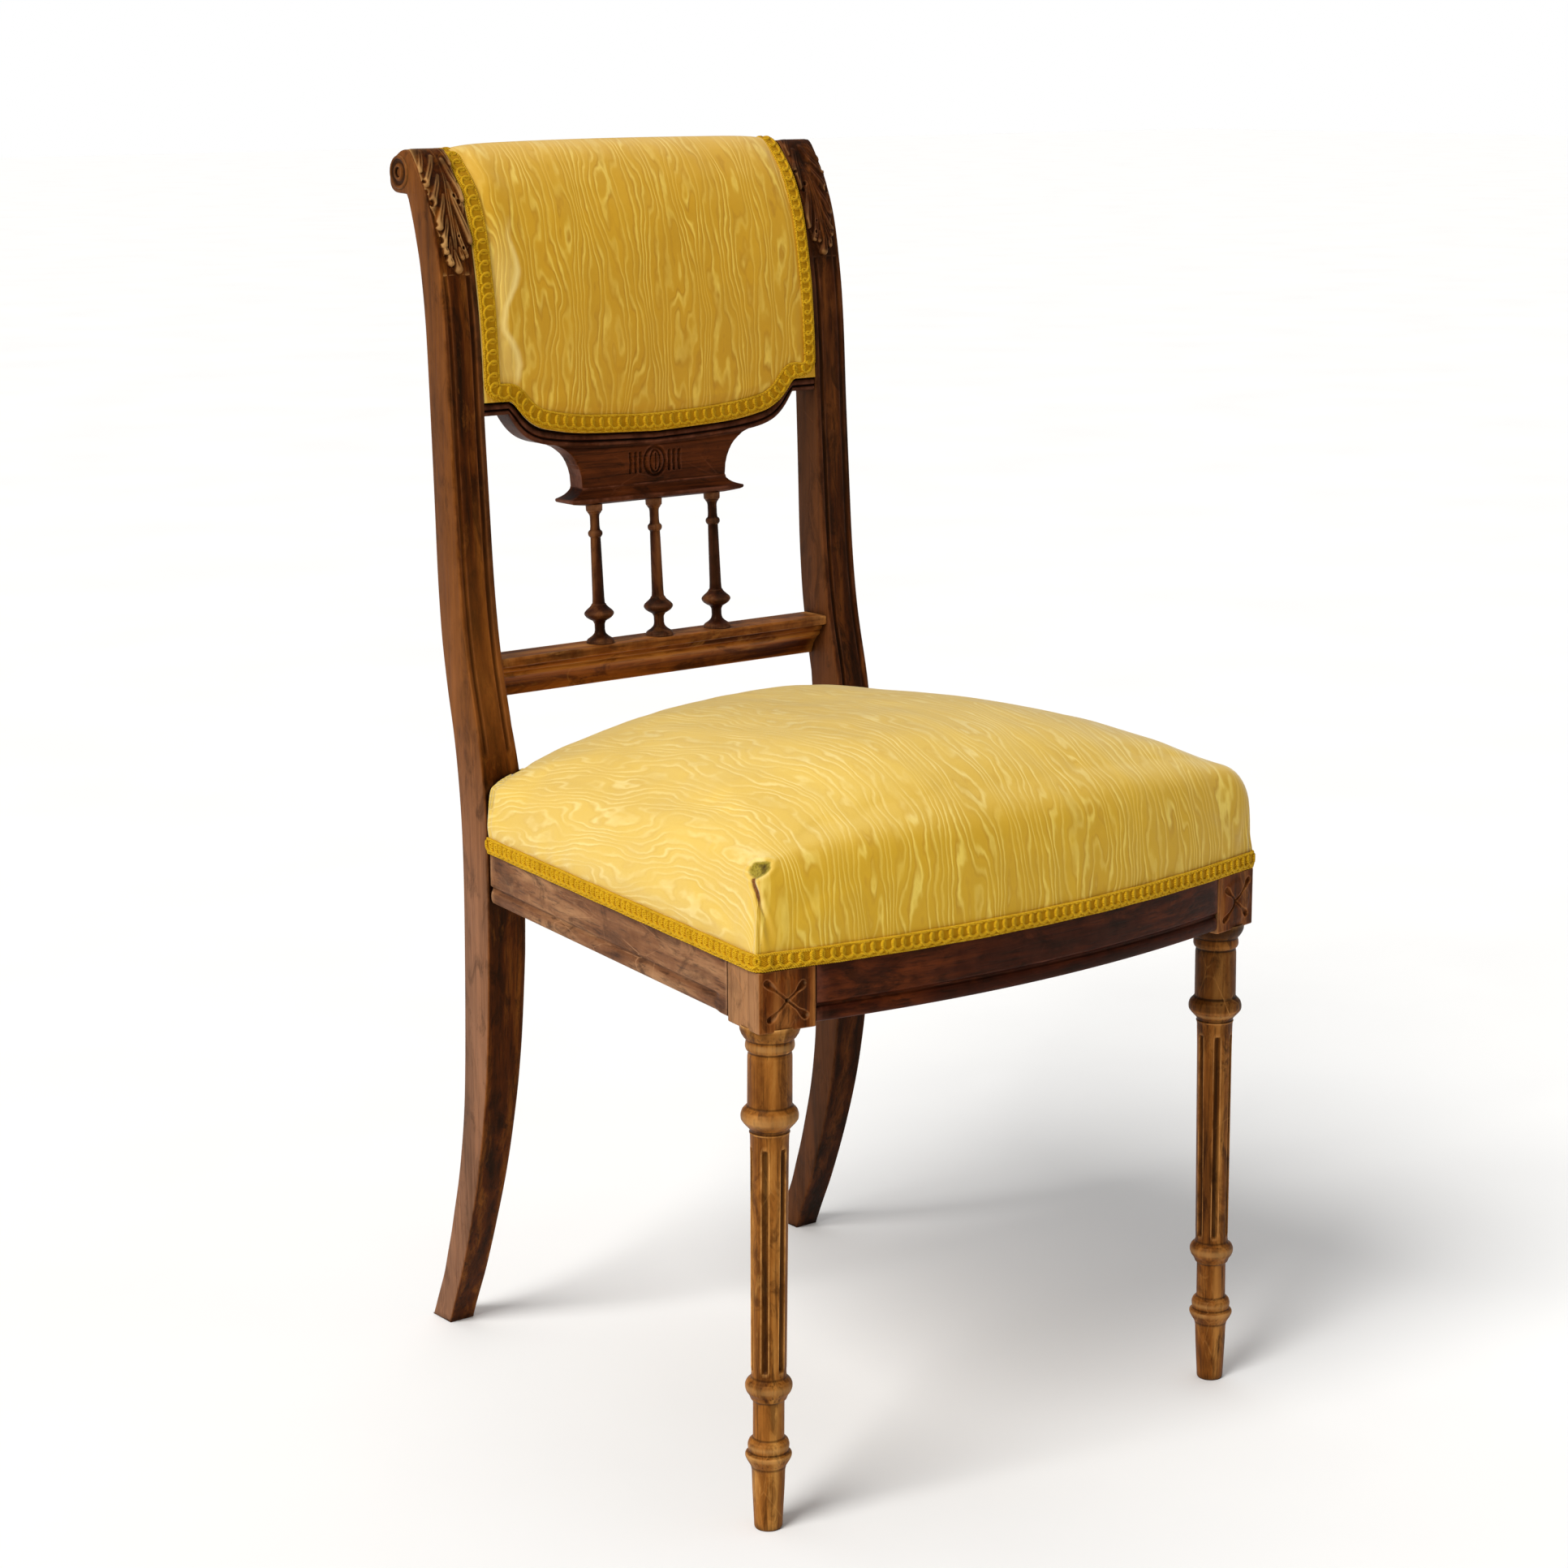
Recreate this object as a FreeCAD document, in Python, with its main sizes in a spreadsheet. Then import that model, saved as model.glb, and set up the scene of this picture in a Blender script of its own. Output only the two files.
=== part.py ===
import FreeCAD, Part
import Sketcher
import math
import os
from FreeCAD import Vector, Placement, Rotation

# Upholstered side chair: sabre back posts that scroll backwards at the top,
# turned and fluted front legs, bowed seat front, stuffed-over seat, upholstered
# back panel with a plaque, three turned spindles and a moulded cross rail.
#
# Frame: the seat's front faces -Y, +X is to the right as seen from the front,
# Z is up, the floor is z = 0 and the chair is symmetric about x = 0. The pieces
# are drawn with y = 0 on the axis of the front legs; depth_origin then moves
# them so that the origin lies under the middle of the whole chair.

os.makedirs("parts", exist_ok=True)
doc = FreeCAD.newDocument("side_chair")

# --------------------------------------------------------------- dimensions
DIMENSIONS = [
    ("depth_origin", 220.63, "front leg axis to the middle of the depth"),
    ("post_outer", 186.8, "outer face of the rear posts from the middle"),
    ("post_inner", 152.6, "inner face of the rear posts at the seat"),
    ("post_width", 34.2, "width of the rear posts at the seat"),
    ("back_half_width", 155.5, "half the distance between the upper posts"),
    ("rail_bottom", 357.5, "underside of the seat rails"),
    ("rail_show_top", 397.0, "top of the seat rails that shows"),
    ("rail_top", 412.0, "top of the seat rails under the upholstery"),
    ("rail_rebate", 3.0, "rebate of the rails for the cover"),
    ("rail_thickness", 22.0, "thickness of the front and side seat rails"),
    ("front_radius", 906.3, "radius of the bowed front rail's face"),
    ("front_bow", -41.0, "face of the front rail in the middle"),
    ("front_half_angle", 11.742, "half the angle of the front rail's arc"),
    ("block_bottom", 354.6, "underside of the front legs' blocks"),
    ("leg_axis", 205.7, "front leg axis from the middle at the block"),
    ("leg_splay", 0.695, "outward lean of the front legs, degrees"),
    ("flute_width", 3.2, "width of a flute"),
    ("flute_depth", 1.5, "depth of a flute"),
    ("flute_count", 6, "flutes round a leg"),
    ("side_front_x", 222.9, "outer face of the side rail at its front"),
    ("side_front_y", 24.0, "front end of the side rail"),
    ("side_back_x", 184.2, "outer face of the side rail at its back"),
    ("side_back_y", 372.5, "back end of the side rail"),
    ("back_rail_front", 384.0, "front face of the back seat rail"),
    ("back_rail_thickness", 21.0, "thickness of the back seat rail"),
    ("seat_corner", 75.2, "height of the stuffed edge at the front"),
    ("seat_crown", 63.8, "rise of the seat's crown above its edge"),
    ("seat_edge_drop", 0.43, "how far the stuffed edge falls towards the back"),
    ("cover_thickness", 1.4, "thickness of the fabric with its lining"),
    ("gimp_height", 12.0, "width of the braid round the seat"),
    ("gimp_thickness", 1.8, "thickness of the braid"),
    ("back_gimp_width", 14.0, "width of the braid round the back panel"),
    ("dowel_radius", 4.0, "radius of a dowel"),
    ("dowel_clearance", 0.1, "clearance of a dowel hole on the radius"),
    ("brace_thickness", 24.0, "height of the corner braces"),
    ("brace_bottom", 374.0, "underside of the corner braces"),
    ("web_width", 50.0, "width of a webbing strap"),
    ("web_thickness", 1.5, "thickness of a webbing strap"),
    ("lower_rail_length", 311.0, "length of the cross rail under the spindles"),
    ("plaque_thickness", 17.0, "thickness of the plaque"),
    ("plaque_front", 412.0, "front face of the plaque"),
    ("lip_depth", 23.5, "depth of the flared lip under the plaque"),
    ("shield_thickness", 15.5, "thickness of the shield rail behind the cover"),
    ("shield_front", 415.0, "front face of the shield rail behind the cover"),
    ("shield_step", 3.5, "how far its visible edge stands forward"),
    ("roll_radius", 13.0, "radius of the crest roll"),
    ("roll_y", 467.0, "crest roll, y"),
    ("roll_z", 895.0, "crest roll, z"),
]

sheet = doc.addObject("Spreadsheet::Sheet", "dims")
sheet.Label = "dims"
for row, (alias, value, note) in enumerate(DIMENSIONS, 1):
    sheet.set("A%d" % row, note)
    sheet.set("B%d" % row, str(value))
    sheet.setAlias("B%d" % row, alias)
doc.recompute()


def D(alias):
    return float(sheet.get(alias))


NODES = []       # the finished object of each sub-part
CUTS = []        # features that have to take material away


# ------------------------------------------------------------------ helpers
def body(label):
    b = doc.addObject("PartDesign::Body", label)
    b.Label = label
    return b


def plane(b, role):
    for f in b.Origin.OriginFeatures:
        if f.Role == role:
            return f
    raise RuntimeError(role)


def sketch(b, name, role, off=(0, 0, 0), rot=None):
    s = b.newObject("Sketcher::SketchObject", name)
    s.AttachmentSupport = [(plane(b, role), "")]
    s.MapMode = "FlatFace"
    s.AttachmentOffset = Placement(Vector(*off), rot or Rotation())
    return s


def line(s, a, b, helper=False):
    return s.addGeometry(Part.LineSegment(Vector(a[0], a[1], 0), Vector(b[0], b[1], 0)), helper)


def outline(s, points):
    """A closed run of straight lines."""
    n = len(points)
    first = None
    for i in range(n):
        g = line(s, points[i], points[(i + 1) % n])
        first = g if first is None else first
    for i in range(n):
        s.addConstraint(Sketcher.Constraint("Coincident", first + i, 2, first + (i + 1) % n, 1))
    return first


def curve(s, points):
    c = Part.BSplineCurve()
    c.interpolate([Vector(p[0], p[1], 0) for p in points])
    return s.addGeometry(c, False)


def bound_rect(s, x0, y0, x1, y1, bind):
    """A rectangle with its four sides held by distances; bind maps the
    names left, right, bottom, top to expressions."""
    g = outline(s, [(x0, y0), (x1, y0), (x1, y1), (x0, y1)])
    s.addConstraint(Sketcher.Constraint("Horizontal", g))
    s.addConstraint(Sketcher.Constraint("Horizontal", g + 2))
    s.addConstraint(Sketcher.Constraint("Vertical", g + 1))
    s.addConstraint(Sketcher.Constraint("Vertical", g + 3))
    for name, kind, geo, value in (("left", "DistanceX", g, x0), ("right", "DistanceX", g + 1, x1),
                                   ("bottom", "DistanceY", g, y0), ("top", "DistanceY", g + 2, y1)):
        c = s.addConstraint(Sketcher.Constraint(kind, -1, 1, geo, 1, value))
        s.renameConstraint(c, name)
        if name in bind:
            s.setExpression("Constraints." + name, bind[name])
    return g


def circle(s, x, y, r):
    return s.addGeometry(Part.Circle(Vector(x, y, 0), Vector(0, 0, 1), r), False)


def pad(b, s, name, length, reverse=False, mid=False):
    p = b.newObject("PartDesign::Pad", name)
    p.Profile = s
    if isinstance(length, str):
        p.setExpression("Length", length)
    else:
        p.Length = length
    p.Reversed = reverse
    p.Midplane = mid
    s.Visibility = False
    return p


def pocket(b, s, name, length, reverse=False, mid=False):
    p = b.newObject("PartDesign::Pocket", name)
    p.Profile = s
    if isinstance(length, str):
        p.setExpression("Length", length)
    else:
        p.Length = length
    p.Reversed = reverse
    p.Midplane = mid
    s.Visibility = False
    CUTS.append(p)
    return p


def revolve(b, s, name, angle=360.0, mid=False, axis="V_Axis"):
    r = b.newObject("PartDesign::Revolution", name)
    r.Profile = s
    r.ReferenceAxis = (s, [axis])
    if isinstance(angle, str):
        r.setExpression("Angle", angle)
    else:
        r.Angle = angle
    r.Midplane = mid
    s.Visibility = False
    return r


def finish(obj, label=None):
    """Puts a sub-part in the chair's own frame and keeps it for the files."""
    if label:
        obj.Label = label
    obj.setExpression("Placement.Base.y", "-dims.depth_origin")
    NODES.append(obj)
    return obj


def feature(label, shape):
    f = doc.addObject("Part::Feature", label)
    f.Label = label
    f.Shape = shape
    f.Placement = Placement(Vector(0, -D("depth_origin"), 0), Rotation())
    NODES.append(f)
    return f


def drilled(b, label, holes):
    """A piece with its dowel, pin and screw holes bored."""
    b.Label = label + "_blank"
    tool = doc.addObject("Part::Feature", label + "_bores")
    tool.Shape = Part.makeCompound(holes)
    c = doc.addObject("Part::Cut", label)
    c.Base = b
    c.Tool = tool
    c.Label = label
    return finish(c)


def rod(p, d, r, length):
    d = Vector(*d)
    d.normalize()
    return Part.makeCylinder(r, length, Vector(*p), d)


def interp(table, z, col=1):
    """Straight-line reading of a table sorted by its first column."""
    for a, b in zip(table, table[1:]):
        if a[0] <= z <= b[0]:
            t = (z - a[0]) / (b[0] - a[0])
            return a[col] + t * (b[col] - a[col])
    return table[0][col] if z < table[0][0] else table[-1][col]


def offset(points, d):
    """Points moved sideways by d, to the left of the run."""
    out = []
    n = len(points)
    for i in range(n):
        a = points[max(i - 1, 0)]
        b = points[min(i + 1, n - 1)]
        tx, ty = b[0] - a[0], b[1] - a[1]
        l = math.hypot(tx, ty)
        out.append((points[i][0] - ty / l * d, points[i][1] + tx / l * d))
    return out


# ------------------------------------------------ shape of the rear posts
# z, front face y, back face y
POST = [
    (0.0, 448.8, 473.5), (25.5, 437.8, 461.6), (42.5, 430.1, 453.9), (59.5, 423.3, 448.0),
    (76.5, 416.9, 442.0), (93.5, 410.9, 436.8), (110.5, 405.4, 431.6), (127.5, 400.3, 426.7),
    (144.5, 395.8, 422.6), (161.5, 391.8, 419.3), (178.5, 388.3, 416.6), (212.5, 382.7, 413.2),
    (246.5, 379.1, 411.2), (280.5, 376.6, 409.7), (314.5, 374.8, 408.5), (348.5, 373.5, 407.6),
    (382.5, 372.8, 407.3), (416.5, 373.3, 408.3), (450.5, 376.2, 411.2), (488.8, 382.0, 417.0),
    (510.0, 387.0, 421.5), (531.3, 392.0, 425.3), (552.5, 395.9, 428.4), (573.8, 398.8, 430.4),
    (595.0, 401.0, 431.8), (637.5, 404.0, 433.2), (680.0, 406.7, 434.5), (722.5, 409.1, 436.1),
    (765.0, 411.2, 437.9), (786.3, 412.9, 439.2), (805.8, 415.1, 441.2), (820.3, 417.3, 443.2),
    (832.2, 419.3, 445.3), (843.2, 421.5, 448.0), (855.1, 424.6, 451.2), (865.7, 428.2, 454.5),
    (876.4, 432.7, 458.2),
]
POST_TOP_FRONT = [(436.9, 884.9), (442.0, 892.1), (447.1, 900.2), (451.6, 906.6)]
POST_NOSE = [(451.6, 906.6), (456.0, 910.6), (461.6, 911.6), (467.4, 910.4), (473.0, 907.6),
             (478.4, 904.0), (482.0, 898.3), (483.1, 890.0), (481.9, 884.6), (478.0, 881.2),
             (472.4, 879.9), (466.0, 879.6), (460.2, 879.2)]


def post_front(z):
    return interp(POST, z, 1)


def post_back(z):
    return interp(POST, z, 2)


# ----------------------------------------------------- seat frame in plan
FR = D("front_radius")
FCY = D("front_bow") + FR                 # middle of the front rail's arc
FA = math.radians(D("front_half_angle"))
SIDE_SLOPE = (D("side_back_x") - D("side_front_x")) / (D("side_back_y") - D("side_front_y"))
SIDE_ANGLE = math.degrees(math.atan(-SIDE_SLOPE))      # side rails close in by this


def arc_y(x, r):
    return FCY - math.sqrt(r * r - x * x)


def side_x(y):
    """Outer face of the side rail at y."""
    return D("side_front_x") + SIDE_SLOPE * (y - D("side_front_y"))


RT = D("rail_thickness")
RTX = RT / math.cos(math.radians(SIDE_ANGLE))          # thickness measured along X
BLOCK_FI = (184.6, -22.8)
BLOCK_BI = (BLOCK_FI[0] - 41.0 * math.sin(FA), BLOCK_FI[1] + 41.0 * math.cos(FA))
BLOCK_FO = (227.0, -15.8)
BLOCK_BO = (222.9, 24.0)

# dowels: middle, direction and half lengths each way
DR = D("dowel_radius")
CL = D("dowel_clearance")
SEAT_DOWELS = []
BACK_DOWELS = []
for s in (-1, 1):
    rm = FR - RT / 2
    for z in (371.0, 396.0):
        # front rail to block
        SEAT_DOWELS.append(((s * rm * math.sin(FA), FCY - rm * math.cos(FA), z),
                            (s * math.cos(FA), math.sin(FA), 0), 15.0, 15.0))
        # side rail to block, side rail to post
        d = Vector(s * -SIDE_SLOPE, -1, 0)
        d.normalize()
        SEAT_DOWELS.append(((s * (D("side_front_x") - 11.6), 22.2, z), (d.x, d.y, 0), 14.0, 16.0))
        SEAT_DOWELS.append(((s * (D("side_back_x") - 11.4), D("side_back_y"), z), (-d.x, -d.y, 0), 14.0, 16.0))
        # back seat rail to post
        SEAT_DOWELS.append(((s * D("post_inner"), D("back_rail_front") + 10.5, z), (s, 0, 0), 13.0, 16.0))
    BACK_DOWELS.append(((s * D("back_half_width"), 415.6, 521.0), (s, 0, 0), 13.0, 15.0))
    BACK_DOWELS.append(((s * D("back_half_width"), 422.8, 730.0), (s, 0, 0), 13.0, 14.0))
    BACK_DOWELS.append(((s * D("back_half_width"), 422.8, 750.0), (s, 0, 0), 13.0, 14.0))
    BACK_DOWELS.append(((s * D("back_half_width"), D("roll_y"), D("roll_z")), (s, 0, 0), 13.0, 15.0))


def dowel(p, d, out, back, extra=0.0, r=None):
    d = Vector(*d)
    d.normalize()
    r = DR if r is None else r
    a = Vector(*p) - d * (back + extra)
    return Part.makeCylinder(r, out + back + 2 * extra, a, d)


def bores(near):
    """Dowel holes whose middle satisfies a test."""
    return [dowel(p, d, o, k, 1.0, DR + CL) for (p, d, o, k) in SEAT_DOWELS + BACK_DOWELS if near(p)]


# screws of the corner braces: head centre, direction, length
SCREWS = []
for s in (-1, 1):
    SCREWS.append(((s * 127.0, 2.0, 387.0), (s * 0.14, -0.99, 0), 27.0))
    SCREWS.append(((s * 184.5, 77.0, 387.0), (s * 0.994, 0.11, 0), 25.0))
    SCREWS.append(((s * 157.5, 332.0, 387.0), (s * 0.994, 0.11, 0), 24.0))
    SCREWS.append(((s * 113.0, 374.0, 387.0), (0, 1, 0), 24.0))


def screw(p, d, length):
    """Countersunk wood screw with a driving slot."""
    d = Vector(*d)
    d.normalize()
    p = Vector(*p)
    shank = Part.makeCylinder(2.0, length - 7.0, p, d)
    tip = Part.makeCone(2.0, 0.4, 7.0, p + d * (length - 7.0), d)
    head = Part.makeCone(4.0, 2.0, 2.4, p, d)
    return head.fuse([shank, tip]).removeSplitter()


def screw_bore(p, d, length):
    d = Vector(*d)
    d.normalize()
    p = Vector(*p)
    hole = Part.makeCylinder(2.1, length + 1.0, p, d)
    sink = Part.makeCylinder(4.4, 22.0, p + d * 2.6 - d * 22.0, d)
    return hole.fuse(sink)


def screw_bores(near):
    return [screw_bore(p, d, l) for (p, d, l) in SCREWS if near(p)]


# ---------------------------------------------------------------- rear posts
def rear_post(side):
    s = 1 if side == "right" else -1
    label = "rear_post_" + side
    b = body(label + "_body")
    x_low = D("post_inner") if s > 0 else -D("post_outer")
    x_out = s * D("post_outer")
    # side profile: sabre leg, upright and scroll
    sk = sketch(b, "profile", "YZ_Plane", (0, 0, x_low))
    front = [(yf, z) for (z, yf, yb) in POST] + POST_TOP_FRONT
    back = [(yb, z) for (z, yf, yb) in POST][::-1]
    curve(sk, front)
    curve(sk, POST_NOSE)
    line(sk, POST_NOSE[-1], back[0])
    curve(sk, back)
    line(sk, back[-1], front[0])
    pad(b, sk, "upright", "dims.post_width")
    # the inner face leans in towards the seat and steps out again above it
    sk = sketch(b, "inner_line", "XZ_Plane", (0, 0, -340))
    pts = [(s * 140, -5), (s * 162.1, -5), (s * 162.1, 0), (s * 160.8, 93), (s * 157.8, 178), (s * 154.7, 246),
           (s * 152.6, 314), (s * 140, 314)]
    outline(sk, pts if s > 0 else pts[::-1])
    pts = [(s * 140, 450), (s * 152.6, 450), (s * 155.5, 489), (s * 155.5, 930), (s * 140, 930)]
    outline(sk, pts if s > 0 else pts[::-1])
    pocket(b, sk, "inner_face", 150)
    # the foot tapers on its outer face
    sk = sketch(b, "outer_line", "XZ_Plane", (0, 0, -340))
    pts = [(s * 184.5, -5), (s * 200, -5), (s * 200, 150), (s * 186.8, 150)]
    outline(sk, pts if s > 0 else pts[::-1])
    pocket(b, sk, "outer_face", 150)
    # sunk channel down the front face, beside the inner edge bead
    run = [(post_front(z), z) for z in (468, 475, 482, 489, 500, 515, 531, 552, 574, 595, 637, 680, 722, 765, 786,
                                         806, 820, 832)]
    inner = offset(run, -1.5)
    outer = offset(run, 1.5)
    x_mid = s * 168.0
    sk = sketch(b, "channel_strip", "YZ_Plane", (0, 0, x_mid + 1.3))
    curve(sk, outer)
    line(sk, outer[-1], inner[-1])
    curve(sk, inner[::-1])
    line(sk, inner[0], outer[0])
    pocket(b, sk, "channel", 2.6)
    # drilled eyes along the carved leaf
    t = -19.7
    rot = Rotation(Vector(1, 0, 0), t)
    base = Vector(0, 835, -420) + rot.multVec(Vector(0, 0, 6))
    sk = sketch(b, "leaf_eyes", "XZ_Plane", (base.x, base.y, base.z), rot)
    for (ex, ez) in ((182.0, 887), (181.8, 874), (182.2, 858), (181.0, 845), (178.6, 836), (175.2, 827)):
        circle(sk, s * ex, (ez - 835) / math.cos(math.radians(t)) - 6 * math.tan(math.radians(-t)) * 0 , 1.5)
    pocket(b, sk, "eyes", 9.5)
    # turned roundel on the outer side of the scroll
    sk = sketch(b, "scroll_ring", "YZ_Plane", (0, 0, x_out))
    circle(sk, 468.4, 894.6, 10.4)
    circle(sk, 468.4, 894.6, 9.0)
    circle(sk, 468.4, 894.6, 2.4)
    pocket(b, sk, "roundel", 1.2, reverse=(s < 0))

    def mine(p):
        return p[0] * s > 0 and (p[1] > 350)
    return drilled(b, label, [dowel(p, d, o, k, 1.0, DR + CL) for (p, d, o, k) in SEAT_DOWELS + BACK_DOWELS
                              if mine(p)])


rear_post("left")
rear_post("right")

# ---------------------------------------------------------------- front legs
# height z and radius of the turned leg
LEG = [
    (-1.2, 9.0), (1.5, 9.7), (29, 11.0), (42, 11.4), (45.5, 12.2), (49.5, 14.6), (52.3, 15.9), (54.2, 15.9),
    (55.2, 14.0), (56, 13.2), (57.5, 14.0), (60.5, 14.3), (63.3, 13.4), (65.3, 11.2), (66.5, 10.7), (90, 10.7),
    (92.2, 10.8), (93.2, 12.2), (96.5, 13.4), (98.8, 15.2), (101.5, 16.1), (104, 16.1), (106.5, 15.0),
    (108.5, 12.6), (111, 11.9), (262, 12.7), (278, 13.1), (280, 13.2), (281.5, 13.9), (282.2, 13.2), (283, 13.2),
    (284.6, 14.3), (288, 17.5), (290.5, 19.3), (293.5, 19.5), (296.5, 18.6), (299, 16.2), (300.5, 15.1),
    (334, 15.0), (336.2, 14.6), (337.4, 14.6), (338.5, 16.0), (340.5, 16.6), (343, 16.4), (345.5, 15.8),
    (346.5, 17.2), (349.5, 19.2), (352.5, 20.3), (356.5, 20.3),
]


def front_leg(side):
    s = 1 if side == "right" else -1
    label = "front_leg_" + side
    b = body(label + "_body")
    # the block, with its four faces turned a little outwards
    sk = sketch(b, "block_plan", "XY_Plane", (0, 0, D("block_bottom")))
    quad = [BLOCK_FI, BLOCK_FO, BLOCK_BO, BLOCK_BI]
    quad = [(s * x, y) for (x, y) in quad]
    outline(sk, quad if s > 0 else quad[::-1])
    pad(b, sk, "block", D("rail_show_top") - D("block_bottom"))
    # its top is rebated for the upholstery on the two outer faces
    sk = sketch(b, "rebated_plan", "XY_Plane", (0, 0, D("rail_show_top") - 1))
    a = 4.5
    xb = BLOCK_BO[0] - a + 0.6
    yb = BLOCK_BI[1] + (xb - BLOCK_BI[0]) * (BLOCK_BO[1] - BLOCK_BI[1]) / (BLOCK_BO[0] - BLOCK_BI[0])
    quad = [(BLOCK_FI[0] - 0.9, BLOCK_FI[1] + a), (BLOCK_FO[0] - a, BLOCK_FO[1] + a), (xb, yb), BLOCK_BI]
    quad = [(s * x, y) for (x, y) in quad]
    outline(sk, quad if s > 0 else quad[::-1])
    pad(b, sk, "block_top", D("rail_top") - D("rail_show_top") + 1)
    # turned leg about an axis that leans outwards
    tilt = Rotation(Vector(0, 0, 1), D("leg_splay") * s)
    pivot = Vector(s * D("leg_axis"), D("block_bottom"), 0)
    sk = sketch(b, "turning", "XZ_Plane", (pivot.x, pivot.y, 0), tilt)
    pts = [(0.0, LEG[0][0] - D("block_bottom"))]
    for z, r in LEG:
        pts.append((r, z - D("block_bottom")))
    pts.append((0.0, LEG[-1][0] - D("block_bottom")))
    outline(sk, pts)
    turning = revolve(b, sk, "turned_leg")
    axis_sketch = sk
    # foot trimmed level with the floor
    sk = sketch(b, "floor_cut", "XY_Plane", (0, 0, 0))
    circle(sk, s * 210, 0, 30)
    pocket(b, sk, "level_foot", 10)
    # one flute, repeated round the leg
    phase = -9.0 if s < 0 else -25.4
    dist = 12.2 + 2.0
    spin = tilt.multiply(Rotation(Vector(0, 1, 0), -phase if s < 0 else -phase))
    at = pivot + spin.multVec(Vector(0, 0, dist))
    sk = sketch(b, "flute_shape", "XZ_Plane", (at.x, at.y, at.z), spin)
    w = D("flute_width") / 2
    z0 = 114.0 - D("block_bottom") + w
    z1 = 271.5 - D("block_bottom") - w
    sk.addGeometry(Part.LineSegment(Vector(w, z0, 0), Vector(w, z1, 0)), False)
    sk.addGeometry(Part.LineSegment(Vector(-w, z1, 0), Vector(-w, z0, 0)), False)
    sk.addGeometry(Part.ArcOfCircle(Part.Circle(Vector(0, z1, 0), Vector(0, 0, 1), w), 0, math.pi), False)
    sk.addGeometry(Part.ArcOfCircle(Part.Circle(Vector(0, z0, 0), Vector(0, 0, 1), w), math.pi, 2 * math.pi), False)
    sk.addConstraint(Sketcher.Constraint("Tangent", 0, 2, 2, 1))
    sk.addConstraint(Sketcher.Constraint("Tangent", 2, 2, 1, 1))
    sk.addConstraint(Sketcher.Constraint("Tangent", 1, 2, 3, 1))
    sk.addConstraint(Sketcher.Constraint("Tangent", 3, 2, 0, 1))
    c = sk.addConstraint(Sketcher.Constraint("Radius", 3, w))
    sk.renameConstraint(c, "half_width")
    sk.setExpression("Constraints.half_width", "dims.flute_width / 2")
    flute = pocket(b, sk, "flute", "2 + dims.flute_depth")
    ring = b.newObject("PartDesign::PolarPattern", "flutes")
    ring.Originals = [flute]
    ring.Axis = (axis_sketch, ["V_Axis"])
    ring.Angle = 360
    ring.setExpression("Occurrences", "dims.flute_count")
    b.Tip = ring

    def mine(p):
        return p[0] * s > 150 and p[1] < 60
    return drilled(b, label, [dowel(p, d, o, k, 1.0, DR + CL) for (p, d, o, k) in SEAT_DOWELS if mine(p)])


front_leg("left")
front_leg("right")

# ---------------------------------------------------------- front seat rail
b = body("front_seat_rail_body")
# section at the middle, turned about the arc's middle; x = 0 of the sketch is that axis
sk = sketch(b, "section", "YZ_Plane", (FCY, 0, 0))
zb, zs, zt = D("rail_bottom"), D("rail_show_top"), D("rail_top")
outline(sk, [(-FR + 3.0, zb - 0.4), (-FR + 1.2, zb + 1.4), (-FR + 0.2, zb + 5.0), (-FR + 0.4, 368.2), (-FR + 1.7, 369.4),
             (-FR + 0.0, 371.4), (-FR + 0.0, zs), (-FR + D("rail_rebate"), zs), (-FR + D("rail_rebate"), zt),
             (-FR + RT, zt), (-FR + RT, zb - 0.4)])
revolve(b, sk, "bowed_rail", "2 * dims.front_half_angle", mid=True)
drilled(b, "front_seat_rail",
        bores(lambda p: abs(p[0]) > 170 and p[1] < 0) + screw_bores(lambda p: p[1] < 10))


# ----------------------------------------------------------- side seat rails
def side_rail(side):
    s = 1 if side == "right" else -1
    label = "side_seat_rail_" + side
    b = body(label + "_body")
    y0, y1 = D("side_front_y"), D("side_back_y")
    # its front end butts against the block's sloping back face
    slope = (BLOCK_BO[1] - BLOCK_BI[1]) / (BLOCK_BO[0] - BLOCK_BI[0])
    xi = side_x(y0) - RTX
    yi = y0 - slope * RTX

    def plan(inset):
        xo = side_x(y0) - inset
        yo = y0 - slope * inset
        quad = [(xo, yo + 0.1), (side_x(y1) - inset, y1), (side_x(y1) - RTX, y1),
                (side_x(yi) - RTX, yi + 0.1)]
        quad = [(s * x, y) for (x, y) in quad]
        return quad if s > 0 else quad[::-1]

    sk = sketch(b, "plan", "XY_Plane", (0, 0, D("rail_bottom")))
    outline(sk, plan(0.0))
    pad(b, sk, "rail", "dims.rail_show_top - dims.rail_bottom")
    sk = sketch(b, "rebated_plan", "XY_Plane", (0, 0, D("rail_show_top")))
    outline(sk, plan(D("rail_rebate")))
    pad(b, sk, "rail_top", "dims.rail_top - dims.rail_show_top")
    # stopped groove and bead along the lower edge of the outer face
    rot = Rotation(Vector(0, 1, 0), SIDE_ANGLE * s)
    # sketch plane at y = 36, square to the rail's face; x runs outwards on the right
    ystart = 36.0
    xf = side_x(ystart)
    sk = sketch(b, "moulding", "XZ_Plane", (s * xf, 0, -ystart), rot)
    pts = [(3, 371.6), (0, 371.6), (-1.8, 370.3), (-0.6, 368.8), (-0.2, 363.5), (-1.2, 359.2), (-3.0, 357.4),
           (-3.0, 355.0), (3, 355.0)]
    pts = [(s * x, z) for (x, z) in pts]
    outline(sk, pts if s < 0 else pts[::-1])
    pocket(b, sk, "groove_and_bead", 360)
    return drilled(b, label,
                   bores(lambda p: p[0] * s > 170 and (10 < p[1] < 380)) +
                   screw_bores(lambda p: p[0] * s > 150))


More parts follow.
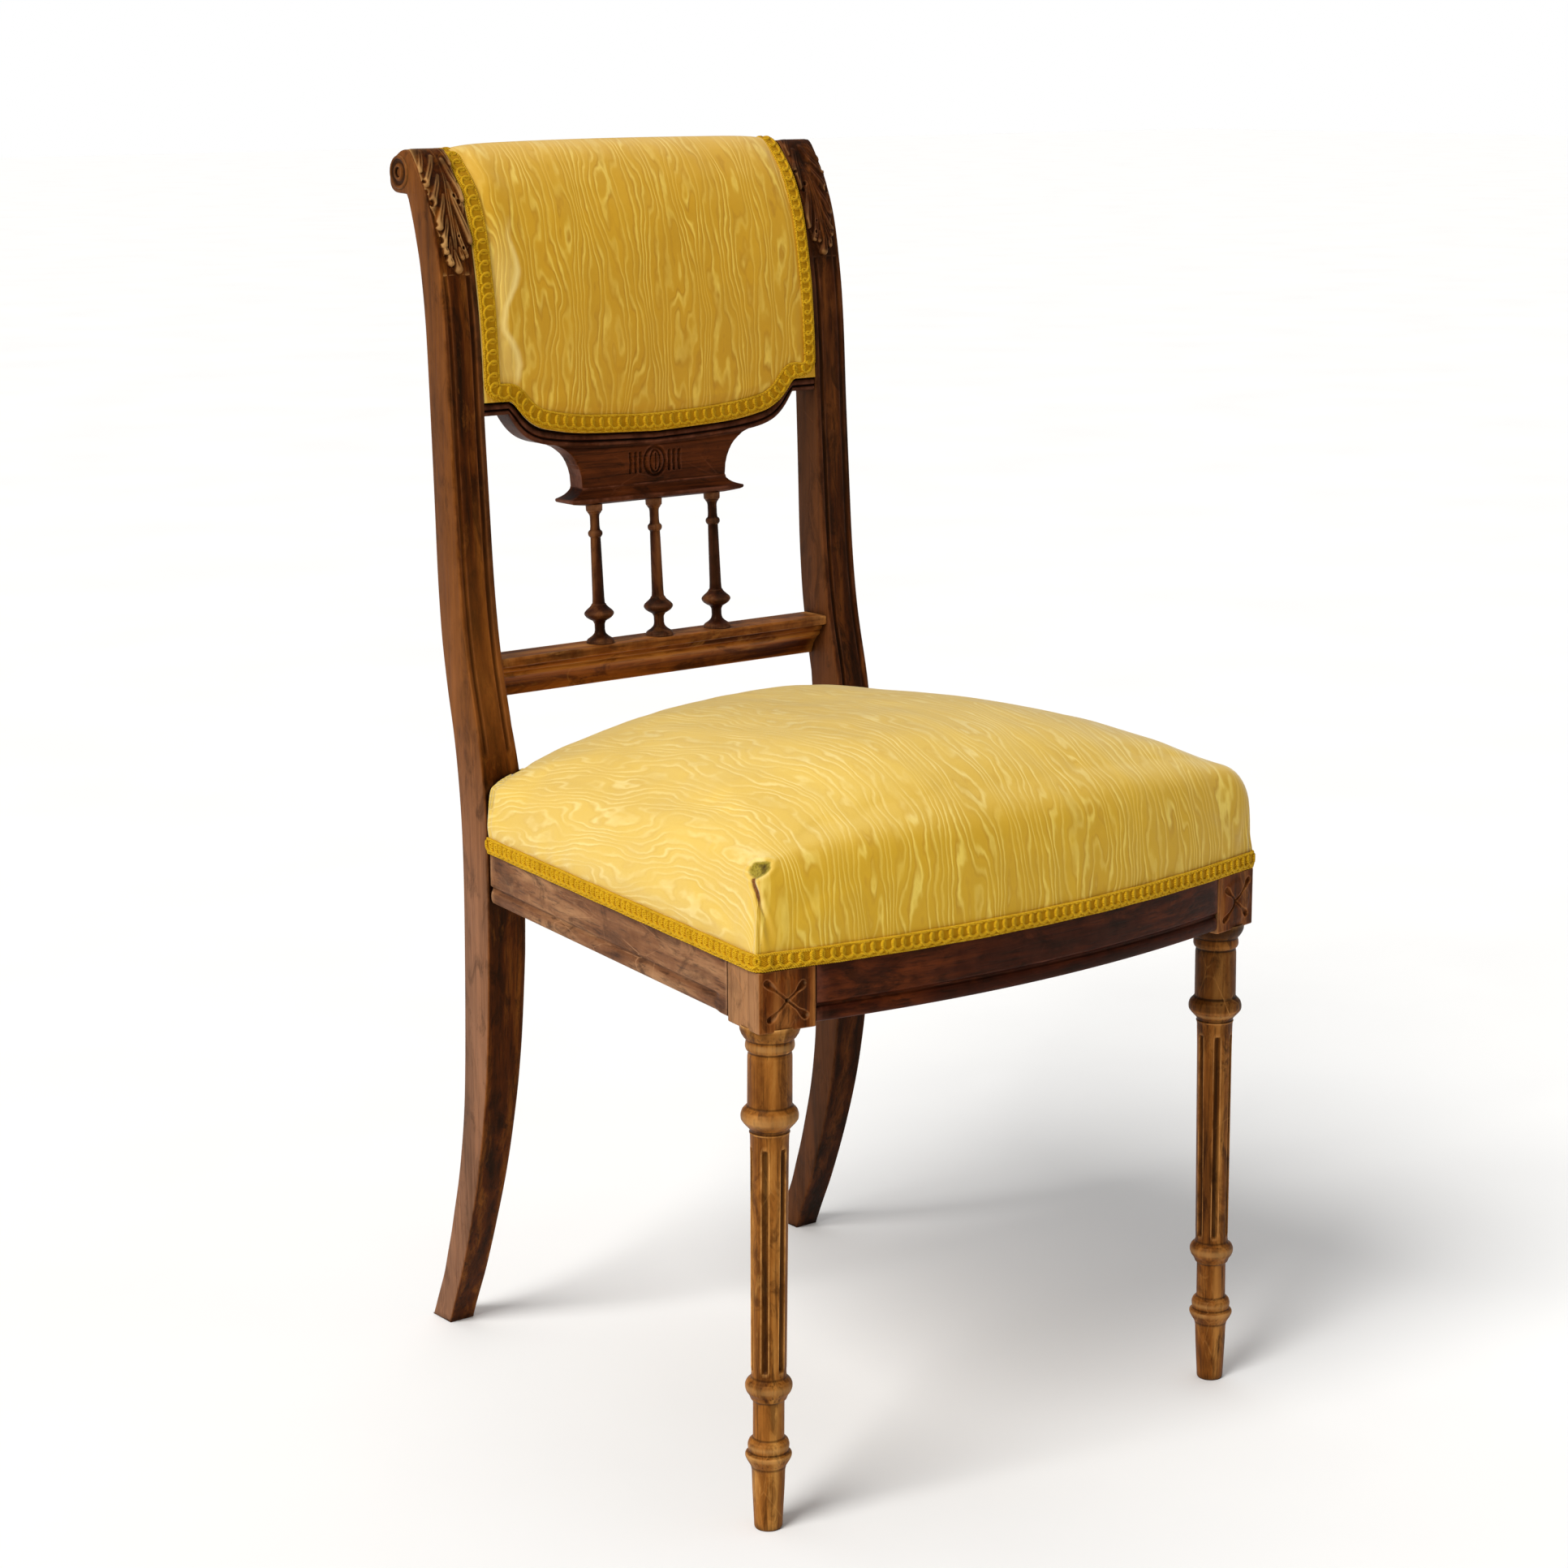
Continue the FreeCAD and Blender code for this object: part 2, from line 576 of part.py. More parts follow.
side_rail("left")
side_rail("right")

# ----------------------------------------------------------- back seat rail
b = body("back_seat_rail_body")
sk = sketch(b, "plan", "XY_Plane", (0, 0, D("rail_bottom")))
bound_rect(sk, -152.6, 384.0, 152.6, 405.0, {"left": "-dims.post_inner", "right": "dims.post_inner",
                                             "bottom": "dims.back_rail_front",
                                             "top": "dims.back_rail_front + dims.back_rail_thickness"})
pad(b, sk, "rail", "dims.rail_top - dims.rail_bottom")
# rebate along the back for the cover
sk = sketch(b, "rebate", "YZ_Plane", (0, 0, -160))
outline(sk, [(402.4, 397), (408, 397), (408, 414), (402.4, 414)])
pocket(b, sk, "cover_rebate", 320, reverse=True)
drilled(b, "back_seat_rail",
        bores(lambda p: 390 < p[1] < 400 and p[2] < 420) + screw_bores(lambda p: p[1] > 360))


# ------------------------------------------------------------ corner braces
def brace(label, quad, s, near):
    b = body(label + "_body")
    sk = sketch(b, "plan", "XY_Plane", (0, 0, D("brace_bottom")))
    quad = [(s * x, y) for (x, y) in quad]
    outline(sk, quad if s > 0 else quad[::-1])
    pad(b, sk, "bar", "dims.brace_thickness")
    drilled(b, label, screw_bores(near))


for side, s in (("left", -1), ("right", 1)):
    g = 0.4
    ri = FR - RT - g
    pts = [(112.0, arc_y(112.0, ri)), (126.5, arc_y(126.5, ri)), (141.0, arc_y(141.0, ri)),
           (side_x(62.0) - RTX - g, 62.0), (side_x(92.0) - RTX - g, 92.0)]
    brace("corner_brace_front_" + side, pts, s, lambda p, s=s: p[0] * s > 0 and p[1] < 100)
    pts = [(side_x(318.0) - RTX - g, 318.0), (side_x(346.0) - RTX - g, 346.0),
           (126.0, D("back_rail_front") - g), (100.0, D("back_rail_front") - g)]
    brace("corner_brace_back_" + side, pts, s, lambda p, s=s: p[0] * s > 0 and p[1] > 300)

feature("corner_brace_screws", Part.makeCompound([screw(*q) for q in SCREWS]))
feature("seat_rail_dowels", Part.makeCompound([dowel(*q) for q in SEAT_DOWELS]))

# ---------------------------------------------------------- lower back rail
b = body("lower_back_rail_body")
sk = sketch(b, "section", "YZ_Plane", (0, 0, -D("back_half_width")))
outline(sk, [(396.0, 530.6), (396.0, 535.8), (397.0, 537.0), (423.6, 537.0), (424.2, 536.4), (424.2, 505.2),
             (423.6, 504.5), (416.4, 504.5), (415.4, 505.4), (414.6, 509.0), (412.2, 514.0), (408.4, 518.4),
             (405.0, 521.0), (404.2, 522.6), (404.2, 524.6), (402.4, 525.4), (401.2, 528.0), (400.6, 529.6),
             (397.2, 529.8)])
pad(b, sk, "moulded_rail", "dims.lower_rail_length")
TILT = math.degrees(math.atan((414.9 - 409.1) / (643.5 - 535.5)))
SPINDLE_X = {"left": -55.8, "middle": 0.0, "right": 55.8}
tdir = Vector(0, math.sin(math.radians(TILT)), math.cos(math.radians(TILT)))
pins = []
for x in SPINDLE_X.values():
    foot = Vector(x, 409.1, 535.5) - tdir * 11.5
    pins.append(Part.makeCylinder(3.0 + CL, 30, foot, tdir))
drilled(b, "lower_back_rail", bores(lambda p: 500 < p[2] < 540) + pins)

# ---------------------------------------------------------------- spindles
# height above the foot and radius
SPINDLE = [
    (-1.0, 10.3), (3.2, 10.5), (4.4, 9.6), (6.5, 6.2), (8.5, 4.4), (11, 3.9), (16, 4.0), (18.2, 5.2), (19.4, 7.6),
    (21.0, 9.9), (22.6, 11.0), (24.2, 11.4), (25.6, 10.9), (27.2, 9.3), (28.8, 7.4), (30.5, 5.9), (33, 4.9),
    (36, 4.6), (77.5, 4.05), (83.0, 3.95), (83.6, 4.8), (84.6, 5.4), (86.4, 5.4), (87.4, 4.8), (88.2, 3.9),
    (91, 3.6), (100, 3.6), (101.6, 4.0), (103.0, 5.0), (104.2, 5.6), (109.5, 5.6),
]
for name, x in SPINDLE_X.items():
    b = body("spindle_" + name)
    rot = Rotation(Vector(0, 0, 1), -TILT)
    sk = sketch(b, "turning", "YZ_Plane", (409.1, 535.5, x), rot)
    outline(sk, [(0.0, SPINDLE[0][0])] + [(r, h) for (h, r) in SPINDLE] + [(0.0, SPINDLE[-1][0])])
    revolve(b, sk, "turned_spindle")
    # ends cut level with the rail below and the lip above
    sk = sketch(b, "foot_cut", "XY_Plane", (0, 0, 537.0))
    circle(sk, x, 410, 20)
    pocket(b, sk, "level_foot", 6)
    sk = sketch(b, "top_cut", "XY_Plane", (0, 0, 643.5))
    circle(sk, x, 414, 20)
    pocket(b, sk, "level_top", 6, reverse=True)
    # the pins that enter the rail and the plaque
    sk = sketch(b, "foot_pin", "YZ_Plane", (409.1, 535.5, x), rot)
    outline(sk, [(0.0, -10.5), (2.6, -10.5), (3.0, -9.8), (3.0, 4.0), (0.0, 4.0)])
    revolve(b, sk, "pin_below")
    sk = sketch(b, "top_pin", "YZ_Plane", (409.1, 535.5, x), rot)
    outline(sk, [(0.0, 104.5), (3.0, 104.5), (3.0, 125.0), (2.6, 125.8), (0.0, 125.8)])
    revolve(b, sk, "pin_above")
    finish(b)

# ------------------------------------------------ plaque and its flared lip
b = body("splat_block_body")
yp = D("plaque_front")
sk = sketch(b, "outline", "XZ_Plane", (0, 0, -(yp + D("plaque_thickness"))))
SPLAT = [(67.6, 656.0), (68.4, 665.5), (71.8, 675.0), (76.5, 681.0), (84.6, 685.2), (98.0, 687.2), (98.0, 689.4)]
# the shield rail's lower edge, which the plaque's top is cut to
WOOD = [(155.5, 717.5), (133.5, 717.5), (128.4, 709.8), (123.3, 703.8), (115.6, 697.9), (104.6, 693.6),
        (80.8, 690.2), (48.0, 688.2), (0.0, 686.8)]
wt = sorted([(x, z) for (x, z) in WOOD if x <= 105])


def wood_z(x):
    return interp(wt, abs(x), 1)


right_side = SPLAT[:-1] + [(98.0, wood_z(98.0) - 0.1), (80.8, wood_z(80.8) - 0.1), (48.0, wood_z(48) - 0.1)]
pts = right_side + [(0.0, wood_z(0) - 0.1)] + [(-x, z) for (x, z) in right_side[::-1]]
outline(sk, pts)
pad(b, sk, "plaque", "dims.plaque_thickness")
# flutes and roundel on the front
sk = sketch(b, "ornament", "XZ_Plane", (0, 0, -yp + 1.0))
for fx in (-20.4, -14.2, 14.2, 20.4):
    w, z0, z1 = 1.7, 664.5, 681.5
    g = sk.addGeometry(Part.LineSegment(Vector(fx + w, z0, 0), Vector(fx + w, z1, 0)), False)
    sk.addGeometry(Part.LineSegment(Vector(fx - w, z1, 0), Vector(fx - w, z0, 0)), False)
    sk.addGeometry(Part.ArcOfCircle(Part.Circle(Vector(fx, z1, 0), Vector(0, 0, 1), w), 0, math.pi), False)
    sk.addGeometry(Part.ArcOfCircle(Part.Circle(Vector(fx, z0, 0), Vector(0, 0, 1), w), math.pi, 2 * math.pi), False)
circle(sk, 0, 673, 9.6)
circle(sk, 0, 673, 8.2)
circle(sk, 0, 673, 2.6)
pocket(b, sk, "flutes_and_roundel", 2.4)
pins = []
for x in SPINDLE_X.values():
    foot = Vector(x, 409.1, 535.5) + tdir * 100.0
    pins.append(Part.makeCylinder(3.0 + CL, 27.0, foot, tdir))
drilled(b, "splat_block", pins)

b = body("splat_foot_moulding_body")
sk = sketch(b, "front_view", "XZ_Plane", (0, 0, -430.0))
half = [(66.0, 643.5), (79.6, 645.4), (81.6, 646.8), (81.6, 648.4), (76.0, 650.0), (70.5, 652.6), (67.2, 656.0)]
outline(sk, half + [(-x, z) for (x, z) in half[::-1]])
pad(b, sk, "lip", "dims.lip_depth")
# hollow along the front above the edge
sk = sketch(b, "front_hollow", "YZ_Plane", (0, 0, -90))
outline(sk, [(400.0, 648.4), (406.6, 648.4), (409.0, 650.2), (411.0, 652.8), (412.0, 656.0), (412.0, 658), (400.0, 658)])
pocket(b, sk, "hollow", 180, reverse=True)
drilled(b, "splat_foot_moulding", pins)

# ------------------------------------- shield shaped rail under the panel
BRAID = [(155.3, 727.0), (133.5, 727.0), (127.0, 722.5), (122.4, 716.5), (116.5, 710.6), (109.7, 706.4),
         (96.0, 702.6), (80.8, 700.0), (48.5, 697.6), (0.0, 695.7)]
b = body("back_bottom_rail_body")
sk = sketch(b, "outline", "XZ_Plane", (0, 0, -(D("shield_front") + D("shield_thickness"))))
right_side = WOOD[:-1][::-1]
pts = [(0.0, 686.8)] + right_side + [(155.5, 760.0), (-155.5, 760.0)] + [(-x, z) for (x, z) in right_side[::-1]]
outline(sk, pts)
pad(b, sk, "rail", "dims.shield_thickness")
sk = sketch(b, "visible_edge", "XZ_Plane", (0, 0, -D("shield_front")))
up = [(x if x > 1 else x, z - 1.2) for (x, z) in BRAID]
up[0] = (155.5, 725.8)
pts = [(0.0, 686.8)] + right_side + up[:-1] + [(0.0, up[-1][1])] + [(-x, z) for (x, z) in up[:-1][::-1]] + \
      [(-x, z) for (x, z) in right_side[::-1]]
outline(sk, pts)
pad(b, sk, "edge", "dims.shield_step")
drilled(b, "back_bottom_rail", bores(lambda p: 720 < p[2] < 760))

# ---------------------------------------------------------- crest roll
b = body("back_top_rail_body")
sk = sketch(b, "section", "YZ_Plane", (0, 0, -D("back_half_width")))
g = circle(sk, D("roll_y"), D("roll_z"), D("roll_radius"))
c = sk.addConstraint(Sketcher.Constraint("Radius", g, D("roll_radius")))
sk.renameConstraint(c, "radius")
sk.setExpression("Constraints.radius", "dims.roll_radius")
pad(b, sk, "roll", "2 * dims.back_half_width")
drilled(b, "back_top_rail", bores(lambda p: p[2] > 850))

feature("back_rail_dowels", Part.makeCompound([dowel(*q) for q in BACK_DOWELS]))

# -------------------------------------------------------- seat upholstery
W, WT = D("web_width"), D("web_thickness")


def slab(label, x0, x1, y0, y1, z, t, bind_t):
    o = doc.addObject("Part::Box", label)
    o.Label = label
    o.Length, o.Width, o.Height = x1 - x0, y1 - y0, t
    o.setExpression("Height", bind_t)
    o.Placement = Placement(Vector(x0, y0, z), Rotation())
    o.setExpression("Placement.Base.y", "%s - dims.depth_origin" % y0)
    NODES.append(o)
    return o


for i, x in enumerate((-88.0, 0.0, 88.0), 1):
    yf = arc_y(abs(x) + W / 2, FR - D("rail_rebate")) + 3.5
    slab("seat_web_long_%d" % i, x - W / 2, x + W / 2, yf, 399.0, D("rail_top"), WT, "dims.web_thickness")
for i, y in enumerate((62.0, 172.0, 282.0), 1):
    xe = side_x(y + W / 2) - D("rail_rebate") - 3.5
    slab("seat_web_cross_%d" % i, -xe, xe, y - W / 2, y + W / 2, D("rail_top") + WT, WT, "dims.web_thickness")

# hessian over the webs
hz = D("rail_top") + 2 * WT + 0.1
xs1, xs2 = side_x(-8.0) - 12.0, side_x(368.0) - 12.0
pts = [(-xs1, -8.0), (-120, arc_y(120, FR - 8)), (0, arc_y(0, FR - 8)), (120, arc_y(120, FR - 8)), (xs1, -8.0),
       (xs2, 368.0), (148.0, 368.0), (148.0, 400.0), (-148.0, 400.0), (-148.0, 368.0), (-xs2, 368.0)]
wire = Part.makePolygon([Vector(x, y, hz) for (x, y) in pts] + [Vector(pts[0][0], pts[0][1], hz)])
feature("seat_hessian", Part.Face(wire).extrude(Vector(0, 0, 1.0)))

SEAT_T = [0.0, 0.2, 0.4, 0.58, 0.72, 0.82, 0.89, 0.93, 0.955, 0.972, 0.984, 0.992, 0.997, 0.9992, 1.0]
GRID = [-t for t in SEAT_T[:0:-1]] + SEAT_T


def front_line(x):
    """Front face of the fabric in plan."""
    return -41.6 + 5.4e-4 * x * x


def seat_solid(inset, notch, base=397.0, low=397.0):
    """The stuffed seat: upright sides, a soft edge and a crown.
    inset shrinks it all round, notch is the clearance round the posts."""
    n, m, pc, pa, b0 = 41.5, 2.9, 3.99, 2.64, 0.116
    hs, hc, kd = D("seat_corner") - inset, D("seat_crown"), D("seat_edge_drop")
    back = 406.6 - inset

    def edge(t):
        return max(0.0, 1 - abs(t) ** n) ** (1 / m)

    rows = []
    for a in GRID:
        row = []
        for bb in GRID:
            x = a * 226.0
            for _ in range(6):
                yf = front_line(x) + inset
                y = yf + (bb + 1) / 2 * (back - yf)
                x = a * (side_x(y) + 0.6 - inset)
            q = (b0 - bb) / (1 + b0) if bb < b0 else (bb - b0) / (1 - b0)
            z = base + hs * (1 - kd * (bb + 1) / 2) * edge(a) * edge(bb) + \
                hc * (1 - abs(a) ** pa) * (1 - q ** pc)
            rim = abs(a) == 1.0 or abs(bb) == 1.0
            row.append(Vector(x, y, low if rim else z))
        rows.append(row)
    top = Part.BSplineSurface()
    k = len(rows)
    knots = [float(i) for i in range(k - 2)]
    mults = [4] + [1] * (k - 4) + [4]
    top.buildFromPolesMultsKnots(rows, mults, mults, knots, knots, False, False, 3, 3)
    face = top.toShape()
    edges = face.Edges
    bottom = Part.Face(Part.Wire(Part.__sortEdges__(edges)))
    shell = Part.makeShell([face, bottom])
    shell.sewShape()
    solid = Part.makeSolid(shell)
    if solid.Volume < 0:
        solid.reverse()
    xn, yn = D("post_inner") - notch, 372.7 - notch
    for s in (-1, 1):
        x0 = xn if s > 0 else -260
        box = Part.makeBox(260 - xn, 60, 200, Vector(x0, yn, 380))
        solid = solid.cut(box)
    return solid


ct = D("cover_thickness")
skin_out = seat_solid(0.0, 0.5)
skin_in = seat_solid(ct, 0.5 + ct)
cover = skin_out.cut(skin_in)
# the skin hangs outside the rails only; inside them it stops above their tops
pts = [(x, front_line(x) + ct + 1.0) for x in range(-220, 221, 20)]
pts += [(side_x(y) - 1.5, y) for y in (-10.0, 373.5)] + [(152.3, 373.5), (152.3, 404.0), (-152.3, 404.0),
                                                         (-152.3, 373.5)]
pts += [(-side_x(y) + 1.5, y) for y in (373.5, -10.0)]
wire = Part.makePolygon([Vector(x, y, 390.0) for (x, y) in pts] + [Vector(pts[0][0], pts[0][1], 390.0)])
feature("seat_cover", cover.cut(Part.Face(wire).extrude(Vector(0, 0, D("rail_top") + 0.4 - 390.0))))

stuff = seat_solid(ct + 0.4, 0.9 + ct)
below = Part.makeBox(600, 600, 60, Vector(-300, -100, hz + 1.3 - 60))
feature("seat_stuffing", stuff.cut(below))

# braid round the seat, from post to post by the front
gt, gh = D("gimp_thickness"), D("gimp_height")


def gimp_path(d):
    """Outer line of the fabric moved out by d, from the left post to the right."""
    right = []
    yc = front_line(224.0) - d
    xs = [0, 20, 40, 60, 80, 100, 120, 140, 160, 180, 200, 214, 221]
    run = [(x, front_line(x) - d) for x in xs]
    c = 4.0 + d
    corner = (side_x(-12.0) + 0.6 + d, -12.0)
    side = [(side_x(y) + 0.6 + d, y) for y in (-6.0, 60, 140, 220, 300, 371.6)]
    run += [(corner[0] - 1.2, -13.2 - 0.2 * d)]
    run += side
    return [(-x, y) for (x, y) in run[::-1]][:-1] + run


b = body("seat_gimp")
sk = sketch(b, "strip", "XY_Plane", (0, 0, 397.3))
inner = gimp_path(0.1)
outer = gimp_path(0.1 + gt)
outline(sk, inner + outer[::-1])
pad(b, sk, "braid", "dims.gimp_height")
finish(b)

b = body("seat_gimp_back")
sk = sketch(b, "strip", "XY_Plane", (0, 0, 397.3))
bound_rect(sk, -152.0, 406.8, 152.0, 408.4, {"top": "406.8 + dims.gimp_thickness"})
pad(b, sk, "braid", "dims.gimp_height")
finish(b)

# ------------------------------------------------------- back upholstery
PANEL = [(407.1, 685.0), (408.0, 702.0), (409.1, 722.5), (410.2, 743.0), (411.2, 765.0), (412.9, 786.3),
         (415.1, 805.8), (417.3, 820.3), (419.3, 832.2), (421.5, 843.2), (424.6, 855.1), (428.2, 865.7),
         (432.5, 876.4), (436.5, 884.9), (441.3, 892.8), (446.8, 900.4), (452.8, 907.8), (459.4, 913.4),
         (467.0, 916.0), (475.0, 914.2), (481.2, 908.4), (484.4, 900.4), (484.3, 892.0), (481.2, 884.8),
         (475.4, 879.6), (468.6, 877.6)]
HALF = D("back_half_width") - 0.2


def strip(points, t, x0, x1):
    """A skin of thickness t behind a run of points, from x0 to x1."""
    inner = offset(points, -t)
    a = Part.BSplineCurve()
    a.interpolate([Vector(x0, y, z) for (y, z) in points])
    c = Part.BSplineCurve()
    c.interpolate([Vector(x0, y, z) for (y, z) in inner])
    p = [Vector(x0, *points[0]), Vector(x0, *points[-1]), Vector(x0, *inner[0]), Vector(x0, *inner[-1])]
    wire = Part.Wire([a.toShape(), Part.makeLine(p[1], p[3]), c.toShape().reversed(), Part.makeLine(p[2], p[0])])
    return Part.Face(wire).extrude(Vector(x1 - x0, 0, 0))


def flat(points, y0, y1):
    """Prism of a front view outline between two depths."""
    w = Part.makePolygon([Vector(x, y0, z) for (x, z) in points] + [Vector(points[0][0], y0, points[0][1])])
    return Part.Face(w).extrude(Vector(0, y1 - y0, 0))


def below_line(half_line, drop=0.0):
    right = [(x, z + drop) for (x, z) in half_line]
    right[0] = (175.0, right[0][1])
    pts = right + [(-x, z) for (x, z) in right[:-1][::-1]] + [(-175.0, 660.0), (175.0, 660.0)]
    return flat(pts, 380, 460)


skin = strip(PANEL, ct, -HALF, HALF)
feature("back_cover", skin.cut(below_line(BRAID)))

rail_gap = offset(PANEL, -(ct + 0.3))
rc = (D("roll_y"), D("roll_z"))
rr = D("roll_radius") + 0.4
arc = []
for deg in range(-75, 181, 15):
    # round the nose, over the top and down to the front of the roll
    arc.append((rc[0] + rr * math.cos(math.radians(deg)), rc[1] + rr * math.sin(math.radians(deg))))
body_front = [p for p in rail_gap if p[1] > 690][:-1]
pts = body_front + arc[1:-1] + [(449.3, 889.6), (448.6, 887.4), (413.2, 761.0), (413.2, 690.5)]
wire = Part.makePolygon([Vector(-HALF + 0.3, y, z) for (y, z) in pts] + [Vector(-HALF + 0.3, *pts[0])])
pad_solid = Part.Face(wire).extrude(Vector(2 * HALF - 0.6, 0, 0))
feature("back_stuffing", pad_solid.cut(below_line(BRAID, 0.8)))

for name, x in (("left", -62.0), ("right", 62.0)):
    pts = [(413.6, 735.0), (414.9, 735.0), (414.9, 760.2), (451.8, 890.2), (450.6, 890.5), (413.6, 760.5)]
    wire = Part.makePolygon([Vector(x - W / 2, y, z) for (y, z) in pts] + [Vector(x - W / 2, *pts[0])])
    feature("back_web_" + name, Part.Face(wire).extrude(Vector(W, 0, 0)))

REAR = [(432.2, 693.0), (432.4, 725.0), (433.0, 748.0), (434.2, 765.0), (436.2, 786.3), (438.9, 805.8),
        (442.4, 822.0), (446.4, 838.0), (450.2, 851.0), (453.4, 861.0), (456.2, 869.0), (458.6, 876.0)]
REAR = [(y - 0.6, z) for (y, z) in REAR]
feature("outside_back_cover", strip(REAR, -1.0, -HALF, HALF).cut(below_line(BRAID, 1.0)))

bg = D("back_gimp_width")
GRUN = [p for p in PANEL if p[1] > 600][:17]
front_run = offset(GRUN, 0.1)
band = strip(offset(GRUN, 0.1 + gt), gt, -HALF, HALF)
band = band.cut(below_line(BRAID))
inner_half = [(HALF - bg, 960.0), (HALF - bg, 741.0), (126.0, 738.0), (116.6, 728.6), (107.4, 720.6),
              (94.0, 716.4), (79.0, 714.0), (48.0, 711.6), (0.0, 709.7)]
hole = inner_half + [(-x, z) for (x, z) in inner_half[:-1][::-1]]
feature("back_gimp", band.cut(flat(hole, 380, 500)))

# ------------------------------------------------------------------- output
doc.recompute()
bad = []
for o in doc.Objects:
    if "Invalid" in o.State or "Error" in o.State:
        bad.append("%s: %s" % (o.Label, o.State))
for o in CUTS:
    base = o.BaseFeature
    if base is not None and not (o.Shape.Volume < base.Shape.Volume - 0.5):
        bad.append("%s on %s cuts nothing" % (o.Label, base.Label))
for o in NODES:
    if o.Shape.isNull() or not o.Shape.isValid() or o.Shape.Volume <= 0:
        bad.append("%s has no sound shape" % o.Label)
if bad:
    raise RuntimeError("\n".join(bad))
box = FreeCAD.BoundBox()
for o in NODES:
    box.add(o.Shape.BoundBox)
    o.Shape.exportStep("parts/%s.step" % o.Label)
print("pieces:", len(NODES), "solids:", sum(len(o.Shape.Solids) for o in NODES))
print("box: %.2f %.2f  %.2f %.2f  %.2f %.2f" % (box.XMin, box.XMax, box.YMin, box.YMax, box.ZMin, box.ZMax))
for o in NODES:
    print("%-28s %8.1f cm3  %d" % (o.Label, o.Shape.Volume / 1000.0, len(o.Shape.Solids)))
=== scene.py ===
import math
import bpy
import bmesh
import numpy as np
from mathutils import Vector, Matrix
from mathutils.bvhtree import BVHTree


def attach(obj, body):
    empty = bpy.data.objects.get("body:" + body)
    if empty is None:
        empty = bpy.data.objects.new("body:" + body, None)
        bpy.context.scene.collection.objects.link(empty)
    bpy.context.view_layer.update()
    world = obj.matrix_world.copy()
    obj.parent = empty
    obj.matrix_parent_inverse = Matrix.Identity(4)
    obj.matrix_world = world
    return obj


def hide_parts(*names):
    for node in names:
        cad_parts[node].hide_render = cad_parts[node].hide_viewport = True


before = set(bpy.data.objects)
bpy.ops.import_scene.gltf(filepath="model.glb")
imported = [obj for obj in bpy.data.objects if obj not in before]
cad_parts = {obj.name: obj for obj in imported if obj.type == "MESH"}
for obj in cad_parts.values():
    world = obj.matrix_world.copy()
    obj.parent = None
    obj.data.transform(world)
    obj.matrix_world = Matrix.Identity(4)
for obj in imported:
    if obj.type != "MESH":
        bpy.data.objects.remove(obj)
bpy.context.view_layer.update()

# Upholstered side chair. Lengths in this script are millimetres measured from the
# front legs' axis, as in the construction; placed() turns them into metres in the
# chair's own frame.


DEPTH_ORIGIN = 220.63
scene = bpy.context.scene


# ------------------------------------------------------------------ helpers
def placed(v):
    v = np.asarray(v, float)
    return np.column_stack([v[:, 0], v[:, 1] - DEPTH_ORIGIN, v[:, 2]]) / 1000.0


def piece(name, verts, faces, material, replaces=(), sharp=38.0, uv=None, recalc=True):
    """A mesh piece that rides on the chair; verts in mm, uv per vertex."""
    me = bpy.data.meshes.new(name)
    me.from_pydata(placed(verts).tolist(), [], [list(map(int, f)) for f in faces])
    me.update()
    if recalc:
        bm = bmesh.new()
        bm.from_mesh(me)
        bmesh.ops.recalc_face_normals(bm, faces=bm.faces)
        bm.to_mesh(me)
        bm.free()
    if uv is not None:
        layer = me.uv_layers.new(name="cloth")
        idx = np.zeros(len(me.loops), np.int32)
        me.loops.foreach_get("vertex_index", idx)
        layer.data.foreach_set("uv", np.asarray(uv, np.float32)[idx].ravel())
    me.polygons.foreach_set("use_smooth", np.ones(len(me.polygons), bool))
    me.update()
    if sharp:
        me.set_sharp_from_angle(angle=math.radians(sharp))
    ob = bpy.data.objects.new(name, me)
    scene.collection.objects.link(ob)
    me.materials.append(material)
    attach(ob, "root")
    if replaces:
        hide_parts(*replaces)
    return ob


def grid(nu, nv, wrap_u=False, wrap_v=False, base=0):
    """Quads of a nu x nv grid of vertices, v running fastest."""
    fs = []
    for i in range(nu if wrap_u else nu - 1):
        i2 = (i + 1) % nu
        for j in range(nv if wrap_v else nv - 1):
            j2 = (j + 1) % nv
            fs.append((base + i * nv + j, base + i2 * nv + j, base + i2 * nv + j2, base + i * nv + j2))
    return fs


def cubic(points, step=None, n=None):
    """Points along a natural cubic spline through a run of points."""
    p = np.asarray(points, float)
    t = np.r_[0, np.cumsum(np.linalg.norm(np.diff(p, axis=0), axis=1))]
    m = len(p)
    h = np.diff(t)
    a = np.zeros((m, m))
    r = np.zeros((m, p.shape[1]))
    a[0, 0] = a[-1, -1] = 1
    for i in range(1, m - 1):
        a[i, i - 1], a[i, i], a[i, i + 1] = h[i - 1], 2 * (h[i - 1] + h[i]), h[i]
        r[i] = 6 * ((p[i + 1] - p[i]) / h[i] - (p[i] - p[i - 1]) / h[i - 1])
    s = np.linalg.solve(a, r)
    if n is None:
        n = max(2, int(math.ceil(t[-1] / step)) + 1)
    q = np.linspace(0, t[-1], n)
    k = np.clip(np.searchsorted(t, q, side="right") - 1, 0, m - 2)
    hk = h[k][:, None]
    u = (q - t[k])[:, None]
    w = hk - u
    return (s[k] * w ** 3 + s[k + 1] * u ** 3) / (6 * hk) + (p[k] / hk - s[k] * hk / 6) * w + \
        (p[k + 1] / hk - s[k + 1] * hk / 6) * u


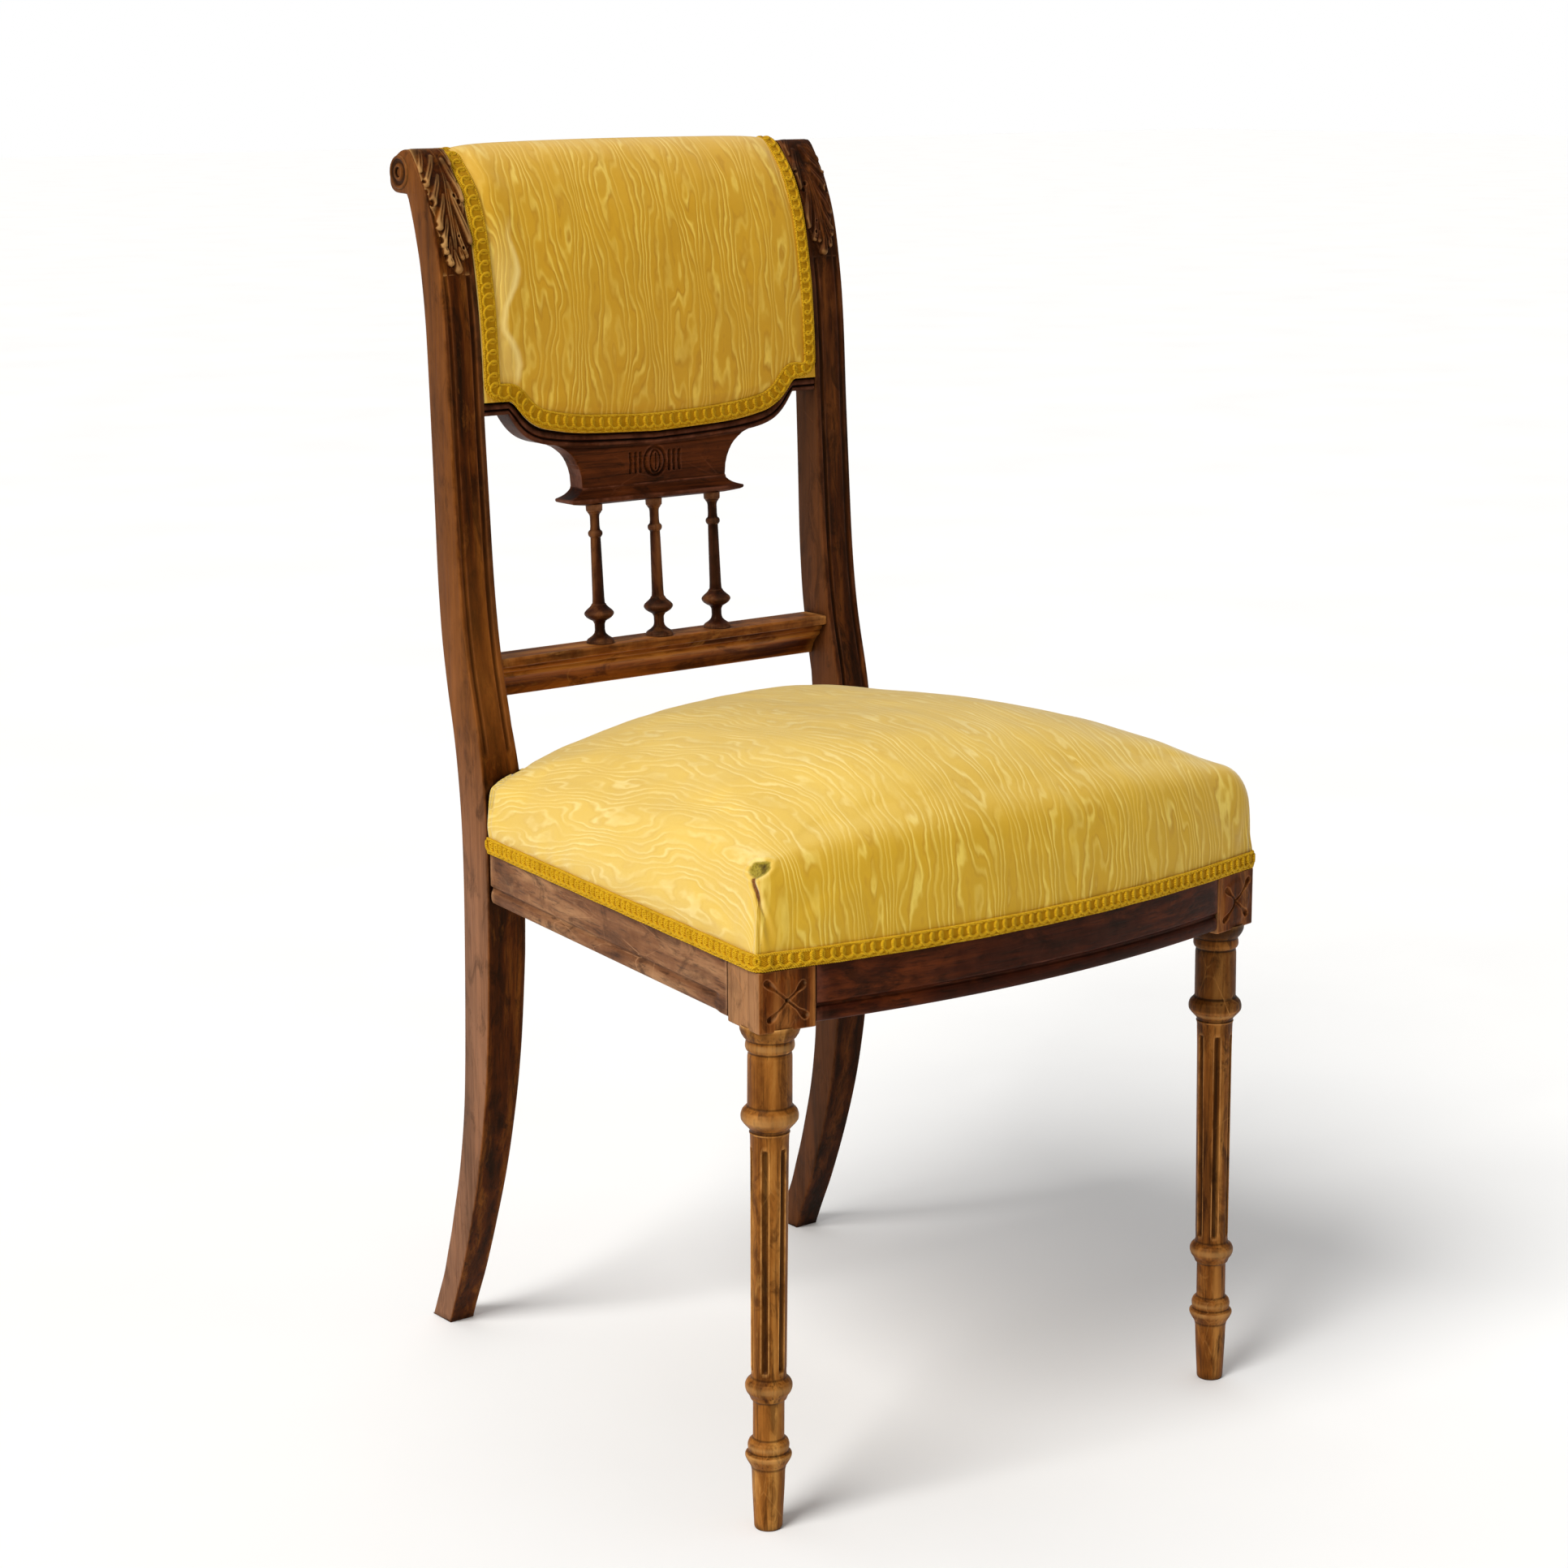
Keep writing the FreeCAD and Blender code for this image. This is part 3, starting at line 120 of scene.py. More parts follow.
def softened(points, r, k=4, closed=True):
    """A polygon with its corners rounded by quadratic arcs of reach r."""
    p = np.asarray(points, float)
    n = len(p)
    out = []
    for i in range(n):
        if not closed and i in (0, n - 1):
            out.append(p[i])
            continue
        a, b, c = p[i - 1], p[i], p[(i + 1) % n]
        la, lc = np.linalg.norm(a - b), np.linalg.norm(c - b)
        ri = r[i] if hasattr(r, "__len__") else r
        if ri <= 0:
            out.append(b)
            continue
        pa = b + (a - b) / la * min(ri, la * 0.45)
        pc = b + (c - b) / lc * min(ri, lc * 0.45)
        for j in range(k + 1):
            t = j / k
            out.append((1 - t) ** 2 * pa + 2 * t * (1 - t) * b + t * t * pc)
    return np.array(out)


def tube(path, radius, segs=8, closed=False, twist=0.0):
    """Vertices and faces of a tube along a path of points; radius may vary."""
    p = np.asarray(path, float)
    n = len(p)
    if closed:
        d = np.roll(p, -1, 0) - np.roll(p, 1, 0)
    else:
        d = np.gradient(p, axis=0)
    d /= np.maximum(np.linalg.norm(d, axis=1), 1e-9)[:, None]
    up = np.array([0.0, 0.0, 1.0])
    if abs(d[0] @ up) > 0.9:
        up = np.array([1.0, 0.0, 0.0])
    normals = []
    nrm = up - d[0] * (up @ d[0])
    nrm /= np.linalg.norm(nrm)
    for i in range(n):
        nrm = nrm - d[i] * (nrm @ d[i])
        nrm /= np.linalg.norm(nrm)
        normals.append(nrm)
    nrm = np.array(normals)
    bi = np.cross(d, nrm)
    rad = np.broadcast_to(np.asarray(radius, float), (n,))
    verts = []
    for i in range(n):
        for j in range(segs):
            a = 2 * math.pi * j / segs + twist * i
            verts.append(p[i] + rad[i] * (math.cos(a) * nrm[i] + math.sin(a) * bi[i]))
    faces = grid(n, segs, wrap_u=closed, wrap_v=True)
    if not closed:
        faces.append(tuple(range(segs - 1, -1, -1)))
        faces.append(tuple(range((n - 1) * segs, n * segs)))
    return np.array(verts), faces


class Parts:
    """Gathers several closed shells into one mesh."""

    def __init__(self):
        self.v, self.f, self.n, self.uv = [], [], 0, []

    def add(self, verts, faces, uv=None):
        self.v.append(np.asarray(verts, float))
        self.f += [tuple(i + self.n for i in f) for f in faces]
        self.n += len(verts)
        self.uv.append(np.zeros((len(verts), 2)) if uv is None else np.asarray(uv, float))

    def verts(self):
        return np.vstack(self.v)

    def uvs(self):
        return np.vstack(self.uv)


def lathe(profile, segs, shape=None):
    """A closed turned form; profile is (height, radius), shape(height, radius, angles) gives radii."""
    ang = np.arange(segs) * 2 * math.pi / segs
    verts = []
    for h, r in profile:
        rr = np.full(segs, r) if shape is None else shape(h, r, ang)
        verts += [(rr[j] * math.cos(ang[j]), rr[j] * math.sin(ang[j]), h) for j in range(segs)]
    faces = grid(len(profile), segs, wrap_v=True)
    n = len(profile) * segs
    verts.append((0, 0, profile[0][0]))
    verts.append((0, 0, profile[-1][0]))
    for j in range(segs):
        faces.append((n, (j + 1) % segs, j))
        k = (len(profile) - 1) * segs
        faces.append((n + 1, k + j, k + (j + 1) % segs))
    return np.array(verts, float), faces


def interp(x, xs, ys):
    return np.interp(x, xs, ys)


def smooth(x, a, b):
    t = np.clip((np.asarray(x, float) - a) / (b - a), 0, 1)
    return t * t * (3 - 2 * t)


# ---------------------------------------------------------------- materials
class Nodes:
    """Short-hand for building a node material."""

    def __init__(self, name):
        self.m = bpy.data.materials.new(name)
        self.m.use_nodes = True
        self.t = self.m.node_tree
        self.t.nodes.clear()
        self.out = self.t.nodes.new("ShaderNodeOutputMaterial")
        self.bsdf = self.t.nodes.new("ShaderNodeBsdfPrincipled")
        self.t.links.new(self.bsdf.outputs[0], self.out.inputs[0])

    def new(self, kind, **kw):
        n = self.t.nodes.new(kind)
        for k, v in kw.items():
            setattr(n, k, v)
        return n

    def put(self, socket, value):
        if hasattr(value, "links") or hasattr(value, "is_linked"):
            self.t.links.new(value, socket)
        else:
            socket.default_value = value

    def coord(self, kind="Object"):
        return self.new("ShaderNodeTexCoord").outputs[kind]

    def mapping(self, vec, scale=(1, 1, 1), loc=(0, 0, 0), rot=(0, 0, 0)):
        n = self.new("ShaderNodeMapping")
        self.put(n.inputs["Vector"], vec)
        n.inputs["Location"].default_value = loc
        n.inputs["Rotation"].default_value = rot
        n.inputs["Scale"].default_value = scale
        return n.outputs[0]

    def noise(self, vec, scale, detail=4, rough=0.55, dist=0.0):
        n = self.new("ShaderNodeTexNoise")
        self.put(n.inputs["Vector"], vec)
        n.inputs["Scale"].default_value = scale
        n.inputs["Detail"].default_value = detail
        n.inputs["Roughness"].default_value = rough
        n.inputs["Distortion"].default_value = dist
        return n.outputs["Fac"]

    def math(self, op, a, b=0.0, c=0.0, clamp=False):
        n = self.new("ShaderNodeMath", operation=op, use_clamp=clamp)
        self.put(n.inputs[0], a)
        self.put(n.inputs[1], b)
        self.put(n.inputs[2], c)
        return n.outputs[0]

    def ramp(self, fac, stops, mode="LINEAR"):
        n = self.new("ShaderNodeValToRGB")
        n.color_ramp.interpolation = mode
        e = n.color_ramp.elements
        while len(e) < len(stops):
            e.new(0.5)
        for el, (p, c) in zip(e, stops):
            el.position = p
            el.color = (*c, 1) if hasattr(c, "__len__") else (c, c, c, 1)
        self.put(n.inputs[0], fac)
        return n.outputs[0]

    def mix(self, fac, a, b, kind="MIX"):
        n = self.new("ShaderNodeMix", data_type="RGBA", blend_type=kind)
        self.put(n.inputs[0], fac)
        self.put(n.inputs[6], a if hasattr(a, "is_linked") else (*a, 1))
        self.put(n.inputs[7], b if hasattr(b, "is_linked") else (*b, 1))
        return n.outputs[2]

    def xyz(self, vec):
        n = self.new("ShaderNodeSeparateXYZ")
        self.put(n.inputs[0], vec)
        return n.outputs

    def bump(self, height, strength, distance=0.001, normal=None):
        n = self.new("ShaderNodeBump")
        n.inputs["Strength"].default_value = strength
        n.inputs["Distance"].default_value = distance
        self.put(n.inputs["Height"], height)
        if normal is not None:
            self.put(n.inputs["Normal"], normal)
        return n.outputs[0]

    def done(self, color, rough, normal=None, **plain):
        self.put(self.bsdf.inputs["Base Color"], color)
        self.put(self.bsdf.inputs["Roughness"], rough)
        if normal is not None:
            self.put(self.bsdf.inputs["Normal"], normal)
        for k, v in plain.items():
            self.bsdf.inputs[k.replace("_", " ")].default_value = v
        return self.m


def srgb(r, g, b):
    return tuple(((c / 255 + 0.055) / 1.055) ** 2.4 if c > 10 else c / 255 / 12.92 for c in (r, g, b))


def wood(name, dark, mid, light, grain="Z", wear=0.5, gloss=0.42, seed=0.0, streak=0.55, side=None, side_light_low=None, carved=False, honey=None,
         spread=1.0):
    """Old polished wood: long grain, pores, patches of worn polish and pale rubbed edges."""
    n = Nodes(name)
    co = n.coord()
    long = {"X": (1.9, 52, 52), "Y": (52, 1.9, 52), "Z": (52, 52, 1.9)}[grain]
    fine = {"X": (16, 560, 560), "Y": (560, 16, 560), "Z": (560, 560, 16)}[grain]
    loc = (seed, seed * 0.7, seed * 1.3)
    broad = n.noise(n.mapping(co, long, loc), 2.2, 5, 0.6, 0.5)
    rings = n.new("ShaderNodeTexWave", wave_type="BANDS", bands_direction={"X": "Y", "Y": "X", "Z": "X"}[grain])
    n.put(rings.inputs["Vector"], n.mapping(co, tuple(s * 0.9 for s in long), loc))
    rings.inputs["Scale"].default_value = 0.32
    rings.inputs["Distortion"].default_value = 7.0
    rings.inputs["Detail"].default_value = 3.0
    rings.inputs["Detail Scale"].default_value = 1.4
    pores = n.noise(n.mapping(co, fine, loc), 1.0, 3, 0.6)
    patches = n.noise(n.mapping(co, (9, 9, 5), loc), 1.0, 5, 0.65, 0.6)
    spots = n.noise(n.mapping(co, {"X": (15, 44, 44), "Y": (44, 15, 44), "Z": (44, 44, 15)}[grain], loc), 1.0, 5, 0.7, 0.8)
    f = n.math("ADD", n.math("MULTIPLY", broad, 0.80), n.math("MULTIPLY", rings.outputs["Fac"], 0.20))
    f = n.math("ADD", n.math("MULTIPLY", f, streak), n.math("MULTIPLY", n.math("ADD", patches, spots), 0.5 * (1.0 - streak)))
    col = n.ramp(f, [(0.5 - 0.13 * spread, dark), (0.5, mid), (0.5 + 0.14 * spread, light)])
    # smudges of old dirt and places rubbed lighter
    smudge = n.noise(n.mapping(co, {"X": (22, 60, 60), "Y": (60, 22, 60), "Z": (60, 60, 22)}[grain], (seed + 3.1, 2.2, seed)), 1.0, 5, 0.7, 1.0)
    col = n.mix(n.ramp(smudge, [(0.50, 0.0), (0.62, 0.66)]), col, tuple(c * 0.66 for c in dark))
    col = n.mix(n.ramp(spots, [(0.27, 0.55), (0.40, 0.0)]), col, tuple(min(1.0, c * 1.12) for c in light))
    pore = n.ramp(pores, [(0.33, 0.0), (0.46, 1.0)])
    col = n.mix(n.math("MULTIPLY", n.math("SUBTRACT", 1.0, pore), 0.55), col, tuple(c * 0.35 for c in dark))
    if honey is not None:
        # a lighter honey brown low on the face, between the heights z0 and z1
        z0, z1, tint = honey
        up = n.math("ADD", n.xyz(co)[2], n.math("MULTIPLY", n.math("SUBTRACT", patches, 0.5), 0.12))
        low = n.math("MULTIPLY", n.ramp(n.math("SUBTRACT", up, z0), [(0.0, 0.0), (0.04, 1.0)]),
                     n.ramp(n.math("SUBTRACT", up, z1 - 0.12), [(0.0, 1.0), (0.12, 0.0)]))
        col = n.mix(n.math("MULTIPLY", low, n.ramp(f, [(0.3, 0.25), (0.7, 0.85)])), col, tint)
    # pale rubbed edges, and hollows painted darker, from the form itself: partly dirt, partly painted shade
    geo = n.new("ShaderNodeNewGeometry")
    edge = n.ramp(geo.outputs["Pointiness"], [(0.505, 0.0), (0.56, 1.0)])
    hollow_dirt_and_shade = n.ramp(geo.outputs["Pointiness"], [(0.40, 1.0), (0.492, 0.0)])
    scuff = n.noise(n.mapping(co, (60, 60, 40), loc), 1.0, 4, 0.7)
    rub = n.math("MULTIPLY", n.math("MULTIPLY", edge, n.ramp(scuff, [(0.38, 0.15), (0.6, 1.0)])), wear)
    col = n.mix(rub, col, tuple(min(1.0, c * 1.75 + 0.035) for c in light))
    col = n.mix(n.math("MULTIPLY", hollow_dirt_and_shade, 0.75), col, tuple(c * 0.22 for c in dark))
    # painted shade: ambient occlusion darkens the colour where nearby parts and hollows shade the wood
    near = n.new("ShaderNodeAmbientOcclusion", samples=6, only_local=False)
    near.inputs["Distance"].default_value = 0.009
    occlusion_shade = n.ramp(near.outputs["AO"], [(0.30, 0.9), (0.80, 0.0)])
    if side is not None:
        # painted side light and sheen: faces turned sideways are painted paler and pinkish, as the side light and its
        # sheen make them look
        nx = n.xyz(geo.outputs["Normal"])[0]
        k = n.ramp(n.math("ABSOLUTE", nx), [(0.55, 0.0), (0.9, 1.0)])
        painted_side_light = n.ramp(f, [(0.34, tuple(c * 0.50 for c in side)), (0.5, side), (0.66, tuple(c * 1.40 for c in side))])
        if side_light_low is not None:
            lower = n.ramp(f, [(0.34, tuple(c * 0.50 for c in side_light_low)), (0.5, side_light_low), (0.66, tuple(c * 1.40 for c in side_light_low))])
            painted_side_light = n.mix(n.ramp(n.xyz(co)[2], [(0.34, 1.0), (0.50, 0.0)]), painted_side_light, lower)
        painted_side_light = n.mix(n.ramp(smudge, [(0.52, 0.0), (0.68, 0.55)]), painted_side_light, dark)
        painted_side_light = n.mix(n.math("MULTIPLY", n.math("SUBTRACT", 1.0, pore), 0.4), painted_side_light, mid)
        col = n.mix(n.math("MULTIPLY", k, n.ramp(patches, [(0.3, 0.62), (0.62, 0.95)])), col, painted_side_light)
    if carved:
        # ridges of the carving painted lighter and its hollows darker: partly rubbed polish and dirt, partly painted
        # highlight and painted shade
        at = n.new("ShaderNodeAttribute", attribute_name="carve")
        sunk_dirt_and_shade = n.ramp(at.outputs["Fac"], [(0.08, 1.0), (0.44, 0.0)])
        proud_wear_and_highlight = n.ramp(at.outputs["Fac"], [(0.56, 0.0), (0.86, 1.0)])
        col = n.mix(n.math("MULTIPLY", proud_wear_and_highlight, n.ramp(scuff, [(0.3, 0.35), (0.6, 0.85)])), col, srgb(182, 137, 82))
        col = n.mix(n.math("MULTIPLY", sunk_dirt_and_shade, 0.88), col, srgb(24, 9, 3))
    # painted shade from the occlusion mask above
    col = n.mix(occlusion_shade, col, tuple(c * 0.30 for c in dark))
    # knocks and small pale scratches
    vor = n.new("ShaderNodeTexVoronoi", feature="DISTANCE_TO_EDGE")
    n.put(vor.inputs["Vector"], n.mapping(co, {"X": (18, 60, 60), "Y": (60, 18, 60), "Z": (60, 60, 18)}[grain], loc))
    vor.inputs["Scale"].default_value = 1.0
    scr = n.math("MULTIPLY", n.ramp(vor.outputs["Distance"], [(0.0, 1.0), (0.018, 0.0)]),
                 n.ramp(patches, [(0.52, 0.0), (0.7, 0.5)]))
    col = n.mix(scr, col, tuple(min(1.0, c * 1.5 + 0.02) for c in light))
    rough = n.ramp(n.math("ADD", n.math("MULTIPLY", patches, 0.6), n.math("MULTIPLY", pores, 0.4)),
                   [(0.3, gloss + 0.02), (0.7, gloss + 0.24)])
    hgt = n.math("ADD", n.math("MULTIPLY", pore, 0.5), n.math("MULTIPLY", broad, 0.5))
    nor = n.bump(hgt, 0.28, 0.0005)
    nor = n.bump(patches, 0.10, 0.0022, nor)
    return n.done(col, rough, nor, Specular_IOR_Level=0.10, Specular_Tint=(1.0, 0.62, 0.34, 1.0))


def moire(name, base, line, deep, gain=1.0, worn=False, left_highlight=False):
    """Watered silk: fine ribs with wandering wood-like lines, in the cloth's own coordinates (decimetres)."""
    n = Nodes(name)
    uv = n.coord("UV")
    # wandering field, long along v
    warp = n.noise(n.mapping(uv, (3.2, 1.1, 1)), 1.0, 2, 0.5)
    warp2 = n.noise(n.mapping(uv, (1.5, 0.6, 1), (4.3, 1.7, 0)), 1.0, 2, 0.5)
    fieldn = n.noise(n.mapping(uv, (3.4, 0.8, 1), (1.1, 2.2, 0)), 1.0, 2.0, 0.5, 0.15)
    x = n.xyz(uv)[0]
    ripple = n.noise(n.mapping(uv, (10.0, 4.6, 1), (2.1, 6.2, 0)), 1.0, 2.0, 0.55)
    phase = n.math("ADD", n.math("MULTIPLY", fieldn, 56.0), n.math("MULTIPLY", warp, 18.0))
    phase = n.math("ADD", phase, n.math("MULTIPLY", ripple, 7.0))
    phase = n.math("ADD", phase, n.math("MULTIPLY", x, 102.0))
    s = n.math("SINE", phase)
    s = n.math("ADD", n.math("MULTIPLY", s, 0.5), 0.5)
    lines = n.ramp(s, [(0.0, 0.0), (0.50, 0.08), (0.80, 0.50), (0.98, 1.0)])
    s2 = n.math("SINE", n.math("ADD", phase, 0.95))
    s2 = n.math("ADD", n.math("MULTIPLY", s2, 0.5), 0.5)
    shade = n.ramp(s2, [(0.0, 0.22), (0.45, 0.12), (0.88, 1.0), (1.0, 1.0)])
    # lines fade in and out along their run
    fade = n.ramp(n.noise(n.mapping(uv, (6.0, 2.0, 1), (7.7, 0.4, 0)), 1.0, 3, 0.6), [(0.36, 0.15), (0.62, 1.0)])
    rib = n.new("ShaderNodeTexWave", wave_type="BANDS", bands_direction="Y")
    n.put(rib.inputs["Vector"], n.mapping(uv, (1, 1, 1)))
    rib.inputs["Scale"].default_value = 55.0
    rib.inputs["Distortion"].default_value = 0.5
    rib.inputs["Detail"].default_value = 1.0
    yarn = n.noise(n.mapping(uv, (260, 30, 1)), 1.0, 2, 0.5)
    yarn2 = n.noise(n.mapping(uv, (20, 300, 1)), 1.0, 2, 0.5)
    tone = n.ramp(warp2, [(0.3, 0.0), (0.7, 1.0)])
    # painted shade: faces turned to the front are painted darker and more saturated than the top and the left side, and
    # their lines stronger
    facing = n.xyz(n.new("ShaderNodeNewGeometry").outputs["Normal"])[1]
    front_shade = n.ramp(n.math("MULTIPLY", facing, -1.0), [(0.40, 0.0), (0.95, 1.0)])
    line_k = n.mix(front_shade, line, tuple(c * m for c, m in zip(line, (0.94, 0.86, 0.38))))
    deep_k = n.mix(front_shade, deep, tuple(c * m for c, m in zip(deep, (0.78, 0.66, 0.16))))
    fade = n.math("MAXIMUM", fade, n.math("MULTIPLY", front_shade, 0.42))
    col = n.mix(tone, base, tuple(c * m for c, m in zip(base, (0.93, 0.90, 0.80))))
    col = n.mix(front_shade, col, n.mix(1.0, col, (0.84, 0.72, 0.18), "MULTIPLY"))
    col = n.mix(n.math("MULTIPLY", n.math("MULTIPLY", shade, fade), n.math("ADD", n.math("MULTIPLY", front_shade, 0.42 * gain), 0.44 * gain)), col, deep_k)
    col = n.mix(n.math("MULTIPLY", n.math("MULTIPLY", lines, fade), n.math("ADD", n.math("MULTIPLY", front_shade, 0.22 * gain), 0.72 * gain)), col, line_k)
    col = n.mix(n.math("MULTIPLY", n.ramp(rib.outputs["Fac"], [(0.2, 1.0), (0.7, 0.0)]), 0.16), col, deep)
    col = n.mix(n.math("MULTIPLY", n.ramp(yarn, [(0.35, 1.0), (0.6, 0.0)]), 0.16), col, deep)
    if left_highlight:
        # painted highlight: a broad pale band with a pale rim runs down beside the left edge, where the padding swells
        uvx, uvy = n.xyz(uv)[0], n.xyz(uv)[1]
        sway = n.noise(n.mapping(uv, (0.6, 2.6, 1), (3.3, 8.1, 0)), 1.0, 1.5, 0.4)
        reach = n.math("ADD", n.math("SUBTRACT", uvx, 10.58 + 0.16), n.math("MULTIPLY", n.math("SUBTRACT", sway, 0.5), -0.42))
        span_v = n.math("MULTIPLY", n.ramp(n.math("SUBTRACT", uvy, 3.50), [(0.0, 0.0), (0.12, 1.0)]),
                        n.ramp(n.math("SUBTRACT", uvy, 4.35), [(0.0, 1.0), (0.45, 0.0)]))
        inside = n.math("MULTIPLY", n.ramp(reach, [(0.0, 1.0), (0.05, 0.0)]), span_v)
        rim = n.math("MULTIPLY", n.ramp(n.math("ABSOLUTE", reach), [(0.0, 1.0), (0.035, 0.0)]), span_v)
        col = n.mix(n.math("MULTIPLY", inside, 0.34), col, line)
        col = n.mix(n.math("MULTIPLY", rim, 0.85), col, line)
    # a little grime
    soil = n.noise(n.mapping(n.coord(), (7, 7, 7)), 1.0, 4, 0.6)
    col = n.mix(n.math("MULTIPLY", n.ramp(soil, [(0.5, 0.0), (0.75, 1.0)]), 0.22), col,
                tuple(c * m for c, m in zip(base, (0.80, 0.74, 0.55))))
    if worn:
        # the stuffing shows olive through the worn place
        at = n.new("ShaderNodeAttribute", attribute_name="stain")
        fluff = n.noise(n.mapping(n.coord(), (700, 700, 700)), 1.0, 4, 0.65)
        tuft = n.mix(n.ramp(at.outputs["Fac"], [(0.62, 0.0), (0.98, 1.0)]),
                     n.ramp(fluff, [(0.3, srgb(118, 98, 12)), (0.6, srgb(160, 140, 44)), (0.8, srgb(190, 168, 76))]),
                     n.ramp(fluff, [(0.3, srgb(58, 44, 6)), (0.6, srgb(104, 84, 18)), (0.8, srgb(140, 120, 44))]))
        col = n.mix(n.ramp(at.outputs["Fac"], [(0.15, 0.0), (0.5, 1.0)]), col, tuft)
        at = n.new("ShaderNodeAttribute", attribute_name="torn")
        col = n.mix(n.ramp(at.outputs["Fac"], [(0.2, 0.0), (0.7, 1.0)]), col,
                    n.ramp(fluff, [(0.35, srgb(84, 42, 12)), (0.65, srgb(134, 84, 34))]))
    rough = n.math("SUBTRACT", 0.56, n.math("MULTIPLY", lines, 0.14))
    h = n.math("ADD", n.math("MULTIPLY", rib.outputs["Fac"], 0.6), n.math("MULTIPLY", yarn2, 0.4))
    nor = n.bump(h, 0.35, 0.00035)
    nor = n.bump(n.math("SUBTRACT", n.math("MULTIPLY", lines, fade), shade), 0.12, 0.0004, nor)
    return n.done(col, rough, nor, Sheen_Weight=0.5, Sheen_Roughness=0.35, Specular_IOR_Level=0.1)


def thread(name, base, dark, light, scale=900.0):
    """Twisted yarn of braid, webbing or sacking, from the piece's own coordinates."""
    n = Nodes(name)
    co = n.coord()
    a = n.noise(n.mapping(co, (scale, scale, scale)), 1.0, 3, 0.6)
    b = n.noise(n.mapping(co, (60, 60, 60)), 1.0, 3, 0.6)
    w = n.new("ShaderNodeTexWave", wave_type="BANDS", bands_direction="DIAGONAL")
    n.put(w.inputs["Vector"], n.mapping(co, (1, 1, 1)))
    w.inputs["Scale"].default_value = scale * 0.55
    w.inputs["Distortion"].default_value = 3.0
    f = n.math("ADD", n.math("MULTIPLY", a, 0.5), n.math("MULTIPLY", w.outputs["Fac"], 0.5))
    col = n.ramp(f, [(0.2, dark), (0.5, base), (0.85, light)])
    col = n.mix(n.math("MULTIPLY", n.ramp(b, [(0.42, 0.0), (0.7, 1.0)]), 0.35), col, dark)
    geo = n.new("ShaderNodeNewGeometry")
    # painted shade: hollows between the yarns are painted darker
    hollow_shade = n.ramp(geo.outputs["Pointiness"], [(0.38, 1.0), (0.5, 0.0)])
    col = n.mix(n.math("MULTIPLY", hollow_shade, 0.4), col, tuple(c * 0.45 for c in dark))
    nor = n.bump(f, 0.6, 0.0004)
    rough = n.ramp(a, [(0.3, 0.62), (0.7, 0.9)])
    return n.done(col, rough, nor, Sheen_Weight=0.02, Sheen_Roughness=0.5, Specular_IOR_Level=0.08,
                  Specular_Tint=(1.0, 0.76, 0.30, 1.0))


def woven(name, base, dark, light, pitch, axes=("X", "Y")):
    """Open plain weave of jute."""
    n = Nodes(name)
    co = n.coord()
    v = n.xyz(co)
    k = 2 * math.pi / pitch
    ix = {"X": 0, "Y": 1, "Z": 2}
    wob = n.noise(n.mapping(co, (40, 40, 40)), 1.0, 3, 0.6)
    a = n.math("SINE", n.math("ADD", n.math("MULTIPLY", v[ix[axes[0]]], k), n.math("MULTIPLY", wob, 5.0)))
    b = n.math("SINE", n.math("ADD", n.math("MULTIPLY", v[ix[axes[1]]], k), n.math("MULTIPLY", wob, 4.0)))
    weave = n.math("ADD", n.math("MULTIPLY", n.math("MULTIPLY", a, b), 0.5), 0.5)
    fib = n.noise(n.mapping(co, (900, 900, 900)), 1.0, 3, 0.6)
    f = n.math("ADD", n.math("MULTIPLY", weave, 0.6), n.math("MULTIPLY", fib, 0.4))
    col = n.ramp(f, [(0.2, dark), (0.5, base), (0.8, light)])
    nor = n.bump(f, 0.7, 0.0006)
    return n.done(col, n.ramp(fib, [(0.3, 0.8), (0.7, 0.95)]), nor, Specular_IOR_Level=0.2)


def steel(name):
    n = Nodes(name)
    co = n.coord()
    a = n.noise(n.mapping(co, (200, 200, 200)), 1.0, 5, 0.65)
    col = n.ramp(a, [(0.35, srgb(70, 52, 38)), (0.55, srgb(130, 120, 108)), (0.7, srgb(170, 165, 155))])
    met = n.ramp(a, [(0.4, 0.2), (0.6, 1.0)])
    n.put(n.bsdf.inputs["Metallic"], met)
    return n.done(col, n.ramp(a, [(0.4, 0.7), (0.6, 0.38)]), n.bump(a, 0.4, 0.0003))


POST_WOOD = wood("walnut_upright", srgb(30, 11, 2), srgb(76, 33, 5), srgb(130, 74, 22), "Z", 0.55, 0.40, 0.3,
                 side=srgb(108, 62, 24), side_light_low=srgb(128, 90, 66), carved=True, honey=(0.455, 0.64, srgb(142, 84, 32)))
# painted shade: a darker copy of the upright's walnut for the right post, standing in for the shade the back casts on
# it
POST_WOOD_SHADED = wood("walnut_upright_right_shaded", srgb(24, 9, 2), srgb(60, 25, 5), srgb(104, 56, 20), "Z", 0.55, 0.40, 1.3,
                   side=srgb(88, 50, 24), carved=True)
RAIL_X = wood("walnut_cross_grain", srgb(17, 4, 2), srgb(50, 15, 5), srgb(96, 42, 14), "X", 0.5, 0.36, 2.1)
RAIL_LIGHT = wood("walnut_lower_rail", srgb(64, 26, 6), srgb(146, 82, 28), srgb(184, 124, 58), "X", 0.6, 0.38, 5.1)
RAIL_BACK = wood("walnut_back_rail", srgb(40, 18, 6), srgb(92, 50, 22), srgb(136, 86, 44), "X", 0.5, 0.42, 6.9)
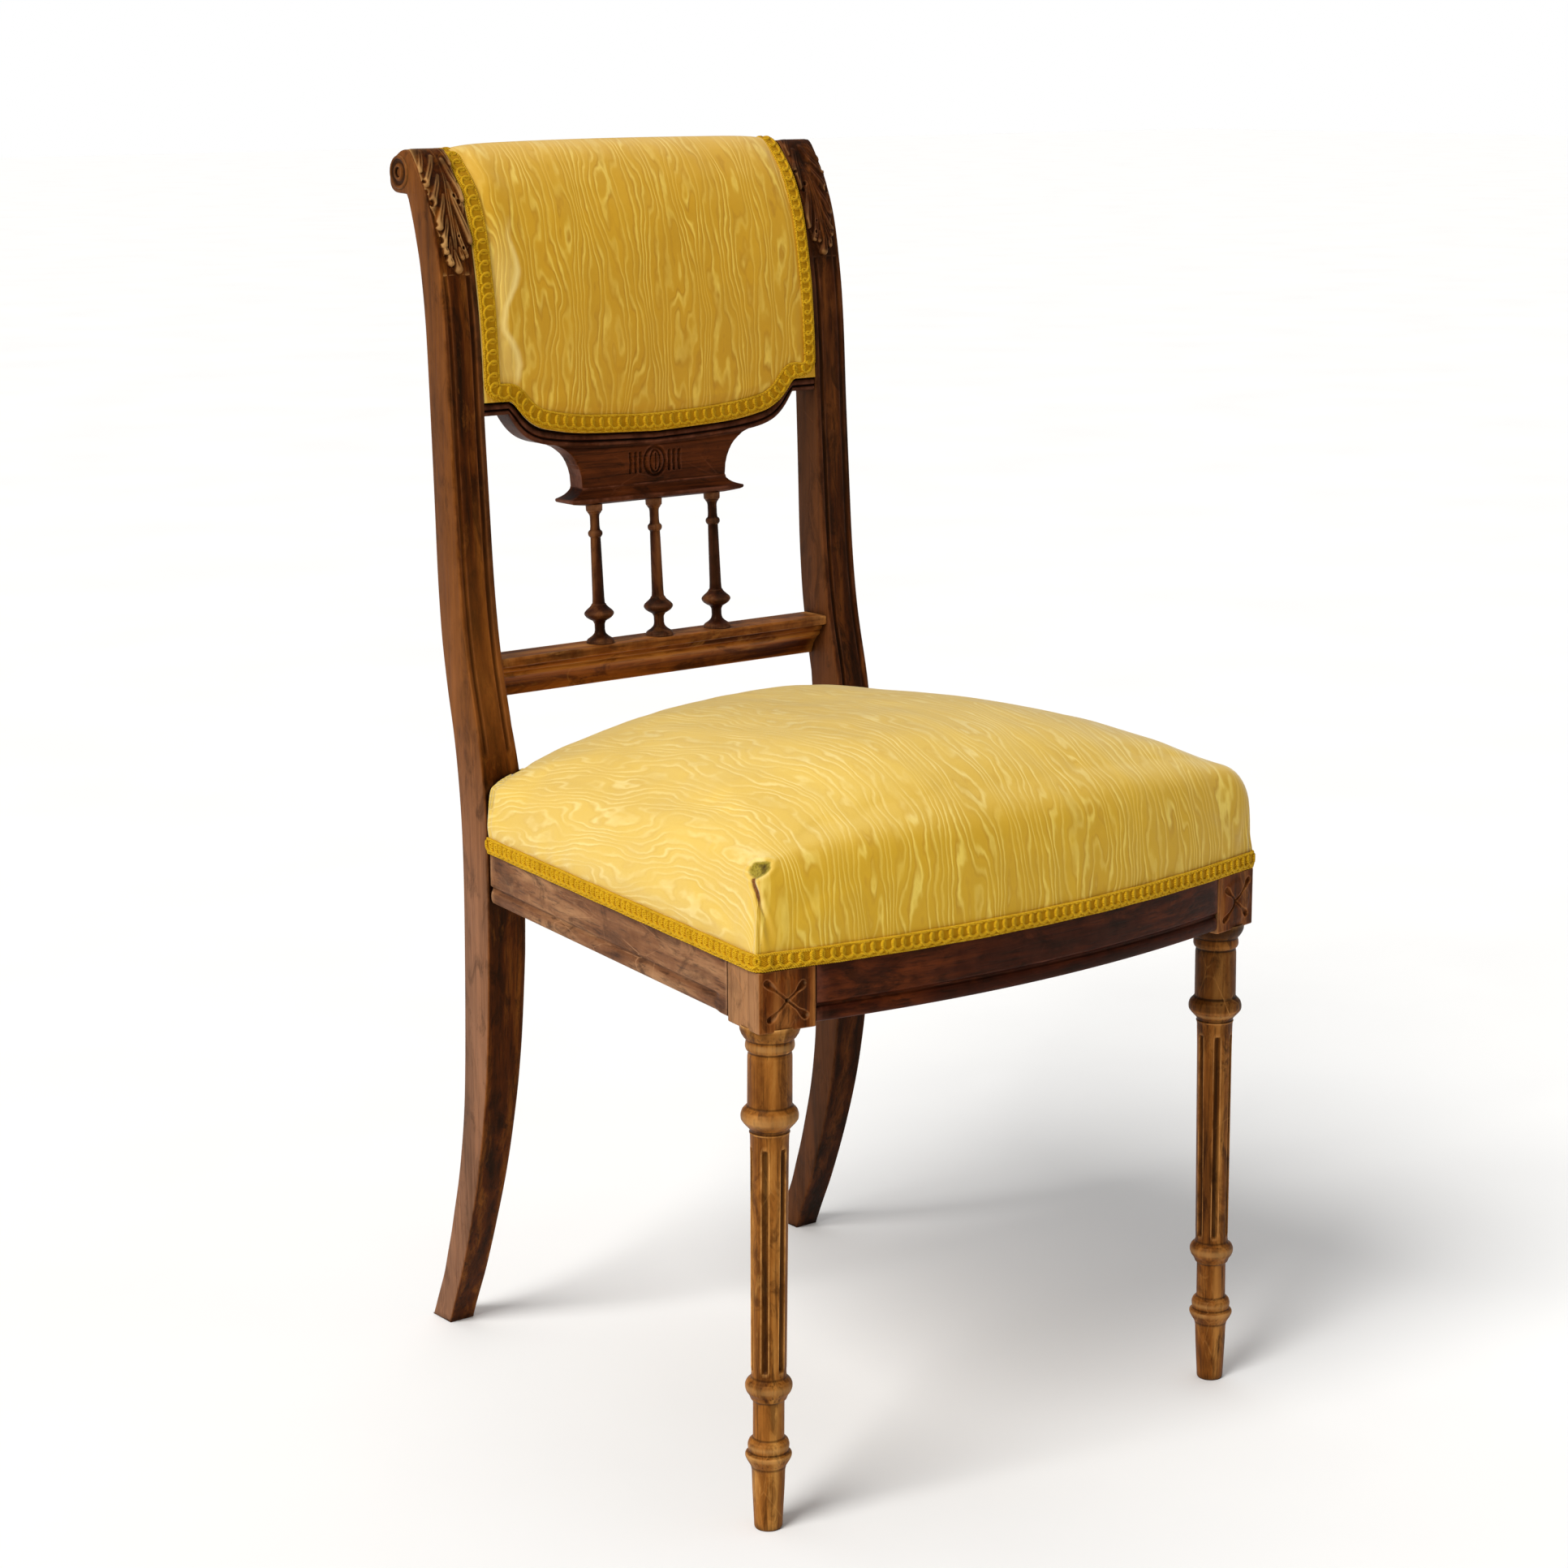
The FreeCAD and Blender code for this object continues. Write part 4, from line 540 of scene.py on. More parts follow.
# painted side light and sheen: the side rails get a paler, pinkish copy of the walnut for their sideways faces
RAIL_Y = wood("walnut_side_rail_lit", srgb(70, 40, 24), srgb(118, 76, 48), srgb(162, 118, 80), "Y", 0.55, 0.40, 3.7)
LEG_WOOD = wood("walnut_turned", srgb(78, 38, 8), srgb(146, 90, 34), srgb(194, 138, 68), "Z", 0.7, 0.34, 4.4, streak=0.45, carved=True)
LEG_WOOD_R = wood("walnut_turned_right", srgb(46, 20, 6), srgb(126, 73, 26), srgb(176, 120, 58), "Z", 0.7, 0.34, 4.9,
                  streak=0.45, carved=True)
BLOCK_WOOD = wood("walnut_block", srgb(50, 20, 4), srgb(104, 50, 12), srgb(154, 96, 44), "Z", 0.75, 0.40, 6.4,
                  side=srgb(146, 104, 68))
SPINDLE_WOOD = wood("walnut_spindle", srgb(22, 8, 4), srgb(58, 24, 9), srgb(114, 69, 36), "Z", 0.7, 0.34, 7.2)
CREST_WOOD = wood("walnut_shield", srgb(19, 6, 2), srgb(50, 17, 4), srgb(94, 44, 15), "X", 0.6, 0.36, 8.8)
BEECH = wood("beech_frame", srgb(140, 100, 62), srgb(178, 136, 92), srgb(205, 168, 122), "X", 0.2, 0.6, 9.1)
STEEL = steel("old_screw_steel")
SEAT_CLOTH = moire("moire_seat", srgb(231, 197, 98), srgb(249, 228, 152), srgb(206, 162, 56), 0.95, True)
BACK_CLOTH = moire("moire_back", srgb(234, 192, 92), srgb(252, 224, 138), srgb(200, 148, 42), 0.95, left_highlight=True)
REAR_CLOTH = moire("moire_outside_back", srgb(214, 170, 68), srgb(240, 206, 118), srgb(182, 130, 34), 0.8)
GIMP = thread("braid_yarn", srgb(206, 157, 14), srgb(152, 106, 3), srgb(232, 190, 50))
GIMP_LIGHT = thread("braid_cord", srgb(208, 160, 18), srgb(156, 110, 4), srgb(234, 194, 60))
GIMP_DARK = thread("braid_ground", srgb(188, 134, 8), srgb(134, 88, 2), srgb(214, 164, 28))
JUTE = woven("jute_strap", srgb(168, 132, 84), srgb(96, 70, 38), srgb(205, 176, 126), 0.0026)
SACKING = woven("hessian_weave", srgb(160, 128, 84), srgb(90, 66, 38), srgb(198, 168, 120), 0.0020)
LINING = woven("black_lining", srgb(60, 48, 38), srgb(30, 24, 18), srgb(90, 74, 58), 0.0012, ("X", "Z"))

# --------------------------------------------------------------- rear posts
POST = [
    (0.0, 448.8, 473.5), (25.5, 437.8, 461.6), (42.5, 430.1, 453.9), (59.5, 423.3, 448.0),
    (76.5, 416.9, 442.0), (93.5, 410.9, 436.8), (110.5, 405.4, 431.6), (127.5, 400.3, 426.7),
    (144.5, 395.8, 422.6), (161.5, 391.8, 419.3), (178.5, 388.3, 416.6), (212.5, 382.7, 413.2),
    (246.5, 379.1, 411.2), (280.5, 376.6, 409.7), (314.5, 374.8, 408.5), (348.5, 373.5, 407.6),
    (382.5, 372.8, 407.3), (416.5, 373.3, 408.3), (450.5, 376.2, 411.2), (488.8, 382.0, 417.0),
    (510.0, 387.0, 421.5), (531.3, 392.0, 425.3), (552.5, 395.9, 428.4), (573.8, 398.8, 430.4),
    (595.0, 401.0, 431.8), (637.5, 404.0, 433.2), (680.0, 406.7, 434.5), (722.5, 409.1, 436.1),
    (765.0, 411.2, 437.9), (786.3, 412.9, 439.2), (805.8, 415.1, 441.2), (820.3, 417.3, 443.2),
    (832.2, 419.3, 445.3), (843.2, 421.5, 448.0), (855.1, 424.6, 451.2), (865.7, 428.2, 454.5),
    (876.4, 432.7, 458.2),
]
TOP_FRONT = [(436.9, 884.9), (442.0, 892.1), (447.1, 900.2), (451.6, 906.6)]
NOSE = [(451.6, 906.6), (456.0, 910.6), (461.6, 911.6), (467.4, 910.4), (473.0, 907.6),
        (478.4, 904.0), (482.0, 898.3), (483.1, 890.0), (481.9, 884.6), (478.0, 881.2),
        (472.4, 879.9), (466.0, 879.6), (460.2, 879.2)]
FRONT_CURVE = cubic([(yf, z) for z, yf, yb in POST] + TOP_FRONT, step=1.6)
BACK_CURVE = cubic([(yb, z) for z, yf, yb in POST], step=1.6)
NOSE_CURVE = cubic(NOSE, step=1.1)


def inner_x(z):
    return interp(z, [0, 93, 178, 246, 314, 450, 489, 930], [162.1, 160.8, 157.8, 154.7, 152.6, 152.6, 155.5, 155.5])


def outer_x(z):
    return interp(z, [0, 150, 930], [184.5, 186.8, 186.8])


def offset_loop(p, d):
    t = np.roll(p, -1, 0) - np.roll(p, 1, 0)
    t /= np.maximum(np.linalg.norm(t, axis=1), 1e-9)[:, None]
    nrm = np.column_stack([-t[:, 1], t[:, 0]])
    return p + nrm * np.asarray(d)[..., None] if np.ndim(d) else p + nrm * d


def post_shell():
    """Loop of the side profile repeated across the width, with two stopped channels in the front."""
    fr = FRONT_CURVE[FRONT_CURVE[:, 1] <= 876.4]
    top = FRONT_CURVE[FRONT_CURVE[:, 1] > 876.4]
    bk = np.column_stack([interp(fr[:, 1], BACK_CURVE[:, 1], BACK_CURVE[:, 0]), fr[:, 1]])
    nose = NOSE_CURVE[1:]
    loop = np.vstack([fr, top, nose, bk[::-1]])
    nf, nt = len(fr), len(top) + len(nose)
    area = np.sum(loop[:, 0] * np.roll(loop[:, 1], -1) - np.roll(loop[:, 0], -1) * loop[:, 1])
    sign = 1.0 if area < 0 else -1.0       # positive offset goes outwards
    width = 31.3
    offs = [0, 0.22, 0.75, 1.5, 3.0, 4.4, 5.2, 5.9, 6.6, 7.3, 8.0, 8.8, 9.8, 12, 15, 18, 21, 23.2, 24.2, 24.9, 25.5,
            26.2, 26.9, 27.6, 28.6, 29.4, 29.8, 30.55, 31.08, 31.3]
    verts, tone = [], []
    isfront = np.zeros(len(loop), bool)
    isfront[:nf + len(top)] = True
    z = loop[:, 1]
    run = smooth(z, 466, 474) * (1 - smooth(z, 819, 826)) * isfront
    for o in offs:
        e = min(o, width - o)
        r = 1.5
        inset = r - math.sqrt(max(0.0, r * r - (r - e) ** 2)) if e < r else 0.0
        groove = 1.5 * max(0.0, 1 - ((o - 6.6) / 2.1) ** 2) + 1.2 * max(0.0, 1 - ((o - 26.0) / 1.9) ** 2)
        field = 0.35 * smooth(o, 6.6, 9.5) * (1 - smooth(o, 22.5, 26.0))
        d = -(inset + (groove + field) * run)
        p = offset_loop(loop, d * sign)
        x = inner_x(z) + o / width * (outer_x(z) - inner_x(z))
        verts.append(np.column_stack([x, p[:, 0], p[:, 1]]))
        # painted shade: the channels get a darker tone
        tone.append(0.5 - 0.15 * groove * run)
    n = len(loop)
    faces = grid(len(offs), n, wrap_v=True)
    for i in (0, len(offs) - 1):
        b = i * n
        for k in range(nf - 1):
            faces.append((b + k, b + k + 1, b + n - 2 - k, b + n - 1 - k))
        faces.append(tuple(b + k for k in range(nf - 1, nf + nt + 1)))
    return np.vstack(verts), faces, np.concatenate(tone)


# acanthus leaf: runs of (distance from the middle, distance along the front) with widths and heights
def arc_of(z):
    k = np.searchsorted(FRONT_CURVE[:, 1], z)
    return SLEN[min(k, len(SLEN) - 1)]


LEAF_CURVE = np.vstack([FRONT_CURVE, NOSE_CURVE[1:]])
SLEN = np.r_[0, np.cumsum(np.linalg.norm(np.diff(LEAF_CURVE, axis=0), axis=1))]
S_SHIFT = float(interp(876.4, FRONT_CURVE[:, 1], SLEN[:len(FRONT_CURVE)])) - 889.9
RIBS = [
    # run, half width at start and end, height at start and end
    ([(170.5, 934), (166.5, 918), (166.0, 908), (168.2, 896), (170.2, 876), (171.2, 852), (171.6, 843)], 2.3, 3.0, 1.6, 2.9),
    ([(163.5, 921), (161.2, 911), (159.2, 901), (157.6, 893), (156.9, 888.5)], 3.2, 2.6, 2.4, 3.9),
    ([(165.6, 902), (164.8, 889), (162.6, 877), (159.8, 866), (157.6, 857.5)], 2.6, 3.1, 2.0, 4.1),
    ([(167.2, 876), (166.8, 864), (165.2, 855), (163.4, 848.5)], 2.0, 2.7, 1.9, 3.5),
    ([(171.5, 924), (176.0, 914), (180.2, 907), (183.4, 901)], 3.2, 2.7, 2.2, 3.3),
    ([(171.5, 908), (175.8, 899), (179.6, 892), (181.6, 887)], 2.8, 3.1, 2.0, 3.6),
    ([(172.2, 892), (175.8, 882), (179.4, 874), (180.9, 868)], 2.7, 3.1, 2.0, 3.7),
    ([(173.4, 876), (176.0, 867), (178.6, 860), (179.6, 854.5)], 2.4, 2.9, 2.0, 3.8),
    ([(173.8, 860), (175.4, 852), (176.8, 845.4)], 2.2, 2.8, 2.2, 3.8),
    ([(179.4, 853.0), (178.8, 849.8)], 2.3, 2.4, 3.4, 4.2),
    ([(177.0, 846.0), (176.0, 841.6)], 2.6, 2.7, 3.7, 4.6),
    ([(172.6, 850), (171.4, 843), (170.2, 837.0)], 2.8, 3.5, 3.0, 4.9),
    ([(167.6, 852), (166.4, 845.5)], 2.2, 2.6, 2.8, 4.0),
    ([(163.2, 850), (162.4, 846.5)], 1.9, 2.2, 2.8, 3.6),
    ([(178.0, 932), (180.5, 923), (184.2, 913)], 3.3, 2.6, 1.6, 2.5),
    ([(164.0, 936), (159.8, 928), (157.6, 918)], 3.0, 2.4, 1.6, 2.6),
]
EYES = [(184.4, 903.2, 1.5, 3.6), (184.8, 895.6, 1.3, 3.4), (183.0, 886.6, 2.1, 4.8), (183.8, 870.4, 1.6, 4.2),
        (181.6, 858.6, 2.1, 4.8), (179.6, 846.0, 1.5, 3.6), (160.4, 886.8, 1.5, 4.2), (164.3, 852.2, 1.1, 3.0),
        (163.2, 891.5, 1.3, 3.8), (157.6, 901.5, 1.1, 2.6), (166.5, 861.0, 0.9, 2.4)]
OUT_S = [833.5, 836, 841, 846, 851, 857, 866, 875, 884, 892, 900, 912, 926, 942]
OUT_LO = [169.6, 167.4, 165.4, 161.8, 160.6, 156.6, 156.4, 159.2, 156.4, 156.0, 156.6, 156.3, 156.3, 156.3]
OUT_HI = [171.6, 173.6, 178.6, 180.2, 181.6, 180.8, 183.4, 182.4, 184.6, 183.8, 185.8, 185.9, 185.9, 185.9]


def leaf_height(x, s):
    ins = np.minimum(x - interp(s, OUT_S, OUT_LO), interp(s, OUT_S, OUT_HI) - x)
    ins = np.minimum(ins, (s - 833.8))
    base = np.where(ins > 0, 0.9 + 0.5 * smooth(ins, 0, 4), -1.6 + 2.5 * smooth(ins, -0.9, 0))
    # the blade dips between its ribs
    h = base.copy()
    for run, w0, w1, h0, h1 in RIBS:
        p = cubic(run, n=90)
        tt = np.linspace(0, 1, len(p))
        best = np.full(x.shape, 1e9)
        bt = np.zeros(x.shape)
        for k in range(len(p)):
            d = np.hypot(x - p[k, 0], s - p[k, 1])
            m = d < best
            best = np.where(m, d, best)
            bt = np.where(m, tt[k], bt)
        w = w0 + (w1 - w0) * bt
        hh = h0 + (h1 - h0) * bt
        rib = hh * np.clip(1 - (best / (w * 1.05)) ** 2.6, 0, 1) ** 0.6 - 0.2
        crease = 0.5 * np.exp(-(best / 0.5) ** 2) * smooth(bt, 0.1, 0.4) * (1 - smooth(bt, 0.75, 0.95))
        h = np.maximum(h, rib - crease * (rib > 0))
    for ex, es, r, dep in EYES:
        d = np.hypot(x - ex, (s - es) * 0.8)
        h = h - dep * np.exp(-(d / (r * 0.85)) ** 4)
    fade = 1 - smooth(s, 931, 941)
    return np.maximum(h, -1.8) * fade - 1.4 * (1 - fade)


def leaf_shell():
    nx, ns = 66, 215
    xs = np.linspace(155.9, 186.4, nx)
    ss = np.linspace(831.5, 941.5, ns)
    yy = interp(ss + S_SHIFT, SLEN, LEAF_CURVE[:, 0])
    zz = interp(ss + S_SHIFT, SLEN, LEAF_CURVE[:, 1])
    ty, tz = np.gradient(yy), np.gradient(zz)
    ln = np.hypot(ty, tz)
    ny, nz = -tz / ln, ty / ln
    k = np.ones(9) / 9.0
    ny = np.convolve(np.pad(ny, 4, "edge"), k, "valid")
    nz = np.convolve(np.pad(nz, 4, "edge"), k, "valid")
    X, S = np.meshgrid(xs, ss, indexing="ij")
    h = leaf_height(X, S)
    # sinks at the edges of the patch
    e = np.minimum(smooth(X, 155.9, 156.8), 1 - smooth(X, 185.6, 186.4)) * smooth(S, 831.5, 833.0)
    h = h * e - 1.6 * (1 - e)
    top = np.stack([X, yy[None, :] + ny * h, zz[None, :] + nz * h], -1).reshape(-1, 3)
    low = np.stack([X, yy + ny * np.full_like(h, -3.0), zz + nz * np.full_like(h, -3.0)], -1).reshape(-1, 3)
    verts = np.vstack([top, low])
    # how far each point stands over the mean of its surroundings
    mean = h.copy()
    for _ in range(26):
        q = np.pad(mean, 1, "edge")
        mean = (q[1:-1, 1:-1] * 2 + q[:-2, 1:-1] + q[2:, 1:-1] + q[1:-1, :-2] + q[1:-1, 2:]) / 6.0
    carve = np.r_[np.clip(0.5 + (h - mean) / 2.2, 0, 1).ravel(), np.zeros(nx * ns)]
    n = nx * ns
    faces = grid(nx, ns) + [tuple(i + n for i in f[::-1]) for f in grid(nx, ns)]
    rim = [i * ns for i in range(nx)] + [(nx - 1) * ns + j for j in range(1, ns)] + \
          [i * ns + ns - 1 for i in range(nx - 2, -1, -1)] + [j for j in range(ns - 2, 0, -1)]
    for a, b in zip(rim, rim[1:] + rim[:1]):
        faces.append((a, b, b + n, a + n))
    return verts, faces, carve


def scroll_roundel():
    """Turned eye on the outer side of the scroll: rim, hollow and drilled boss."""
    prof = [(-2.0, 12.6), (0.3, 12.6), (1.3, 12.2), (1.9, 11.2), (1.7, 10.2), (0.7, 9.2), (0.45, 8.2), (0.6, 7.2),
            (1.4, 6.2), (2.1, 5.2), (2.2, 4.4), (1.6, 3.6), (0.2, 3.2), (-0.4, 2.6), (-0.5, 1.2)]
    prof = softened(prof, 0.5, 2, closed=False)
    v, f = lathe(prof, 64)
    return np.column_stack([186.4 + v[:, 2], 468.9 + v[:, 0] * 1.0, 895.0 + v[:, 1]]), f


*shell, shell_tone = post_shell()
*leafs, leaf_tone = leaf_shell()
roundel = scroll_roundel()
rr = np.hypot(roundel[0][:, 1] - 468.9, roundel[0][:, 2] - 895.0)
# painted shade and highlight: the roundel's hollow and eye get a dark tone, its rims a light one
roundel_tone = interp(rr, [0, 3.2, 3.8, 4.8, 6.0, 7.2, 9.2, 10.4, 12.6], [0.0, 0.02, 0.35, 0.62, 0.45, 0.12, 0.12, 0.5, 0.64])
for side, s in (("left", -1.0), ("right", 1.0)):
    p = Parts()
    for v, f in (shell, leafs, roundel):
        p.add(v * np.array([s, 1, 1]), f)
    post = piece("post_" + side, p.verts(), p.f, POST_WOOD if side == "left" else POST_WOOD_SHADED, ("rear_post_" + side,),
                 sharp=42)
    # left leaf tone lifted for painted highlights; right leaf flattened and darker, painted shade
    tone = np.r_[shell_tone, np.clip(leaf_tone + 0.07, 0, 1) if side == "left" else 0.47 + (leaf_tone - 0.5) * 0.42, roundel_tone]
    att = post.data.attributes.new("carve", "FLOAT", "POINT")
    att.data.foreach_set("value", tone.astype(np.float32))

# --------------------------------------------------------------- front legs
LEG = [
    (0.0, 8.9), (0.9, 9.6), (29, 11.0), (42, 11.4), (45.5, 12.2), (49.5, 14.6), (52.3, 15.9), (54.2, 15.9),
    (55.2, 14.0), (56, 13.2), (57.5, 14.0), (60.5, 14.3), (63.3, 13.4), (65.3, 11.2), (66.5, 10.7), (90, 10.7),
    (92.2, 10.8), (93.2, 12.2), (96.5, 13.4), (98.8, 15.2), (101.5, 16.1), (104, 16.1), (106.5, 15.0),
    (108.5, 12.6), (111, 11.9), (262, 12.7), (278, 13.1), (280, 13.2), (281.5, 13.9), (282.2, 13.2), (283, 13.2),
    (284.6, 14.3), (288, 17.5), (290.5, 19.3), (293.5, 19.5), (296.5, 18.6), (299, 16.2), (300.5, 15.1),
    (334, 15.0), (336.2, 14.6), (337.4, 14.6), (338.5, 16.0), (340.5, 16.6), (343, 16.4), (345.5, 15.8),
    (346.5, 17.2), (349.5, 19.2), (352.5, 20.3), (356.5, 20.3),
]
SPLAY = math.tan(math.radians(0.695))


def turned_leg(side):
    s = -1.0 if side == "left" else 1.0
    alpha = math.radians(9.0 if s < 0 else 25.4)
    prof = softened(LEG, 0.9, 3, closed=False)
    rows = [prof[0]]
    for a, b in zip(prof, prof[1:]):
        m = max(1, int(math.ceil(abs(b[0] - a[0]) / 2.0)))
        for k in range(1, m + 1):
            rows.append(a + (b - a) * k / m)

    def shape(h, r, ang):
        rel = (ang - (alpha - math.pi / 2) + math.pi / 6) % (math.pi / 3) - math.pi / 6
        w = 2.4
        zc = max(114.0 + w - h, h - (271.5 - w), 0.0)
        d = np.hypot(rel * r, zc)
        dep = 2.3 * np.sqrt(np.clip(1 - (d / w) ** 2, 0, 1))
        lip = 0.18 * np.exp(-((d - w - 0.35) / 0.4) ** 2) if 108 < h < 277 else 0.0
        return r - dep + lip

    v, f = lathe([tuple(q) for q in rows], 168, shape)
    # painted light and shade in the carve tone: flutes and the steps between mouldings darker, beads lighter as painted
    # highlight, and a darker band under the block, and high on the right leg, as painted shade
    tone = []
    for h, r in rows:
        rel = (np.arange(168) * 2 * math.pi / 168 - (alpha - math.pi / 2) + math.pi / 6) % (math.pi / 3) - math.pi / 6
        zc = max(114.0 + 2.4 - h, h - (271.5 - 2.4), 0.0)
        d = np.hypot(rel * r, zc)
        bead = max(math.exp(-((h - c) / k) ** 2) for c, k in ((53.2, 2.2), (60.0, 2.0), (102.5, 3.0), (292.0 if s < 0 else 287.0, 5.0 if s < 0 else 2.0), (342.0, 3.0)))
        step_shade = max(math.exp(-((h - c) / 0.8) ** 2) for c in (56.0, 65.8, 109.6, 282.6, 284.2, 300.2, 337.0, 345.6, 93.0, 45.0))
        under_block_shade = 0.16 * smooth(h, 344, 350) + (0.21 * smooth(h, 289, 293) if s > 0 else 0.0)
        tone.append(0.5 - 0.36 * np.clip(1.25 - d / 2.4, 0, 1) + 0.22 * bead - 0.34 * step_shade - under_block_shade)
    tone = np.r_[np.concatenate(tone), 0.5, 0.5]
    out = np.column_stack([s * 205.7 + v[:, 0] + s * SPLAY * (354.6 - v[:, 2]), v[:, 1], v[:, 2]])
    return out, f, tone


PLAN = [(184.6, -22.8), (227.0, -15.8), (222.9, 24.0), (176.26, 17.34)]     # FI FO BO BI


def patera(a, b):
    """Depth of the carving at a, b from the middle of the face."""
    out = np.zeros(a.shape)
    bulge = np.zeros(a.shape)
    for sx, sz, ln in ((-1, 1, 16.5), (1, 1, 21.5), (1, -1, 18.5), (-1, -1, 19.0)):
        d = np.array([sx * 0.745, sz * 0.667])
        t = a * d[0] + b * d[1]
        q = np.abs(-a * d[1] + b * d[0])
        k = np.clip(t / ln, 0, 1)
        w = 0.75 + 1.35 * smooth(k, 0.45, 0.85)
        beyond = np.maximum(t - (ln - w * 0.6), 0)
        dist = np.hypot(q, beyond)
        g = (0.9 + 1.3 * smooth(k, 0.4, 0.9)) * np.clip(1 - (dist / (w * 1.25)) ** 2, 0, 1)
        out = np.maximum(out, np.where(t > -0.2, g, 0))
    r = np.hypot(a, b)
    petal = 0.75 * smooth(r, 1.5, 6) * (1 - smooth(r, 13.5, 18.5))
    ring = 0.55 * np.exp(-((r - 19.2) / 0.9) ** 2) * 0
    out = np.maximum(out, 2.3 * np.exp(-(r / 1.5) ** 4))
    return out - petal + ring


def block_shell(side):
    s = -1.0 if side == "left" else 1.0
    lx, ly, lz = 42.9, 40.5, 42.4
    nx, ny, nz = 88, 26, 86
    r = 1.3
    pts, faces = [], []

    def face(nu, nv, fn):
        base = sum(len(q) for q in pts)
        u, v = np.meshgrid(np.linspace(0, 1, nu), np.linspace(0, 1, nv), indexing="ij")
        q = np.stack(fn(u, v), -1).reshape(-1, 3)
        pts.append(q)
        faces.extend(grid(nu, nv, base=base))

    o, i1 = (lambda a: np.zeros_like(a)), (lambda a: np.ones_like(a))
    face(nx, nz, lambda u, v: (u * lx, o(u), v * lz))
    face(nx, nz, lambda u, v: (u * lx, i1(u) * ly, v * lz))
    face(ny, nz, lambda u, v: (o(u), u * ly, v * lz))
    face(ny, nz, lambda u, v: (i1(u) * lx, u * ly, v * lz))
    face(nx, ny, lambda u, v: (u * lx, v * ly, o(u)))
    face(nx, ny, lambda u, v: (u * lx, v * ly, i1(u) * lz))
    q = np.vstack(pts)
    lo, hi = np.array([r, r, r]), np.array([lx - r, ly - r, lz - r])
    c = np.clip(q, lo, hi)
    d = q - c
    dn = np.linalg.norm(d, axis=1)
    p = c + r * d / np.maximum(dn, 1e-9)[:, None]
    front = q[:, 1] < 1e-6
    a, b = q[:, 0] - lx * 0.5, q[:, 2] - lz * 0.49
    edge = np.minimum(np.minimum(q[:, 0], lx - q[:, 0]), np.minimum(q[:, 2], lz - q[:, 2]))
    p[:, 1] += np.where(front, patera(a, b) * smooth(edge, 0.8, 2.0), 0)
    u, v = p[:, 0] / lx, p[:, 1] / ly
    fi, fo, bo, bi = [np.array(k) for k in PLAN]
    xy = (1 - v)[:, None] * ((1 - u)[:, None] * fi + u[:, None] * fo) + v[:, None] * ((1 - u)[:, None] * bi + u[:, None] * bo)
    out = np.column_stack([s * xy[:, 0], xy[:, 1], 354.6 + p[:, 2]])
    return out, faces


def rebate_shell(side):
    """The block's upper part, under the upholstery."""
    s = -1.0 if side == "left" else 1.0
    quad = [(183.7, -18.3), (222.5, -11.3), (219.0, 23.2), (176.26, 17.3)]
    v, f = [], []
    for z, g in ((395.0, 0), (411.2, 0), (412.0, 0.8)):
        c = np.mean(quad, axis=0)
        v += [(s * (x - g * np.sign(x - c[0])), y - g * np.sign(y - c[1]), z) for x, y in quad]
    f = grid(3, 4, wrap_v=True) + [(3, 2, 1, 0), (8, 9, 10, 11)]
    return np.array(v, float), f


def weld(ob, dist=1e-5):
    bm = bmesh.new()
    bm.from_mesh(ob.data)
    bmesh.ops.remove_doubles(bm, verts=bm.verts, dist=dist)
    bmesh.ops.recalc_face_normals(bm, faces=bm.faces)
    bm.to_mesh(ob.data)
    bm.free()


for side in ("left", "right"):
    v, f, tone = turned_leg(side)
    leg = piece("leg_turning_" + side, v, f, LEG_WOOD if side == "left" else LEG_WOOD_R, ("front_leg_" + side,), sharp=50)
    att = leg.data.attributes.new("carve", "FLOAT", "POINT")
    att.data.foreach_set("value", tone.astype(np.float32))
    p = Parts()
    p.add(*block_shell(side))
    p.add(*rebate_shell(side))
    blk = piece("leg_block_" + side, p.verts(), p.f, BLOCK_WOOD, (), sharp=0)
    weld(blk)
    blk.data.set_sharp_from_angle(angle=math.radians(48))

# ------------------------------------------------------------- seat rails
FR, FCY = 906.3, -41.0 + 906.3
FA = math.radians(11.742)


def side_x(y):
    return 222.9 - 0.11105 * (y - 24.0)


def front_line(x):
    return -41.6 + 5.4e-4 * x * x


def swept(sections):
    """A closed shell through closed loops of equal length, with flat ends."""
    m, n = len(sections), len(sections[0])
    v = np.vstack(sections)
    f = grid(m, n, wrap_v=True)
    f.append(tuple(range(n - 1, -1, -1)))
    f.append(tuple(range((m - 1) * n, m * n)))
    return v, f


# bowed front rail: inset from the face and height; a flat field over a bead
sec = [(3.6, 357.1), (1.4, 357.3), (0.35, 358.9), (0.0, 361.8), (0.35, 364.8), (1.2, 366.6), (2.3, 367.5), (2.5, 369.0),
       (1.0, 370.2), (0.0, 371.2), (0.0, 396.4), (0.6, 397.0), (3.0, 397.0), (3.0, 412.0), (22.0, 412.0), (22.0, 357.1)]
loop = softened(sec, [0.6, 1.0, 1.0, 1.5, 1.2, 0.8, 0.5, 0.5, 0.6, 0.8, 0.5, 0.3, 0.2, 0.6, 1.0, 1.0], 3)
rows = []
for a in np.linspace(-FA + 0.0006, FA - 0.0006, 73):
    rad = FR - loop[:, 0]
    rows.append(np.column_stack([rad * math.sin(a), FCY - rad * math.cos(a), loop[:, 1]]))
v, f = swept(rows)
piece("front_rail", v, f, RAIL_X, ("front_seat_rail",), sharp=40)

